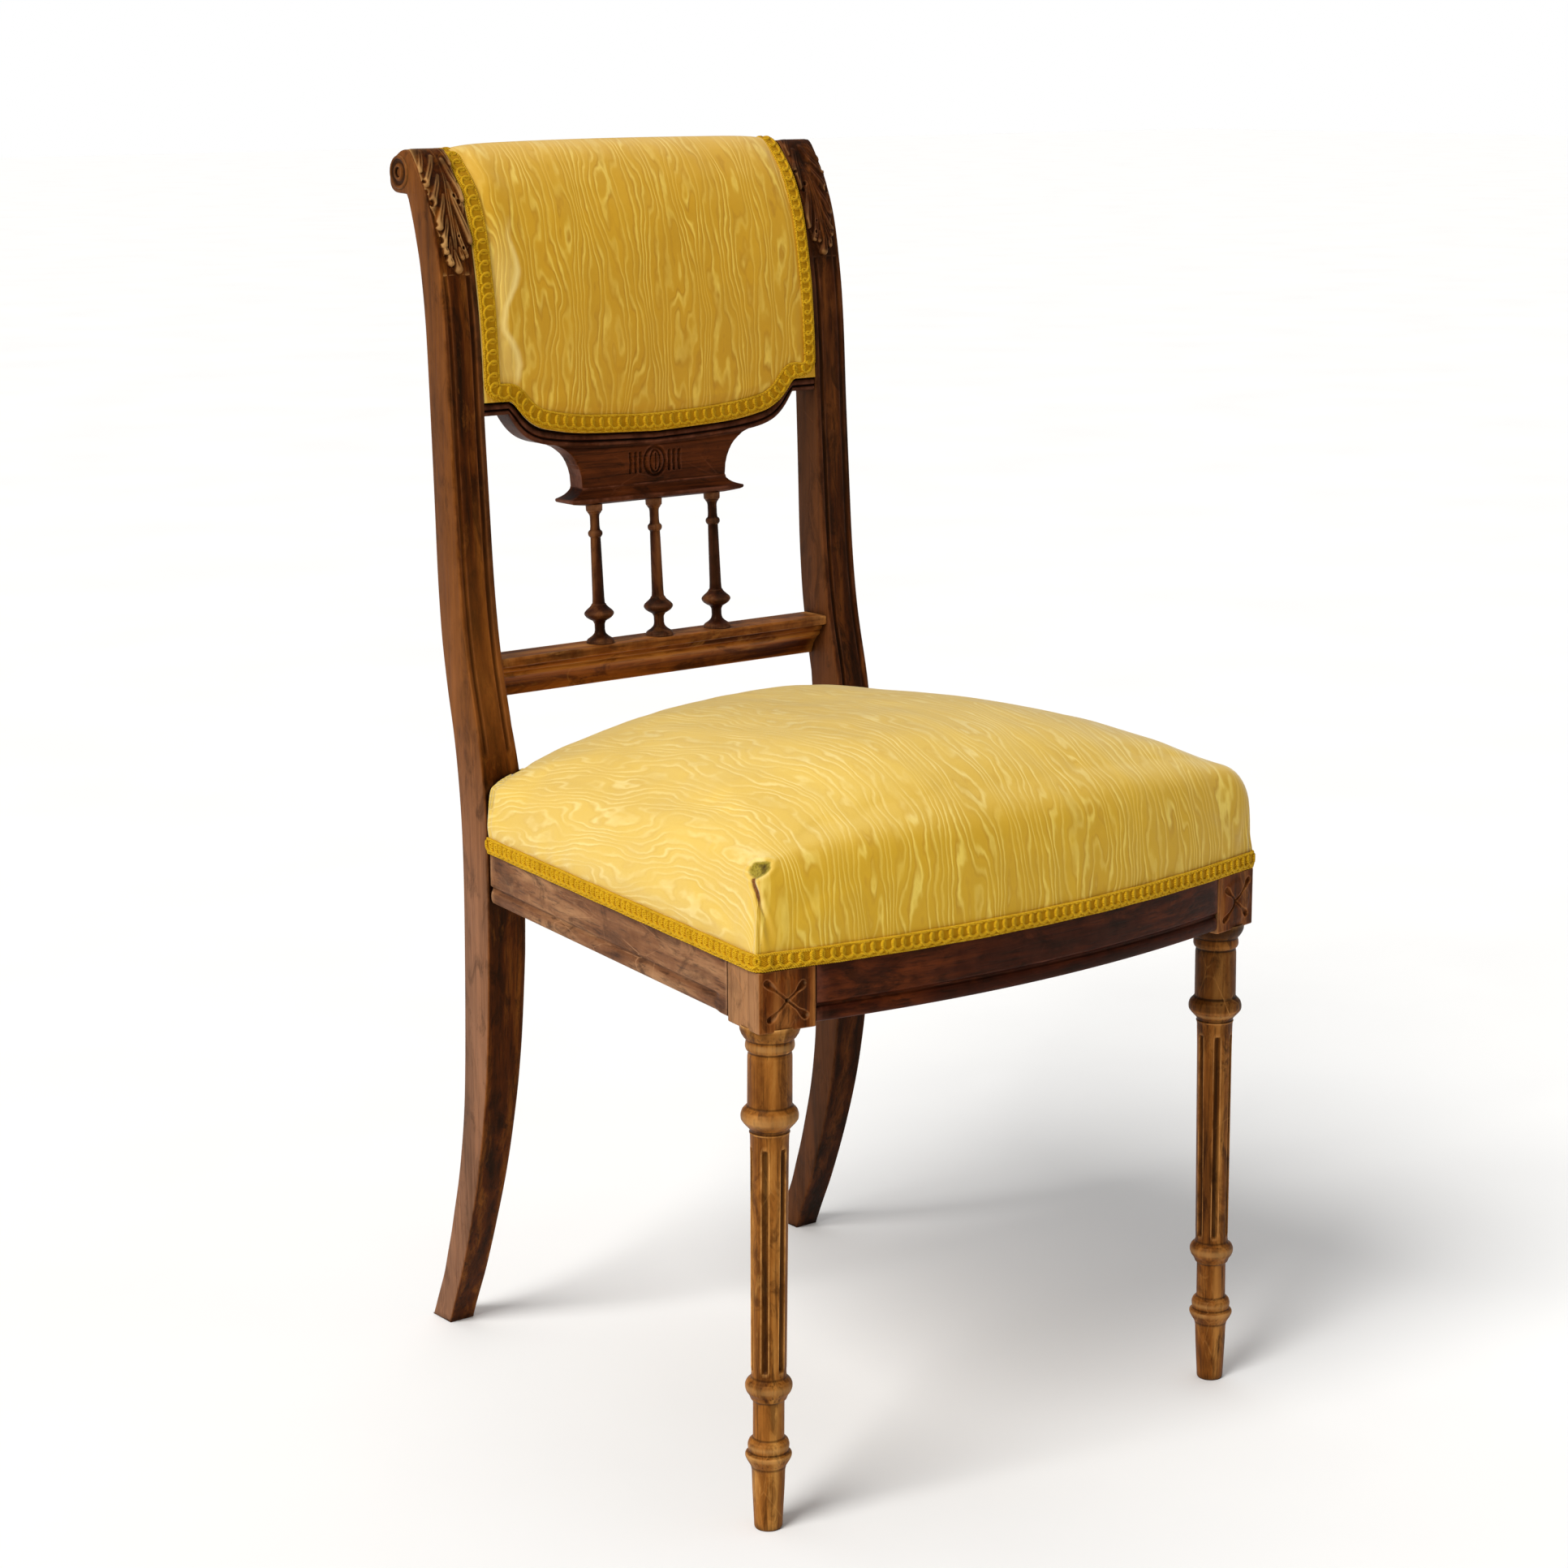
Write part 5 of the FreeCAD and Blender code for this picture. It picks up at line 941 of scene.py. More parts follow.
# side rails: plain at the front, then a stopped groove over a bead
plain = [(1.2, 357.5), (0.25, 358.2), (0, 360.0), (0, 363.5), (0, 366.5), (0, 368.8), (0, 370.3), (0, 371.8), (0, 396.4),
         (0.6, 397.0), (3.0, 397.0), (3.0, 412.0), (22.1, 412.0), (22.1, 357.5)]
mould = [(3.4, 357.5), (1.6, 358.2), (0.6, 360.2), (0.25, 363.2), (0.5, 366.5), (1.5, 368.2), (2.1, 369.9), (0, 371.9),
         (0, 396.4), (0.6, 397.0), (3.0, 397.0), (3.0, 412.0), (22.1, 412.0), (22.1, 357.5)]
slope = (24.0 - 17.34) / (222.9 - 176.26)
reach = [0.5, 0.5, 0.8, 1.0, 0.9, 0.6, 0.6, 0.6, 0.5, 0.3, 0.2, 0.6, 1.0, 1.0]
la, lb = softened(plain, reach, 3), softened(mould, reach, 3)
for side, s in (("left", -1.0), ("right", 1.0)):
    rows = []
    for y in np.r_[np.linspace(24.15, 33, 5), np.linspace(34, 44, 9), np.linspace(48, 372.3, 60)]:
        w = float(smooth(y, 33.5, 42))
        sec = la + (lb - la) * w
        x = side_x(y) - sec[:, 0]
        # the front end follows the block's sloping back
        yy = y - slope * sec[:, 0] * (1 - float(smooth(y, 24, 60)))
        rows.append(np.column_stack([s * (side_x(yy) - sec[:, 0]), yy, sec[:, 1]]))
    v, f = swept(rows)
    piece("side_rail_" + side, v, f, RAIL_Y, ("side_seat_rail_" + side,), sharp=40)

# ---------------------------------------------------------- lower back rail
sec = [(396.0, 530.6), (396.0, 535.8), (397.0, 537.0), (423.6, 537.0), (424.2, 536.4), (424.2, 505.2),
       (423.6, 504.5), (416.4, 504.5), (415.4, 505.4), (414.6, 509.0), (412.2, 514.0), (408.4, 518.4),
       (405.0, 521.0), (404.2, 522.6), (404.2, 524.6), (402.4, 525.4), (401.2, 528.0), (400.6, 529.6), (397.2, 529.8)]
loop = softened(sec, [0.5, 1.0, 0.8, 0.5, 0.5, 0.5, 0.5, 0.5, 0.6, 1.5, 2.0, 1.5, 0.9, 0.6, 0.6, 0.7, 0.8, 0.4, 0.4], 3)
rows = [np.column_stack([np.full(len(loop), x), loop[:, 0], loop[:, 1]]) for x in np.linspace(-155.4, 155.4, 45)]
v, f = swept(rows)
piece("lower_rail", v, f, RAIL_LIGHT, ("lower_back_rail",), sharp=40)

# ---------------------------------------------------------------- spindles
TILT = math.atan((414.9 - 409.1) / (643.5 - 535.5))
SPINDLE = [
    (0.9, 10.6), (3.0, 10.7), (4.2, 9.9), (6.5, 6.4), (8.5, 4.5), (11, 3.9), (16, 4.0), (18.2, 5.2), (19.4, 7.6),
    (21.0, 9.9), (22.6, 11.1), (23.6, 11.5), (24.6, 11.4), (25.8, 10.6), (27.2, 9.1), (28.8, 7.2), (30.2, 5.9),
    (31.0, 5.8), (31.6, 4.9), (36, 4.6), (77.5, 4.05), (82.4, 3.9), (83.0, 4.7), (84.4, 5.6), (86.4, 5.6), (87.6, 4.8),
    (88.2, 3.9), (91, 3.6), (98, 3.6), (100.0, 4.0), (101.4, 5.2), (102.2, 5.4), (102.8, 6.3), (107.8, 6.5),
]
prof = softened(SPINDLE, 0.8, 3, closed=False)
ct, st = math.cos(TILT), math.sin(TILT)
for name, x in (("left", -55.8), ("middle", 0.0), ("right", 55.8)):
    v, f = lathe([tuple(q) for q in prof], 56)
    out = np.column_stack([x + v[:, 0], 409.1 + v[:, 1] * ct + v[:, 2] * st, 535.9 + v[:, 2] * ct - v[:, 1] * st])
    out[:, 2] = np.clip(out[:, 2], 537.0, 643.9)
    piece("turned_spindle_" + name, out, f, SPINDLE_WOOD, ("spindle_" + name,), sharp=50)

# ------------------------------------------------------------ shield rail
WOOD = [(133.5, 717.5), (128.4, 709.8), (123.3, 703.8), (115.6, 697.9), (104.6, 693.6), (80.8, 690.2), (48.0, 688.2),
        (0.0, 686.8)]
BRAID = [(133.5, 727.0), (127.0, 722.5), (122.4, 716.5), (116.5, 710.6), (109.7, 706.4), (96.0, 702.6), (80.8, 700.0),
         (48.5, 697.6), (0.0, 695.7)]


def halves(points, n):
    """The run from the ear's corner to the middle, and on to the other side, with the ears."""
    p = cubic(points, n=400)
    d = np.r_[0, np.cumsum(np.linalg.norm(np.diff(p, axis=0), axis=1))]
    k = np.linspace(0, 1, n) * d[-1]
    h = np.column_stack([interp(k, d, p[:, 0]), interp(k, d, p[:, 1])])
    ear = np.column_stack([np.linspace(155.3, h[0, 0], 12), np.full(12, h[0, 1])])[:-1]
    right = np.vstack([ear, h])
    left = right[:-1][::-1] * np.array([-1, 1])
    return np.vstack([right, left])


wl, bl = halves(WOOD, 90), halves(BRAID, 90)
# share of the way from the wood's lower edge up to the braid, and depth of the face
edge = [(0.02, 413.6), (0.0, 412.4), (0.02, 411.2), (0.10, 410.5), (0.22, 410.3), (0.32, 410.9), (0.36, 412.2), (0.42, 412.4),
        (0.45, 411.5), (0.52, 410.6), (0.70, 410.5), (0.86, 411.2), (0.93, 412.0), (0.95, 412.8), (1.02, 413.0)]
rows = []
for w, b in zip(wl, bl):
    row = [(w[0], 430.0, w[1] + 0.3), (w[0], 430.5, w[1] + 0.9)][::-1]
    for t, y in edge:
        q = w + (b - w) * t
        row.append((q[0], y, q[1]))
    q = w + (b - w) * 1.02
    row += [(q[0], 415.0, q[1] + 0.2), (q[0], 415.0, 760.0), (q[0], 430.5, 760.0)]
    rows.append(np.array(row, float))
v, f = swept(rows)
piece("shield_rail", v, f, CREST_WOOD, ("back_bottom_rail",), sharp=40)

# ------------------------------------------------------------------ plaque
pw = [(656.0, 67.4), (665.5, 68.2), (671.0, 69.8), (675.0, 71.8), (678.5, 74.2), (681.0, 76.8), (683.4, 80.6), (685.2, 84.8),
      (686.4, 90.5), (687.2, 97.6)]
wz = np.array(sorted(WOOD))


def ornament(x, z):
    cz = z - 672.6
    ax = np.abs(x)
    d = np.zeros(x.shape)
    ring = np.hypot(x / 9.4, cz / 10.9)
    d += 1.7 * np.exp(-((ring - 1.0) / 0.12) ** 2)
    lens = np.hypot(x / 4.2, cz / 8.2)
    d -= 1.3 * np.sqrt(np.clip(1 - lens ** 2, 0, 1))
    d += 0.9 * np.exp(-((lens - 1.08) / 0.14) ** 2)
    d += 1.1 * np.exp(-(x / 0.5) ** 2) * (np.abs(cz) < 6.5)
    d -= 0.5 * smooth(1.0 - ring, 0.0, 0.2) * (lens > 1.15)
    for fx, r in ((13.6, 1.35), (18.0, 1.35), (22.4, 1.35)):
        end = np.maximum(np.abs(cz) - (8.4 - r), 0)
        q = np.hypot(ax - fx - 0.10 * np.abs(cz) * (fx > 18), end)
        d += 1.7 * np.sqrt(np.clip(1 - (q / r) ** 2, 0, 1))
    return d


nu, nv = 241, 60
U, V = np.meshgrid(np.sin(np.linspace(-1, 1, nu) * math.pi / 2 * 0.86) / math.sin(math.pi / 2 * 0.86), np.linspace(0, 1, nv),
                   indexing="ij")
Z = 656.0 + V * 31.2
wv = interp(Z, [a for a, b in pw], [b for a, b in pw])
X = U * wv
ztop = interp(np.abs(X), wz[:, 0], wz[:, 1]) + 0.4
Z = Z + V ** 3 * (ztop - 687.2)
e = wv - np.abs(X)
Y = 412.0 + ornament(X, Z) + 0.9 * np.exp(-(e / 0.9) ** 1.0) + 0.55 * np.exp(-((Z - (ztop - 2.2)) / 0.7) ** 2)
Y -= 0.8 * smooth(Z, 657.5, 656.0)
front = np.stack([X, Y, Z], -1).reshape(-1, 3)
back = np.stack([X, np.full_like(X, 429.0), Z], -1).reshape(-1, 3)
n = nu * nv
faces = grid(nu, nv) + [tuple(i + n for i in q[::-1]) for q in grid(nu, nv)]
rim = [i * nv for i in range(nu)] + [(nu - 1) * nv + j for j in range(1, nv)] + \
      [i * nv + nv - 1 for i in range(nu - 2, -1, -1)] + [j for j in range(nv - 2, 0, -1)]
for a, b in zip(rim, rim[1:] + rim[:1]):
    faces.append((a, b, b + n, a + n))
piece("plaque", np.vstack([front, back]), faces, CREST_WOOD, ("splat_block",), sharp=45)


def rounded_rect(hx, y0, y1, r, k=6):
    out = []
    for cx, cy, a0 in ((hx - r, y1 - r, 0), (-hx + r, y1 - r, 90), (-hx + r, y0 + r, 180), (hx - r, y0 + r, 270)):
        for j in range(k + 1):
            a = math.radians(a0 + 90.0 * j / k)
            out.append((cx + r * math.cos(a), cy + r * math.sin(a)))
    return out


lip = [(643.5, 65.6, 411.0, 0.6), (643.7, 66.6, 410.2, 0.8), (644.5, 73.0, 408.6, 0.9), (645.3, 78.6, 407.2, 1.0),
       (646.0, 80.8, 406.6, 1.0), (646.8, 81.5, 406.4, 1.0), (648.0, 81.6, 406.4, 1.0), (648.5, 81.0, 406.8, 1.0),
       (649.0, 78.9, 407.9, 1.0), (649.8, 76.2, 409.0, 1.0), (651.0, 73.2, 410.1, 1.0), (652.6, 70.6, 411.1, 1.0),
       (654.4, 68.6, 411.7, 1.0), (655.2, 67.9, 411.5, 1.0), (656.0, 67.7, 411.4, 1.0), (656.8, 67.5, 411.6, 1.0),
       (657.4, 66.6, 412.6, 1.0)]
rows = [np.array([(x, y, z) for x, y in rounded_rect(w, y0, 430.0, r)]) for z, w, y0, r in lip]
v, f = swept(rows)
piece("plaque_lip", v, f, CREST_WOOD, ("splat_foot_moulding",), sharp=45)

# carried-over pieces get their materials
for names, mat in ((("back_seat_rail",), RAIL_BACK),
                   (("corner_brace_front_left", "corner_brace_front_right", "corner_brace_back_left",
                     "corner_brace_back_right", "back_top_rail", "seat_rail_dowels", "back_rail_dowels"), BEECH),
                   (("corner_brace_screws",), STEEL),
                   (("seat_web_long_1", "seat_web_long_2", "seat_web_long_3", "seat_web_cross_1", "seat_web_cross_2",
                     "seat_web_cross_3", "back_web_left", "back_web_right"), JUTE),
                   (("seat_hessian",), SACKING)):
    for nm in names:
        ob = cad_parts[nm]
        if len(ob.material_slots) == 0:
            ob.data.materials.append(mat)
        for sl in ob.material_slots:
            sl.link = "OBJECT"
            sl.material = mat

# ------------------------------------------------------------ seat cushion
def noise_field(p, scale, seed):
    """Smooth repeatable undulation between -1 and 1 from a few crossed waves."""
    rs = np.random.RandomState(seed)
    out = np.zeros(len(p))
    for _ in range(9):
        d = rs.normal(size=3)
        d /= np.linalg.norm(d)
        out += np.sin(p @ d * (2 * math.pi / scale) * rs.uniform(0.6, 1.6) + rs.uniform(0, 6.28))
    return out / 4.5


def edge_fall(t, n):
    return np.clip(1 - np.abs(t) ** n, 0, 1) ** (1 / 2.9)


def even(count, span, height, finer=0.0):
    """Values from -1 to 1 spaced evenly along the section of the stuffed edge, closer together near -1 if asked."""
    t = np.r_[np.linspace(0, 0.9, 400), 1 - np.logspace(-1, -7, 900), 1.0]
    x, z = t * span, height * edge_fall(t, 41.5)
    s = np.r_[0, np.cumsum(np.hypot(np.diff(x), np.diff(z)))]
    half = interp(np.linspace(0, s[-1], count // 2 + 1), s, t)
    half[0], half[-1] = 0.0, 1.0
    if not finer:
        return np.r_[-half[:0:-1], half]
    full_s = np.r_[-s[:0:-1], s] + s[-1]
    full_t = np.r_[-t[:0:-1], t]
    u = np.linspace(0, full_s[-1], 4000)
    w = np.cumsum(1 + finer * (1 - smooth(u, 78, 100)))
    at = interp(np.linspace(w[0], w[-1], count), w, u)
    out = interp(at, full_s, full_t)
    out[0], out[-1] = -1.0, 1.0
    return out


def seat_surface(A, B, inset=0.0):
    """Outer surface of the stuffed seat at the grid of parameters A, B."""
    b0, pc, pa = 0.116, 3.99, 2.64
    hs, hc, kd = 75.2 - inset, 63.8, 0.43
    back = 406.6 - inset
    x = A * 215.0
    for _ in range(7):
        yf = front_line(x) + inset
        y = yf + (B + 1) / 2 * (back - yf)
        x = A * (side_x(y) + 0.6 - inset)
    q = np.where(B < b0, (b0 - B) / (1 + b0), (B - b0) / (1 - b0))
    near = smooth(y, 318, 371)
    ea = edge_fall(A, 41.5 + 70.0 * near)
    eb = edge_fall(B, 41.5)
    z = 397.0 + hs * (1 - kd * (B + 1) / 2) * ea * eb + hc * (1 - np.abs(A) ** pa) * (1 - q ** pc)
    z += near * 5.0 * np.abs(A) ** 8 * ea * eb
    x = x + np.sign(x) * 1.8 * near * smooth(z, 404, 424) * np.abs(A) ** 6
    return np.stack([x, y, z], -1)


def notch(p, clear=0.4):
    """Draws the points that fall where a rear post stands onto the post's faces."""
    q = p.copy()
    xn, yn = 152.6 - clear, 372.6 - clear
    cx = np.maximum(side_x(406.6) + 0.6, np.abs(p[:, 0]) + 1e-4)
    inside = (np.abs(p[:, 0]) > xn) & (p[:, 1] > yn)
    sx = np.sign(p[:, 0])
    dx = cx - np.abs(p[:, 0])
    dy = 406.6 + 1e-3 - p[:, 1]
    kx = (cx - xn) / np.maximum(dx, 1e-6)
    ky = (406.601 - yn) / np.maximum(dy, 1e-6)
    k = np.minimum(kx, ky)
    nx = cx - dx * k
    ny = 406.601 - dy * k
    q[inside, 0] = (sx * nx)[inside]
    q[inside, 1] = ny[inside]
    return q


def normals_of(grid3):
    du = np.gradient(grid3, axis=0)
    dv = np.gradient(grid3, axis=1)
    n = np.cross(du, dv)
    return n / np.maximum(np.linalg.norm(n, axis=2), 1e-9)[..., None]


def relaxed(name, verts, faces, hold, voxel, cap, pressure=4.0, frames=20):
    """Cloth under air pressure on a closed form: returns the moved mesh as a tree."""
    me = bpy.data.meshes.new(name)
    me.from_pydata(placed(verts).tolist(), [], [list(map(int, f)) for f in faces])
    me.update()
    ob = bpy.data.objects.new(name, me)
    scene.collection.objects.link(ob)
    rm = ob.modifiers.new("remesh", "REMESH")
    rm.mode = "VOXEL"
    rm.voxel_size = voxel / 1000.0
    dg = bpy.context.evaluated_depsgraph_get()
    me2 = bpy.data.meshes.new_from_object(ob.evaluated_get(dg))
    ob.modifiers.clear()
    ob.data = me2
    co = np.zeros(len(me2.vertices) * 3)
    me2.vertices.foreach_get("co", co)
    co = co.reshape(-1, 3)
    mm = co * 1000 + np.array([0, DEPTH_ORIGIN, 0])
    pins = np.nonzero(hold(mm))[0]
    vg = ob.vertex_groups.new(name="pin")
    vg.add([int(i) for i in pins], 1.0, "REPLACE")
    cl = ob.modifiers.new("cloth", "CLOTH")
    st = cl.settings
    st.quality = 6
    st.mass = 0.3
    st.tension_stiffness = 25
    st.compression_stiffness = 25
    st.shear_stiffness = 12
    st.bending_stiffness = 1.2
    st.vertex_group_mass = "pin"
    st.use_pressure = True
    st.uniform_pressure_force = pressure
    st.effector_weights.gravity = 0.0
    cl.collision_settings.use_collision = False
    cl.collision_settings.use_self_collision = False
    cl.point_cache.frame_start = 1
    cl.point_cache.frame_end = frames
    for fr in range(1, frames + 1):
        scene.frame_set(fr)
    dg = bpy.context.evaluated_depsgraph_get()
    ev = ob.evaluated_get(dg)
    out = np.zeros(len(ev.data.vertices) * 3)
    ev.data.vertices.foreach_get("co", out)
    out = out.reshape(-1, 3)
    d = out - co
    ln = np.linalg.norm(d, axis=1)
    k = np.minimum(1.0, cap / 1000.0 / np.maximum(ln, 1e-9))
    out = (co + d * k[:, None]) * 1000 + np.array([0, DEPTH_ORIGIN, 0])
    polys = [tuple(p.vertices) for p in me2.polygons]
    tree = BVHTree.FromPolygons([tuple(v) for v in out], polys)
    scene.frame_set(1)
    bpy.data.objects.remove(ob)
    print("cloth %s: %d points, mean move %.1f mm" % (name, len(co), ln.mean() * 1000))
    return tree


def swell(tree, p, n, reach, lo, hi):
    """How far the simulated form stands from the points p along their normals n."""
    d = np.full(len(p), np.nan)
    for i in range(len(p)):
        o = p[i] - n[i] * reach
        hit = tree.ray_cast(Vector(o), Vector(n[i]), reach * 2)
        if hit[0] is not None:
            d[i] = hit[3] - reach
    bias = np.nanmedian(d)
    d = np.where(np.isnan(d), 0.0, d - bias)
    return np.clip(d, lo, hi)


def line_distance(p, run):
    """Distance of each point from a run of straight lines, and how far along it lies."""
    run = np.asarray(run, float)
    best = np.full(len(p), 1e9)
    along = np.zeros(len(p))
    for k, (a, b) in enumerate(zip(run, run[1:])):
        t = np.clip(((p - a) @ (b - a)) / ((b - a) @ (b - a)), 0, 1)
        d = np.linalg.norm(p - (a + t[:, None] * (b - a)), axis=1)
        m = d < best
        best = np.where(m, d, best)
        along = np.where(m, (k + t) / (len(run) - 1), along)
    return best, along


NU = NV = 301
ta, tb = even(NU, 205.0, 66.0, 0.75), even(NV, 215.0, 60.0, 0.75)
A, B = np.meshgrid(ta, tb, indexing="ij")
G = seat_surface(A, B)
# the two front corners are rounded over
for sx in (-1, 1):
    away = np.hypot(G[..., 0] - sx * 222.0, G[..., 1] + 15.0)
    soft = np.exp(-(away / 13.0) ** 2) * smooth(G[..., 2], 403, 411)
    for _ in range(26):
        q = np.pad(G, ((1, 1), (1, 1), (0, 0)), "edge")
        mean = (q[:-2, 1:-1] + q[2:, 1:-1] + q[1:-1, :-2] + q[1:-1, 2:]) / 4.0
        G = G + soft[..., None] * (mean - G)
nu, nv = G.shape[:2]
N = normals_of(G)
if N[nu // 2, nv // 2, 2] < 0:
    N = -N
P = G.reshape(-1, 3)
Nf = N.reshape(-1, 3)

# simulated swelling from a coarser, slightly smaller closed copy
move = np.zeros(len(P))
ca, cb = even(110, 205.0, 66.0), even(110, 215.0, 60.0)
CA, CB = np.meshgrid(ca, cb, indexing="ij")
C = seat_surface(CA, CB, 3.0)
cu, cv = C.shape[:2]
low = C.copy()
low[..., 2] = 392.0
cn = cu * cv
cf = grid(cu, cv) + [tuple(i + cn for i in f[::-1]) for f in grid(cu, cv)]
rim = [i * cv for i in range(cu)] + [(cu - 1) * cv + j for j in range(1, cv)] + \
      [i * cv + cv - 1 for i in range(cu - 2, -1, -1)] + [j for j in range(cv - 2, 0, -1)]
for a, b in zip(rim, rim[1:] + rim[:1]):
    cf.append((a, b, b + cn, a + cn))
tree = relaxed("seat_sim", np.vstack([C.reshape(-1, 3), low.reshape(-1, 3)]), cf,
               lambda m: m[:, 2] < 404.0, 5.5, 12.0)
move = 0.6 * swell(tree, P, Nf, 14.0, -2.2, 2.2) - 0.9 * smooth(P[:, 2], 455, 495)
mg = move.reshape(nu, nv)
for _ in range(3):
    mg = (mg + np.roll(mg, 1, 0) + np.roll(mg, -1, 0) + np.roll(mg, 1, 1) + np.roll(mg, -1, 1)) / 5.0
move = mg.ravel()

fold_free = smooth(P[:, 2], 409, 424)
move = move * fold_free
move += 0.9 * noise_field(P, 120.0, 3) * fold_free * smooth(P[:, 2], 420, 460)
move += 0.45 * noise_field(P, 38.0, 5) * fold_free
# tension ripples rising from the braid
down = np.exp(-np.clip(P[:, 2] - 409, 0, None) / 14.0) * smooth(P[:, 2], 405, 411)
run = np.where(np.abs(P[:, 1] - front_line(P[:, 0])) < 6, P[:, 0], P[:, 1] + 300)
move += 0.55 * down * np.sin(run / 5.2 + 1.7 * np.sin(run / 23.0)) * (0.5 + 0.5 * np.sin(run / 41.0))
# gathers at the four corners
for cx, cy, amp in ((-222.0, -10.0, 0.30), (222.0, -10.0, 0.30)):
    dx, dy = P[:, 0] - cx, P[:, 1] - cy
    r = np.hypot(dx, dy)
    ang = np.arctan2(dy, dx * -np.sign(cx))
    fall = np.exp(-(r / 22.0) ** 2) * (1 - smooth(P[:, 2], 424, 452)) * smooth(P[:, 2], 404, 411)
    move += amp * fall * np.sin(ang * 5.0 + P[:, 2] * 0.05)
# the right front corner is stuffed fuller
r = np.linalg.norm((P - np.array([217.0, -2.0, 456.0])) / np.array([24.0, 26.0, 24.0]), axis=1)
move += 4.9 * np.exp(-r ** 2)
r = np.linalg.norm((P - np.array([168.0, 8.0, 486.0])) / np.array([36.0, 30.0, 30.0]), axis=1)
move += 2.5 * np.exp(-r ** 2)
move -= 2.6 * np.exp(-((P[:, 0] + 70) / 130.0) ** 2 - ((P[:, 1] - 270) / 120.0) ** 2) * smooth(P[:, 2], 460, 485)
# dip behind the front edge, softer towards the left
crisp = smooth(P[:, 0], -120, 150)
d_edge = P[:, 1] - front_line(P[:, 0])
move += -0.9 * crisp * np.exp(-((d_edge - 34) / 16.0) ** 2) * smooth(P[:, 2], 450, 470)
# fold where the cover is turned in beside the left and right posts
for s in (-1, 1):
    side = (P[:, 0] * s > 150)
    move -= 1.6 * side * np.exp(-((P[:, 1] - 366.5) / 0.9) ** 2) * smooth(P[:, 2], 406, 412) * (1 - smooth(P[:, 2], 442, 450))
    move += 0.7 * side * np.exp(-((P[:, 1] - 363.0) / 2.2) ** 2) * smooth(P[:, 2], 406, 416) * (1 - smooth(P[:, 2], 436, 450))
    near = np.maximum(152.2 - np.abs(P[:, 0]), 372.2 - P[:, 1])
    top = (near > -0.5) & (P[:, 2] > 430) & (P[:, 1] > 340)
    move -= 5.0 * top * np.exp(-np.clip(near, 0, None) / 2.6)

# worn hole and split seam on the left front corner
HOLE = np.array([-218.3, -2.6, 462.2])
SPLIT = [(-222.6, -2.6, 455.6), (-223.2, -4.4, 452.4), (-223.3, -7.8, 449.2), (-223.2, -11.2, 443.9), (-223.0, -12.9, 439.8),
         (-219.6, -15.2, 433.1), (-217.4, -16.7, 422.3), (-214.6, -17.6, 411.0)]
Q = P + Nf * move[:, None]
flat = lambda v: v - np.sum(v * Nf, axis=1)[:, None] * Nf
d3 = flat(Q - Q[np.argmin(np.linalg.norm(Q - HOLE, axis=1))])
turn = np.arctan2(d3[:, 2] * 1.5, d3[:, 1])
hd = np.sqrt((d3[:, 0] / 9.6) ** 2 + (d3[:, 1] / 8.6) ** 2 + (d3[:, 2] / 5.4) ** 2)
hd = hd * (1 + 0.10 * np.sin(turn * 2 + 0.6) + 0.06 * np.sin(turn * 5 + 1.0))
run3 = np.array([Q[np.argmin(np.linalg.norm(Q - np.array(c), axis=1))] for c in SPLIT])
sd, al = line_distance(Q, run3)
gap = 1.5 * (1 - smooth(al, 0.34, 0.80)) + 0.9
move -= 2.1 * np.exp(-(hd / 0.90) ** 6)
move += 0.7 * np.exp(-((hd - 1.22) / 0.26) ** 2)
move -= 1.9 * np.exp(-(sd / gap) ** 2) * (1 - smooth(al, 0.50, 0.78))
move -= 0.9 * np.exp(-(sd / 3.2) ** 2) * smooth(al, 0.5, 0.8) * (1 - smooth(al, 0.86, 1.0))
move += 0.7 * np.exp(-((sd - 3.6) / 1.6) ** 2) * (1 - smooth(al, 0.6, 1.0)) * (hd > 1.3)
stain = np.exp(-(hd / 0.94) ** 8) * (0.62 + 0.38 * smooth(hd + 0.35 * np.sin(turn - 0.9), 0.45, 0.85))
torn = np.exp(-(sd / (gap * 0.82)) ** 4) * (0.86 - 0.40 * smooth(al, 0.30, 0.60)) * (1 - smooth(al, 0.66, 0.92))

P2 = P + Nf * move[:, None]
low_rim = P[:, 2] < 397.6
P2[low_rim, 2] = 397.3
P2 = notch(P2)

# the cloth's own coordinates, unrolled from the middle
H = P2.reshape(nu, nv, 3)
lu = np.zeros((nu, nv))
step = np.linalg.norm(np.diff(G, axis=0), axis=2)
lu[1:] = np.cumsum(step, axis=0)
lu -= lu[nu // 2]
lv = np.zeros((nu, nv))
step = np.linalg.norm(np.diff(G, axis=1), axis=2)
lv[:, 1:] = np.cumsum(step, axis=1)
lv -= lv[:, nv // 2][:, None]
UV = np.stack([lu / 100.0 + 5.0, lv / 100.0 + 5.0], -1).reshape(-1, 2)

rim = [i * nv for i in range(nu)] + [(nu - 1) * nv + j for j in range(1, nv)] + \
      [i * nv + nv - 1 for i in range(nu - 2, -1, -1)] + [j for j in range(nv - 2, 0, -1)]
R = P2[rim]
t = np.roll(R, -3, 0) - np.roll(R, 3, 0)
t[:, 2] = 0
t /= np.maximum(np.linalg.norm(t, axis=1), 1e-9)[:, None]
inn = np.column_stack([-t[:, 1], t[:, 0], np.zeros(len(t))])
mid = R.mean(0)
if np.mean(np.sum(inn * (mid - R), axis=1)) < 0:
    inn = -inn
rings = []
for d, z in ((1.9, 397.3), (1.9, 412.7), (5.2, 416.6)):
    q = R + inn * d
    q[:, 2] = z
    rings.append(q)
verts = np.vstack([P2] + rings + [np.array([[0.0, 180.0, 416.6]])])
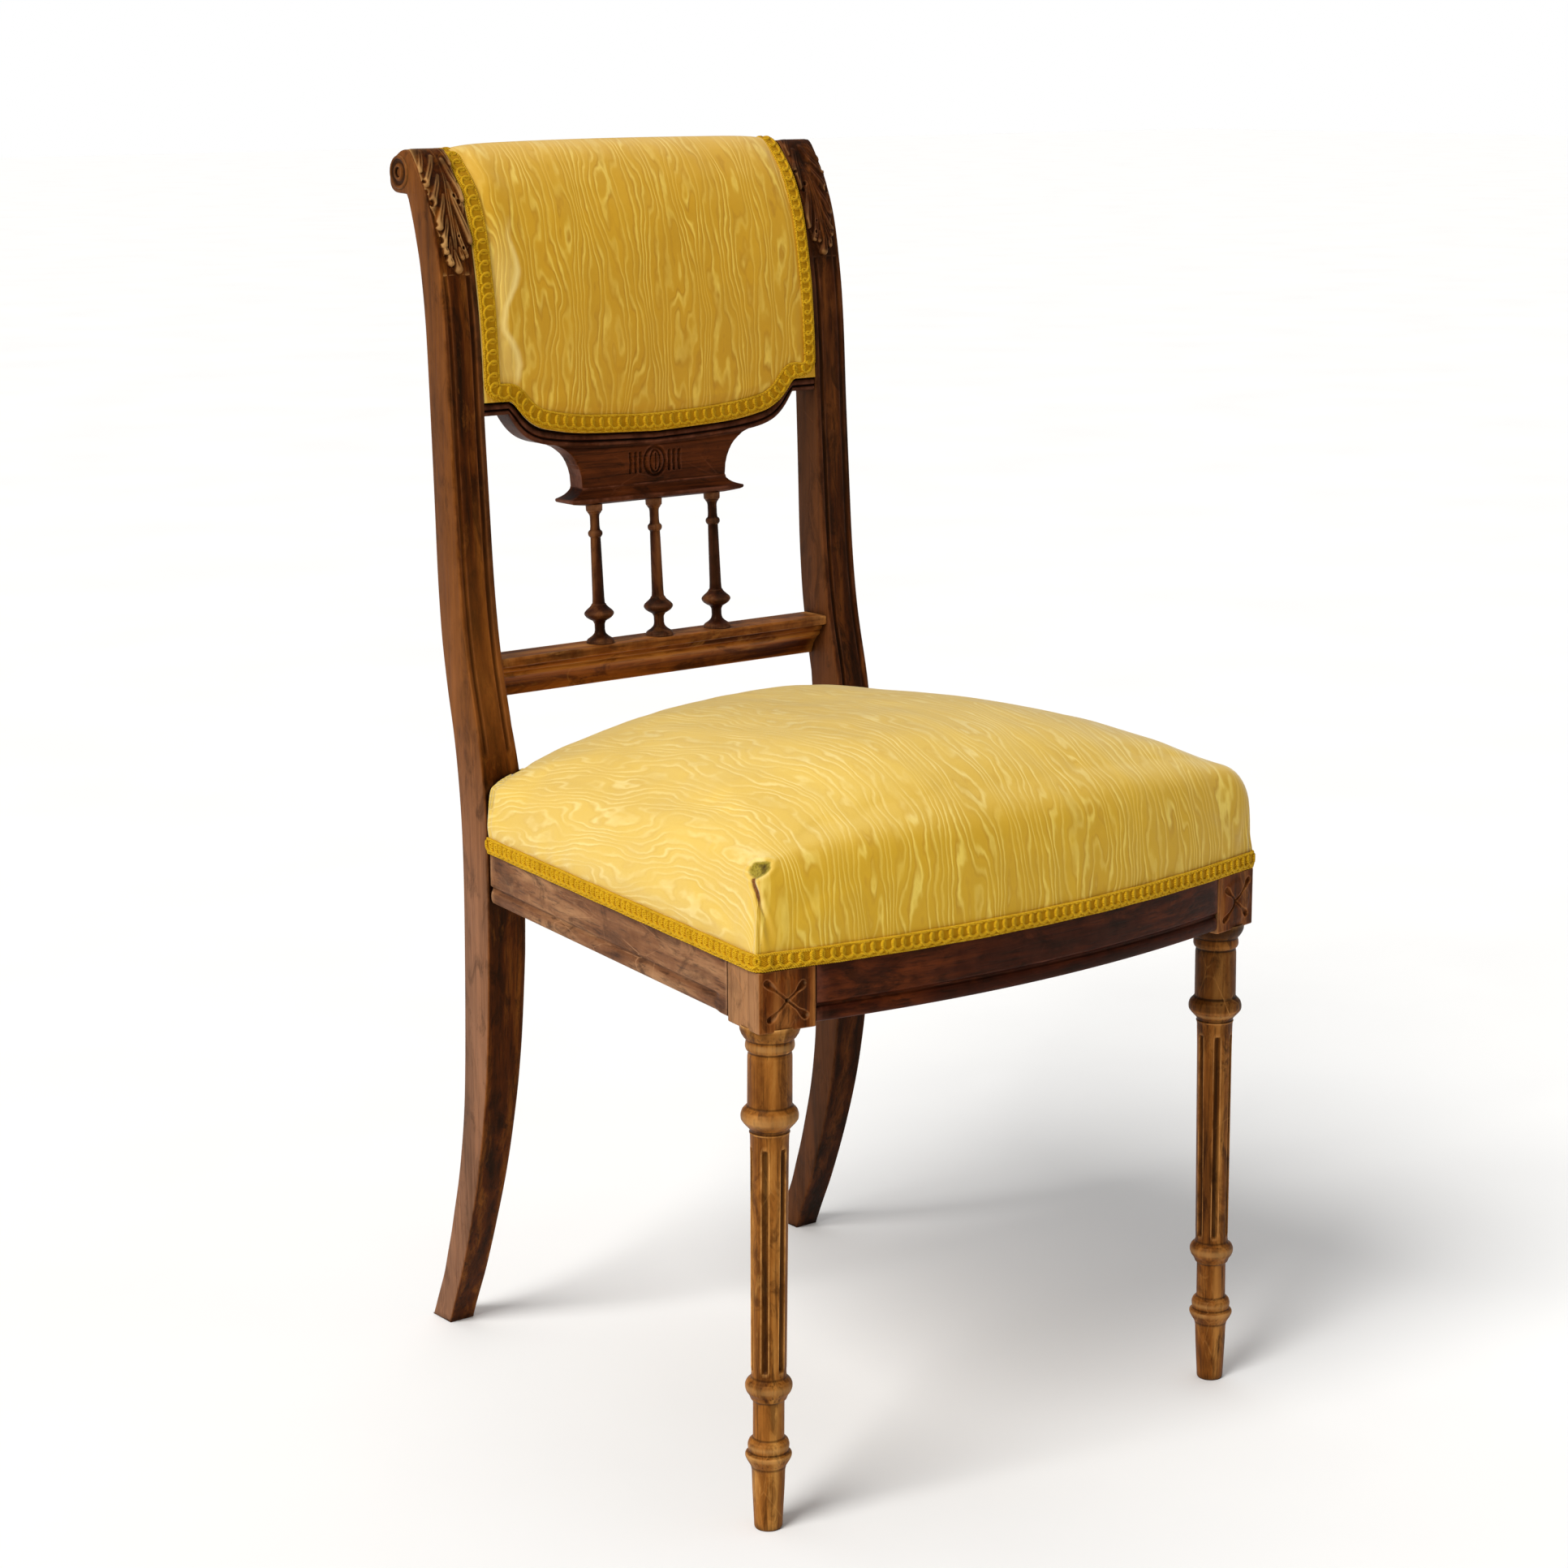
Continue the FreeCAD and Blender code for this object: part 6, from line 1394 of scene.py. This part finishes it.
faces = grid(nu, nv)
prev = rim
base = len(P2)
for k in range(3):
    cur = [base + k * len(rim) + i for i in range(len(rim))]
    m = len(rim)
    for i in range(m):
        j = (i + 1) % m
        faces.append((prev[i], prev[j], cur[j], cur[i]))
    prev = cur
c = len(verts) - 1
for i in range(len(rim)):
    faces.append((prev[i], prev[(i + 1) % len(rim)], c))
uv = np.vstack([UV] + [UV[rim]] * 3 + [[(5.0, 5.0)]])
seat = piece("seat_cushion", verts, faces, SEAT_CLOTH, ("seat_cover", "seat_stuffing"), sharp=0, uv=uv)
att = seat.data.attributes.new("stain", "FLOAT", "POINT")
att.data.foreach_set("value", np.r_[stain, np.zeros(len(verts) - len(stain))].astype(np.float32))
att = seat.data.attributes.new("torn", "FLOAT", "POINT")
att.data.foreach_set("value", np.r_[torn, np.zeros(len(verts) - len(torn))].astype(np.float32))

# --------------------------------------------------------- back upholstery
PANEL = [(407.1, 685.0), (408.0, 702.0), (409.1, 722.5), (410.2, 743.0), (411.2, 765.0), (412.9, 786.3),
         (415.1, 805.8), (417.3, 820.3), (419.3, 832.2), (421.5, 843.2), (424.6, 855.1), (428.2, 865.7),
         (432.5, 876.4), (436.5, 884.9), (441.3, 892.8), (446.8, 900.4), (452.8, 907.8), (459.4, 913.4),
         (467.0, 916.0), (475.0, 914.2), (481.2, 908.4), (484.4, 900.4), (484.3, 892.0), (481.2, 884.8),
         (475.4, 879.6), (468.6, 877.6)]
PC = cubic(PANEL, step=1.0)
PS = np.r_[0, np.cumsum(np.linalg.norm(np.diff(PC, axis=0), axis=1))]
pt = np.gradient(PC, axis=0)
pt /= np.linalg.norm(pt, axis=1)[:, None]
PN = np.column_stack([-pt[:, 1], pt[:, 0]])          # outwards: -y on the front
TOP_S = float(PS[np.argmax(PC[:, 1])])
END_S = float(PS[-1])
HALF = 155.3


def on_panel(x, s, h):
    y, z = interp(s, PS, PC[:, 0]), interp(s, PS, PC[:, 1])
    ny, nz = interp(s, PS, PN[:, 0]), interp(s, PS, PN[:, 1])
    return np.stack([x, y + ny * h, z + nz * h], -1)


def s_of_z(z):
    k = int(np.argmax(PC[:, 1]))
    return interp(z, PC[:k, 1], PS[:k])


bz = bl[bl[:, 0] >= 0][::-1]


def braid_z(x):
    return interp(np.abs(x), bz[:, 0], bz[:, 1])


def puff(x, s):
    """Height of the padding over the plain curve of the panel."""
    z0 = s_of_z(braid_z(x))
    e = np.minimum(HALF - np.abs(x) + 2.6 * smooth(x, 100, 130), (s - z0))
    front = 1 - smooth(s, TOP_S - 30, TOP_S - 4)
    h = 1.7 * smooth(e, 13.5, 24) * front
    h += 0.9 * front * (1 - (x / HALF) ** 2) * smooth(e, 15, 60)
    # fuller strip beside the left braid
    h += 0.8 * front * np.exp(-((x + 128.0) / 9.0) ** 2) * smooth(s, s_of_z(745.0), s_of_z(775.0))
    # the crest sinks towards its left end
    crest = smooth(s, TOP_S - 60, TOP_S - 12) * (1 - smooth(s, TOP_S + 26, TOP_S + 44))
    sink = 6.0 * np.exp(-(x + HALF) / 13.0) + 2.2 * np.exp(-(x + HALF) / 60.0) + 3.9 * np.exp(-(HALF - x) / 15.0)
    room = np.hypot(interp(s, PS, PC[:, 0]) - 467.0, interp(s, PS, PC[:, 1]) - 895.0) - 14.5
    h -= crest * (np.minimum(sink, np.clip(room, 0, 6.5)) - 0.5 * np.exp(-(x / 80.0) ** 2))
    return h


nxx, nss = 200, 216
xs = np.linspace(-HALF, HALF, nxx)
ts = np.linspace(0, 1, nss)
X, T = np.meshgrid(xs, ts, indexing="ij")
S0 = s_of_z(braid_z(X) + 0.6)
S = S0 + T * (END_S - S0)
base_h = puff(X, S)
G = on_panel(X, S, base_h)
N = normals_of(G)
if N[nxx // 2, nss // 3, 1] > 0:
    N = -N
P = G.reshape(-1, 3)
Nf = N.reshape(-1, 3)
move = np.zeros(len(P))
cx, ct = np.meshgrid(np.linspace(-HALF + 1, HALF - 1, 80), np.linspace(0, 1, 70), indexing="ij")
c0 = s_of_z(braid_z(cx) + 2)
cs = c0 + ct * (TOP_S + 14 - c0)
outer = on_panel(cx, cs, puff(cx, cs) - 1.5)
inner = on_panel(cx, cs, -16.0)
cn = 80 * 70
cf = grid(80, 70) + [tuple(i + cn for i in f[::-1]) for f in grid(80, 70)]
rim = [i * 70 for i in range(80)] + [79 * 70 + j for j in range(1, 70)] + \
      [i * 70 + 69 for i in range(78, -1, -1)] + [j for j in range(68, 0, -1)]
for a, b in zip(rim, rim[1:] + rim[:1]):
    cf.append((a, b, b + cn, a + cn))
tree = relaxed("back_sim", np.vstack([outer.reshape(-1, 3), inner.reshape(-1, 3)]), cf,
               lambda m: (np.abs(m[:, 0]) > 140) | (m[:, 1] > interp(m[:, 2], PC[:200, 1], PC[:200, 0]) + 8), 5.0, 8.0)
move = 0.6 * swell(tree, P, Nf, 9.0, -1.3, 1.3)
mg = move.reshape(nxx, nss)
for _ in range(4):
    mg = (mg + np.roll(mg, 1, 0) + np.roll(mg, -1, 0) + np.roll(mg, 1, 1) + np.roll(mg, -1, 1)) / 5.0
move = mg.ravel()
Xf, Sf = X.ravel(), S.ravel()
free = smooth(HALF - np.abs(Xf), 13, 22) * smooth(Sf - S0.ravel(), 13, 22) * (1 - smooth(Sf, TOP_S - 16, TOP_S))
move = move * free + 0.5 * noise_field(P, 90.0, 11) * free + 0.25 * noise_field(P, 30.0, 12) * free
# puckers where the braid is sewn down
e = HALF - np.abs(Xf)
sew = np.exp(-((e - 16.5) / 3.0) ** 2) * free
move += 0.35 * sew * np.sin(Sf / 4.4 + 1.3 * np.sin(Sf / 17.0))
OUT = P + Nf * move[:, None]
depth = 1.6 + 3.2 * (1 - smooth(Sf, s_of_z(835.0), s_of_z(880.0)))
depth = np.minimum(depth, 1.6 + 3.4 * smooth(Sf - S0.ravel(), 0.0, 3.0))
INN = on_panel(Xf, Sf, np.minimum(-depth, base_h.ravel() - 1.3))
n = nxx * nss
faces = grid(nxx, nss) + [tuple(i + n for i in f[::-1]) for f in grid(nxx, nss)]
rim = [i * nss for i in range(nxx)] + [(nxx - 1) * nss + j for j in range(1, nss)] + \
      [i * nss + nss - 1 for i in range(nxx - 2, -1, -1)] + [j for j in range(nss - 2, 0, -1)]
for a, b in zip(rim, rim[1:] + rim[:1]):
    faces.append((a, b, b + n, a + n))
uv = np.column_stack([Xf / 100.0 + 12.0, Sf / 100.0 + 3.0])
back = piece("back_pad", np.vstack([OUT, INN]), faces, BACK_CLOTH, ("back_cover", "back_stuffing"), sharp=55,
             uv=np.vstack([uv, uv]))

# outside back: one stretched sheet from the crest roll to the shield rail
REAR = [(432.2, 693.0), (432.4, 725.0), (433.0, 748.0), (434.2, 765.0), (436.2, 786.3), (438.9, 805.8),
        (442.4, 822.0), (446.4, 838.0), (450.2, 851.0), (453.4, 861.0), (456.2, 869.0), (458.6, 876.0)]
RC = cubic([(y - 0.6, z) for y, z in REAR], step=1.0)
RS = np.r_[0, np.cumsum(np.linalg.norm(np.diff(RC, axis=0), axis=1))]
nx2, ns2 = 90, 90
X, T = np.meshgrid(np.linspace(-HALF, HALF, nx2), np.linspace(0, 1, ns2), indexing="ij")
z0 = braid_z(X) + 1.4
s0 = interp(z0, RC[:, 1], RS)
S = s0 + T * (RS[-1] - s0)
sag = -0.5 * np.sin(math.pi * np.clip((S - s0) / (RS[-1] - s0), 0, 1)) * (1 - (X / HALF) ** 2)
e = np.minimum(HALF - np.abs(X), S - s0)
sag = sag + 0.25 * np.exp(-e / 5.0) * np.sin((S + X) / 6.5)
Y, Z = interp(S, RS, RC[:, 0]), interp(S, RS, RC[:, 1])
o = np.stack([X, Y + 1.0 + sag, Z - 0.3 * sag], -1).reshape(-1, 3)
i_ = np.stack([X, Y + 0.1 + sag, Z - 0.3 * sag], -1).reshape(-1, 3)
n = nx2 * ns2
faces = grid(nx2, ns2) + [tuple(i + n for i in f[::-1]) for f in grid(nx2, ns2)]
rim = [i * ns2 for i in range(nx2)] + [(nx2 - 1) * ns2 + j for j in range(1, ns2)] + \
      [i * ns2 + ns2 - 1 for i in range(nx2 - 2, -1, -1)] + [j for j in range(ns2 - 2, 0, -1)]
for a, b in zip(rim, rim[1:] + rim[:1]):
    faces.append((a, b, b + n, a + n))
uv = np.column_stack([X.ravel() / 100.0 + 31.0, S.ravel() / 100.0 + 9.0])
rear = piece("outside_back", np.vstack([o, i_]), faces, REAR_CLOTH, ("outside_back_cover",), sharp=55,
             uv=np.vstack([uv, uv]))

# ------------------------------------------------------------------ braid
def resample(path, extra, step):
    d = np.r_[0, np.cumsum(np.linalg.norm(np.diff(path, axis=0), axis=1))]
    n = max(2, int(round(d[-1] / step)))
    q = np.linspace(0, d[-1], n + 1)
    p = np.column_stack([interp(q, d, path[:, k]) for k in range(3)])
    e = np.column_stack([interp(q, d, extra[:, k]) for k in range(3)])
    return p, e / np.linalg.norm(e, axis=1)[:, None], q


def braid(path, normal, width, pitch, lift=0.25, cords=(1.15, 1.05), bead=1.3, amp=None, double=False, seed=1, wide=None):
    """Gimp laid along a path: ground, two twisted edge cords and a running scroll.
    Returns the ground shell, the scroll shells and the cord shells."""
    p, nr, q = resample(path, normal, 0.5)
    t = np.gradient(p, axis=0)
    t /= np.linalg.norm(t, axis=1)[:, None]
    b = np.cross(nr, t)
    if b[len(b) // 2, 2] < 0 and abs(b[len(b) // 2, 2]) > 0.5:
        b = -b
    if wide is not None:
        b = b * wide(p)[:, None]
    rs = np.random.RandomState(seed)
    ground, scroll, cord = Parts(), Parts(), Parts()
    # ground
    pg, ng, qg = p[::4], nr[::4], q[::4]
    bg = b[::4]
    hw = width / 2 - 0.6
    sec = softened([(-hw, 0.1), (hw, 0.1), (hw, 1.65), (-hw, 1.65)], 0.35, 2)
    rows = [pg[i] + np.outer(sec[:, 0], bg[i]) + np.outer(sec[:, 1] + lift * 0, ng[i]) for i in range(len(pg))]
    ground.add(*swept(rows))
    for side, r in ((1, cords[0]), (-1, cords[1])):
        for ph in (0.0, math.pi):
            a = 2 * math.pi * q / 3.4 + ph
            w = side * (width / 2 - r)
            wob = 0.12 * np.sin(q / 9.0 + side)
            c = p + b * (w + wob + 0.52 * r * np.cos(a))[:, None] + nr * (0.75 + lift + 0.52 * r * np.sin(a) + 0.3)[:, None]
            cord.add(*tube(c, 0.60 * r, 6))
    # running scroll with slightly uneven loops
    amp = amp or (width / 2 - 2.6)
    n = int(round(q[-1] / pitch))
    steps = 22
    ph = np.linspace(0, 2 * math.pi * n, n * steps + 1)
    jit = interp(ph, np.arange(0, n + 1) * 2 * math.pi, rs.uniform(-0.09, 0.09, n + 1) * pitch)
    for k in ((0, 1) if double else (0,)):
        along = (ph / (2 * math.pi)) * pitch - 0.36 * pitch * np.sin(ph + k * math.pi) * (1 if not double else 0.75) + jit
        along = np.clip(along * q[-1] / (n * pitch), 0, q[-1])
        acr = amp * np.cos(ph + k * math.pi)
        out = 1.60 + lift + 0.35 * np.sin(ph + k * math.pi)
        pp = np.column_stack([interp(along, q, p[:, j]) for j in range(3)])
        bb = np.column_stack([interp(along, q, b[:, j]) for j in range(3)])
        nn = np.column_stack([interp(along, q, nr[:, j]) for j in range(3)])
        scroll.add(*tube(pp + bb * acr[:, None] + nn * out[:, None], bead * (1 + 0.10 * np.sin(ph * 2)), 7))
    return ground, scroll, cord


def braid_piece(name, shells, node):
    g, sc, co = shells
    base = piece(name, g.verts(), g.f, GIMP_DARK, (node,), sharp=0)
    a = piece(name + "_scroll", sc.verts(), sc.f, GIMP, (), sharp=0, recalc=True)
    c = piece(name + "_cords", co.verts(), co.f, GIMP_LIGHT, (), sharp=0, recalc=True)
    return base, a, c


# seat braid, from the left post round the front to the right post
run = [(side_x(y) + 0.7, y) for y in np.linspace(371.8, 2.0, 60)]
cxy = np.array([side_x(-12.5) + 0.7, -15.0])
corner = [(side_x(-4.0) + 0.7, -4.0), (side_x(-8.5) + 0.4, -9.0), (cxy[0] - 1.4, -12.9), (cxy[0] - 4.6, front_line(220.0) - 0.1)]
fr = [(x, front_line(x) - 0.1) for x in np.linspace(217.0, 0.0, 36)]
half = np.array(run[:-1] + corner + fr)
plan = np.vstack([half * np.array([-1, 1]), half[:-1][::-1]])
plan = cubic(plan, step=1.0)
tt = np.gradient(plan, axis=0)
tt /= np.linalg.norm(tt, axis=1)[:, None]
nn = np.column_stack([tt[:, 1], -tt[:, 0]])
if np.mean(np.sum(nn * (plan - np.array([0, 180.0])), axis=1)) < 0:
    nn = -nn
path = np.column_stack([plan, np.full(len(plan), 403.3)])
nor = np.column_stack([nn, np.zeros(len(nn))])
braid_piece("seat_braid", braid(path, nor, 12.4, 7.6, seed=4), "seat_gimp")
bx = np.linspace(-151.5, 151.5, 200)
path = np.column_stack([bx, np.full(200, 406.9), np.full(200, 403.3)])
nor = np.tile([0.0, 1.0, 0.0], (200, 1))
braid_piece("seat_braid_back", braid(path, nor, 12.4, 7.6, seed=5, lift=0.1), "seat_gimp_back")

# back braid: over the crest, down the left side, along the shield, up the right side
hb = 148.3
low = [(131.5, 733.6), (126.6, 730.6), (121.6, 725.0), (114.8, 718.4), (106.0, 713.4), (94.0, 710.3), (79.0, 707.9),
       (48.0, 705.3), (16.0, 703.9), (0.0, 703.7)]
sides = [(hb, s) for s in np.linspace(END_S - 5.0, float(s_of_z(745.0)), 75)]
bend = [(hb - 0.4, float(s_of_z(739.5))), (hb - 3.2, float(s_of_z(735.6))), (hb - 8.0, float(s_of_z(734.2)))]
half = sides + bend + [(x, float(s_of_z(z))) for x, z in low]
half = np.array(half)
xs2 = np.vstack([half * np.array([-1, 1]), half[:-1][::-1]])
xs2 = cubic(xs2, step=1.0)
xs2[:, 0] += 1.3 * smooth(xs2[:, 0], 128, 147)
settle = 0.1 + np.where(xs2[:, 0] < 0, 0.9, 0.6) * smooth(xs2[:, 1], TOP_S - 34, TOP_S - 6)
surf = on_panel(xs2[:, 0], xs2[:, 1], puff(xs2[:, 0], xs2[:, 1]) - settle)
nrm = np.column_stack([np.zeros(len(xs2)), interp(xs2[:, 1], PS, PN[:, 0]), interp(xs2[:, 1], PS, PN[:, 1])])
k = np.ones(7) / 7.0
sm = np.column_stack([np.convolve(np.pad(surf[:, j], 3, "edge"), k, "valid") for j in range(3)])
keep = np.minimum(np.arange(len(surf)), np.arange(len(surf))[::-1]) > 12
surf = np.where(keep[:, None] & (xs2[:, 1] > TOP_S - 60)[:, None], sm, surf)
braid_piece("back_braid", braid(surf, nrm, 13.6, 8.2, seed=6, bead=1.2, amp=4.0, lift=-0.1,
                                  wide=lambda q: 1 - 0.2 * smooth(q[:, 0], 128, 147)), "back_gimp")

# ------------------------------------------------------- camera and light
cam_data = bpy.data.cameras.new("camera")
cam = bpy.data.objects.new("camera", cam_data)
scene.collection.objects.link(cam)
az, el, roll = math.radians(-37.54418), math.radians(12.50286), math.radians(-0.32199)
back_dir = Vector((math.sin(az) * math.cos(el), -math.cos(az) * math.cos(el), math.sin(el)))
right = (-back_dir).cross(Vector((0, 0, 1))).normalized()
up = right.cross(-back_dir)
r2 = math.cos(roll) * right + math.sin(roll) * up
u2 = -math.sin(roll) * right + math.cos(roll) * up
m = Matrix.Identity(4)
for i in range(3):
    m[i][0], m[i][1], m[i][2] = r2[i], u2[i], back_dir[i]
m.translation = Vector((-1.4636, -1.87393, 0.9775))
cam.matrix_world = m
cam_data.sensor_width = 36.0
cam_data.lens = 75.44
cam_data.clip_end = 60.0
scene.camera = cam


def area(name, loc, target, size, power, color=(1, 1, 1)):
    d = bpy.data.lights.new(name, "AREA")
    d.shape = "DISK"
    d.size = size
    d.energy = power
    d.color = color
    o = bpy.data.objects.new(name, d)
    scene.collection.objects.link(o)
    o.location = loc
    o.rotation_euler = (Vector(target) - Vector(loc)).to_track_quat("-Z", "Y").to_euler()
    return o


def sun(name, direction, strength, angle, color=(1, 1, 1)):
    d = bpy.data.lights.new(name, "SUN")
    d.energy = strength
    d.angle = math.radians(angle)
    d.color = color
    o = bpy.data.objects.new(name, d)
    scene.collection.objects.link(o)
    o.rotation_euler = (-Vector(direction)).to_track_quat("-Z", "Y").to_euler()
    return o


sun("window", (-0.70, -0.12, 0.70), 2.85, 30, (1.0, 0.985, 0.955))
sun("overhead", (0.15, 0.25, 0.95), 0.60, 60, (1.0, 1.0, 1.0))

w = bpy.data.worlds.new("studio")
scene.world = w
w.use_nodes = True
wt = w.node_tree
bg = wt.nodes["Background"]
bg.inputs[0].default_value = (1.0, 1.0, 1.0, 1)
bg.inputs[1].default_value = 0.30
seen = wt.nodes.new("ShaderNodeBackground")
seen.inputs[0].default_value = (1.0, 1.0, 1.0, 1)
seen.inputs[1].default_value = 1.0
path_info = wt.nodes.new("ShaderNodeLightPath")
pick = wt.nodes.new("ShaderNodeMixShader")
wt.links.new(path_info.outputs["Is Camera Ray"], pick.inputs[0])
wt.links.new(bg.outputs[0], pick.inputs[1])
wt.links.new(seen.outputs[0], pick.inputs[2])
wt.links.new(pick.outputs[0], wt.nodes["World Output"].inputs[0])

# floor: one large flat plane
fl = Nodes("studio_floor")
fc = fl.noise(fl.mapping(fl.coord(), (3, 3, 3)), 1.0, 3, 0.5)
FLOOR = fl.done(fl.ramp(fc, [(0.3, (0.925, 0.925, 0.925)), (0.7, (0.95, 0.95, 0.95))]), fl.ramp(fc, [(0.3, 0.75), (0.7, 0.85)]),
                Specular_IOR_Level=0.2)
me = bpy.data.meshes.new("floor")
me.from_pydata([(-30, -30, 0), (30, -30, 0), (30, 30, 0), (-30, 30, 0)], [], [(0, 1, 2, 3)])
floor = bpy.data.objects.new("floor", me)
scene.collection.objects.link(floor)
me.materials.append(FLOOR)

scene.view_settings.view_transform = "Standard"
scene.view_settings.look = "None"
scene.view_settings.exposure = 0.0
scene.view_settings.gamma = 1.0
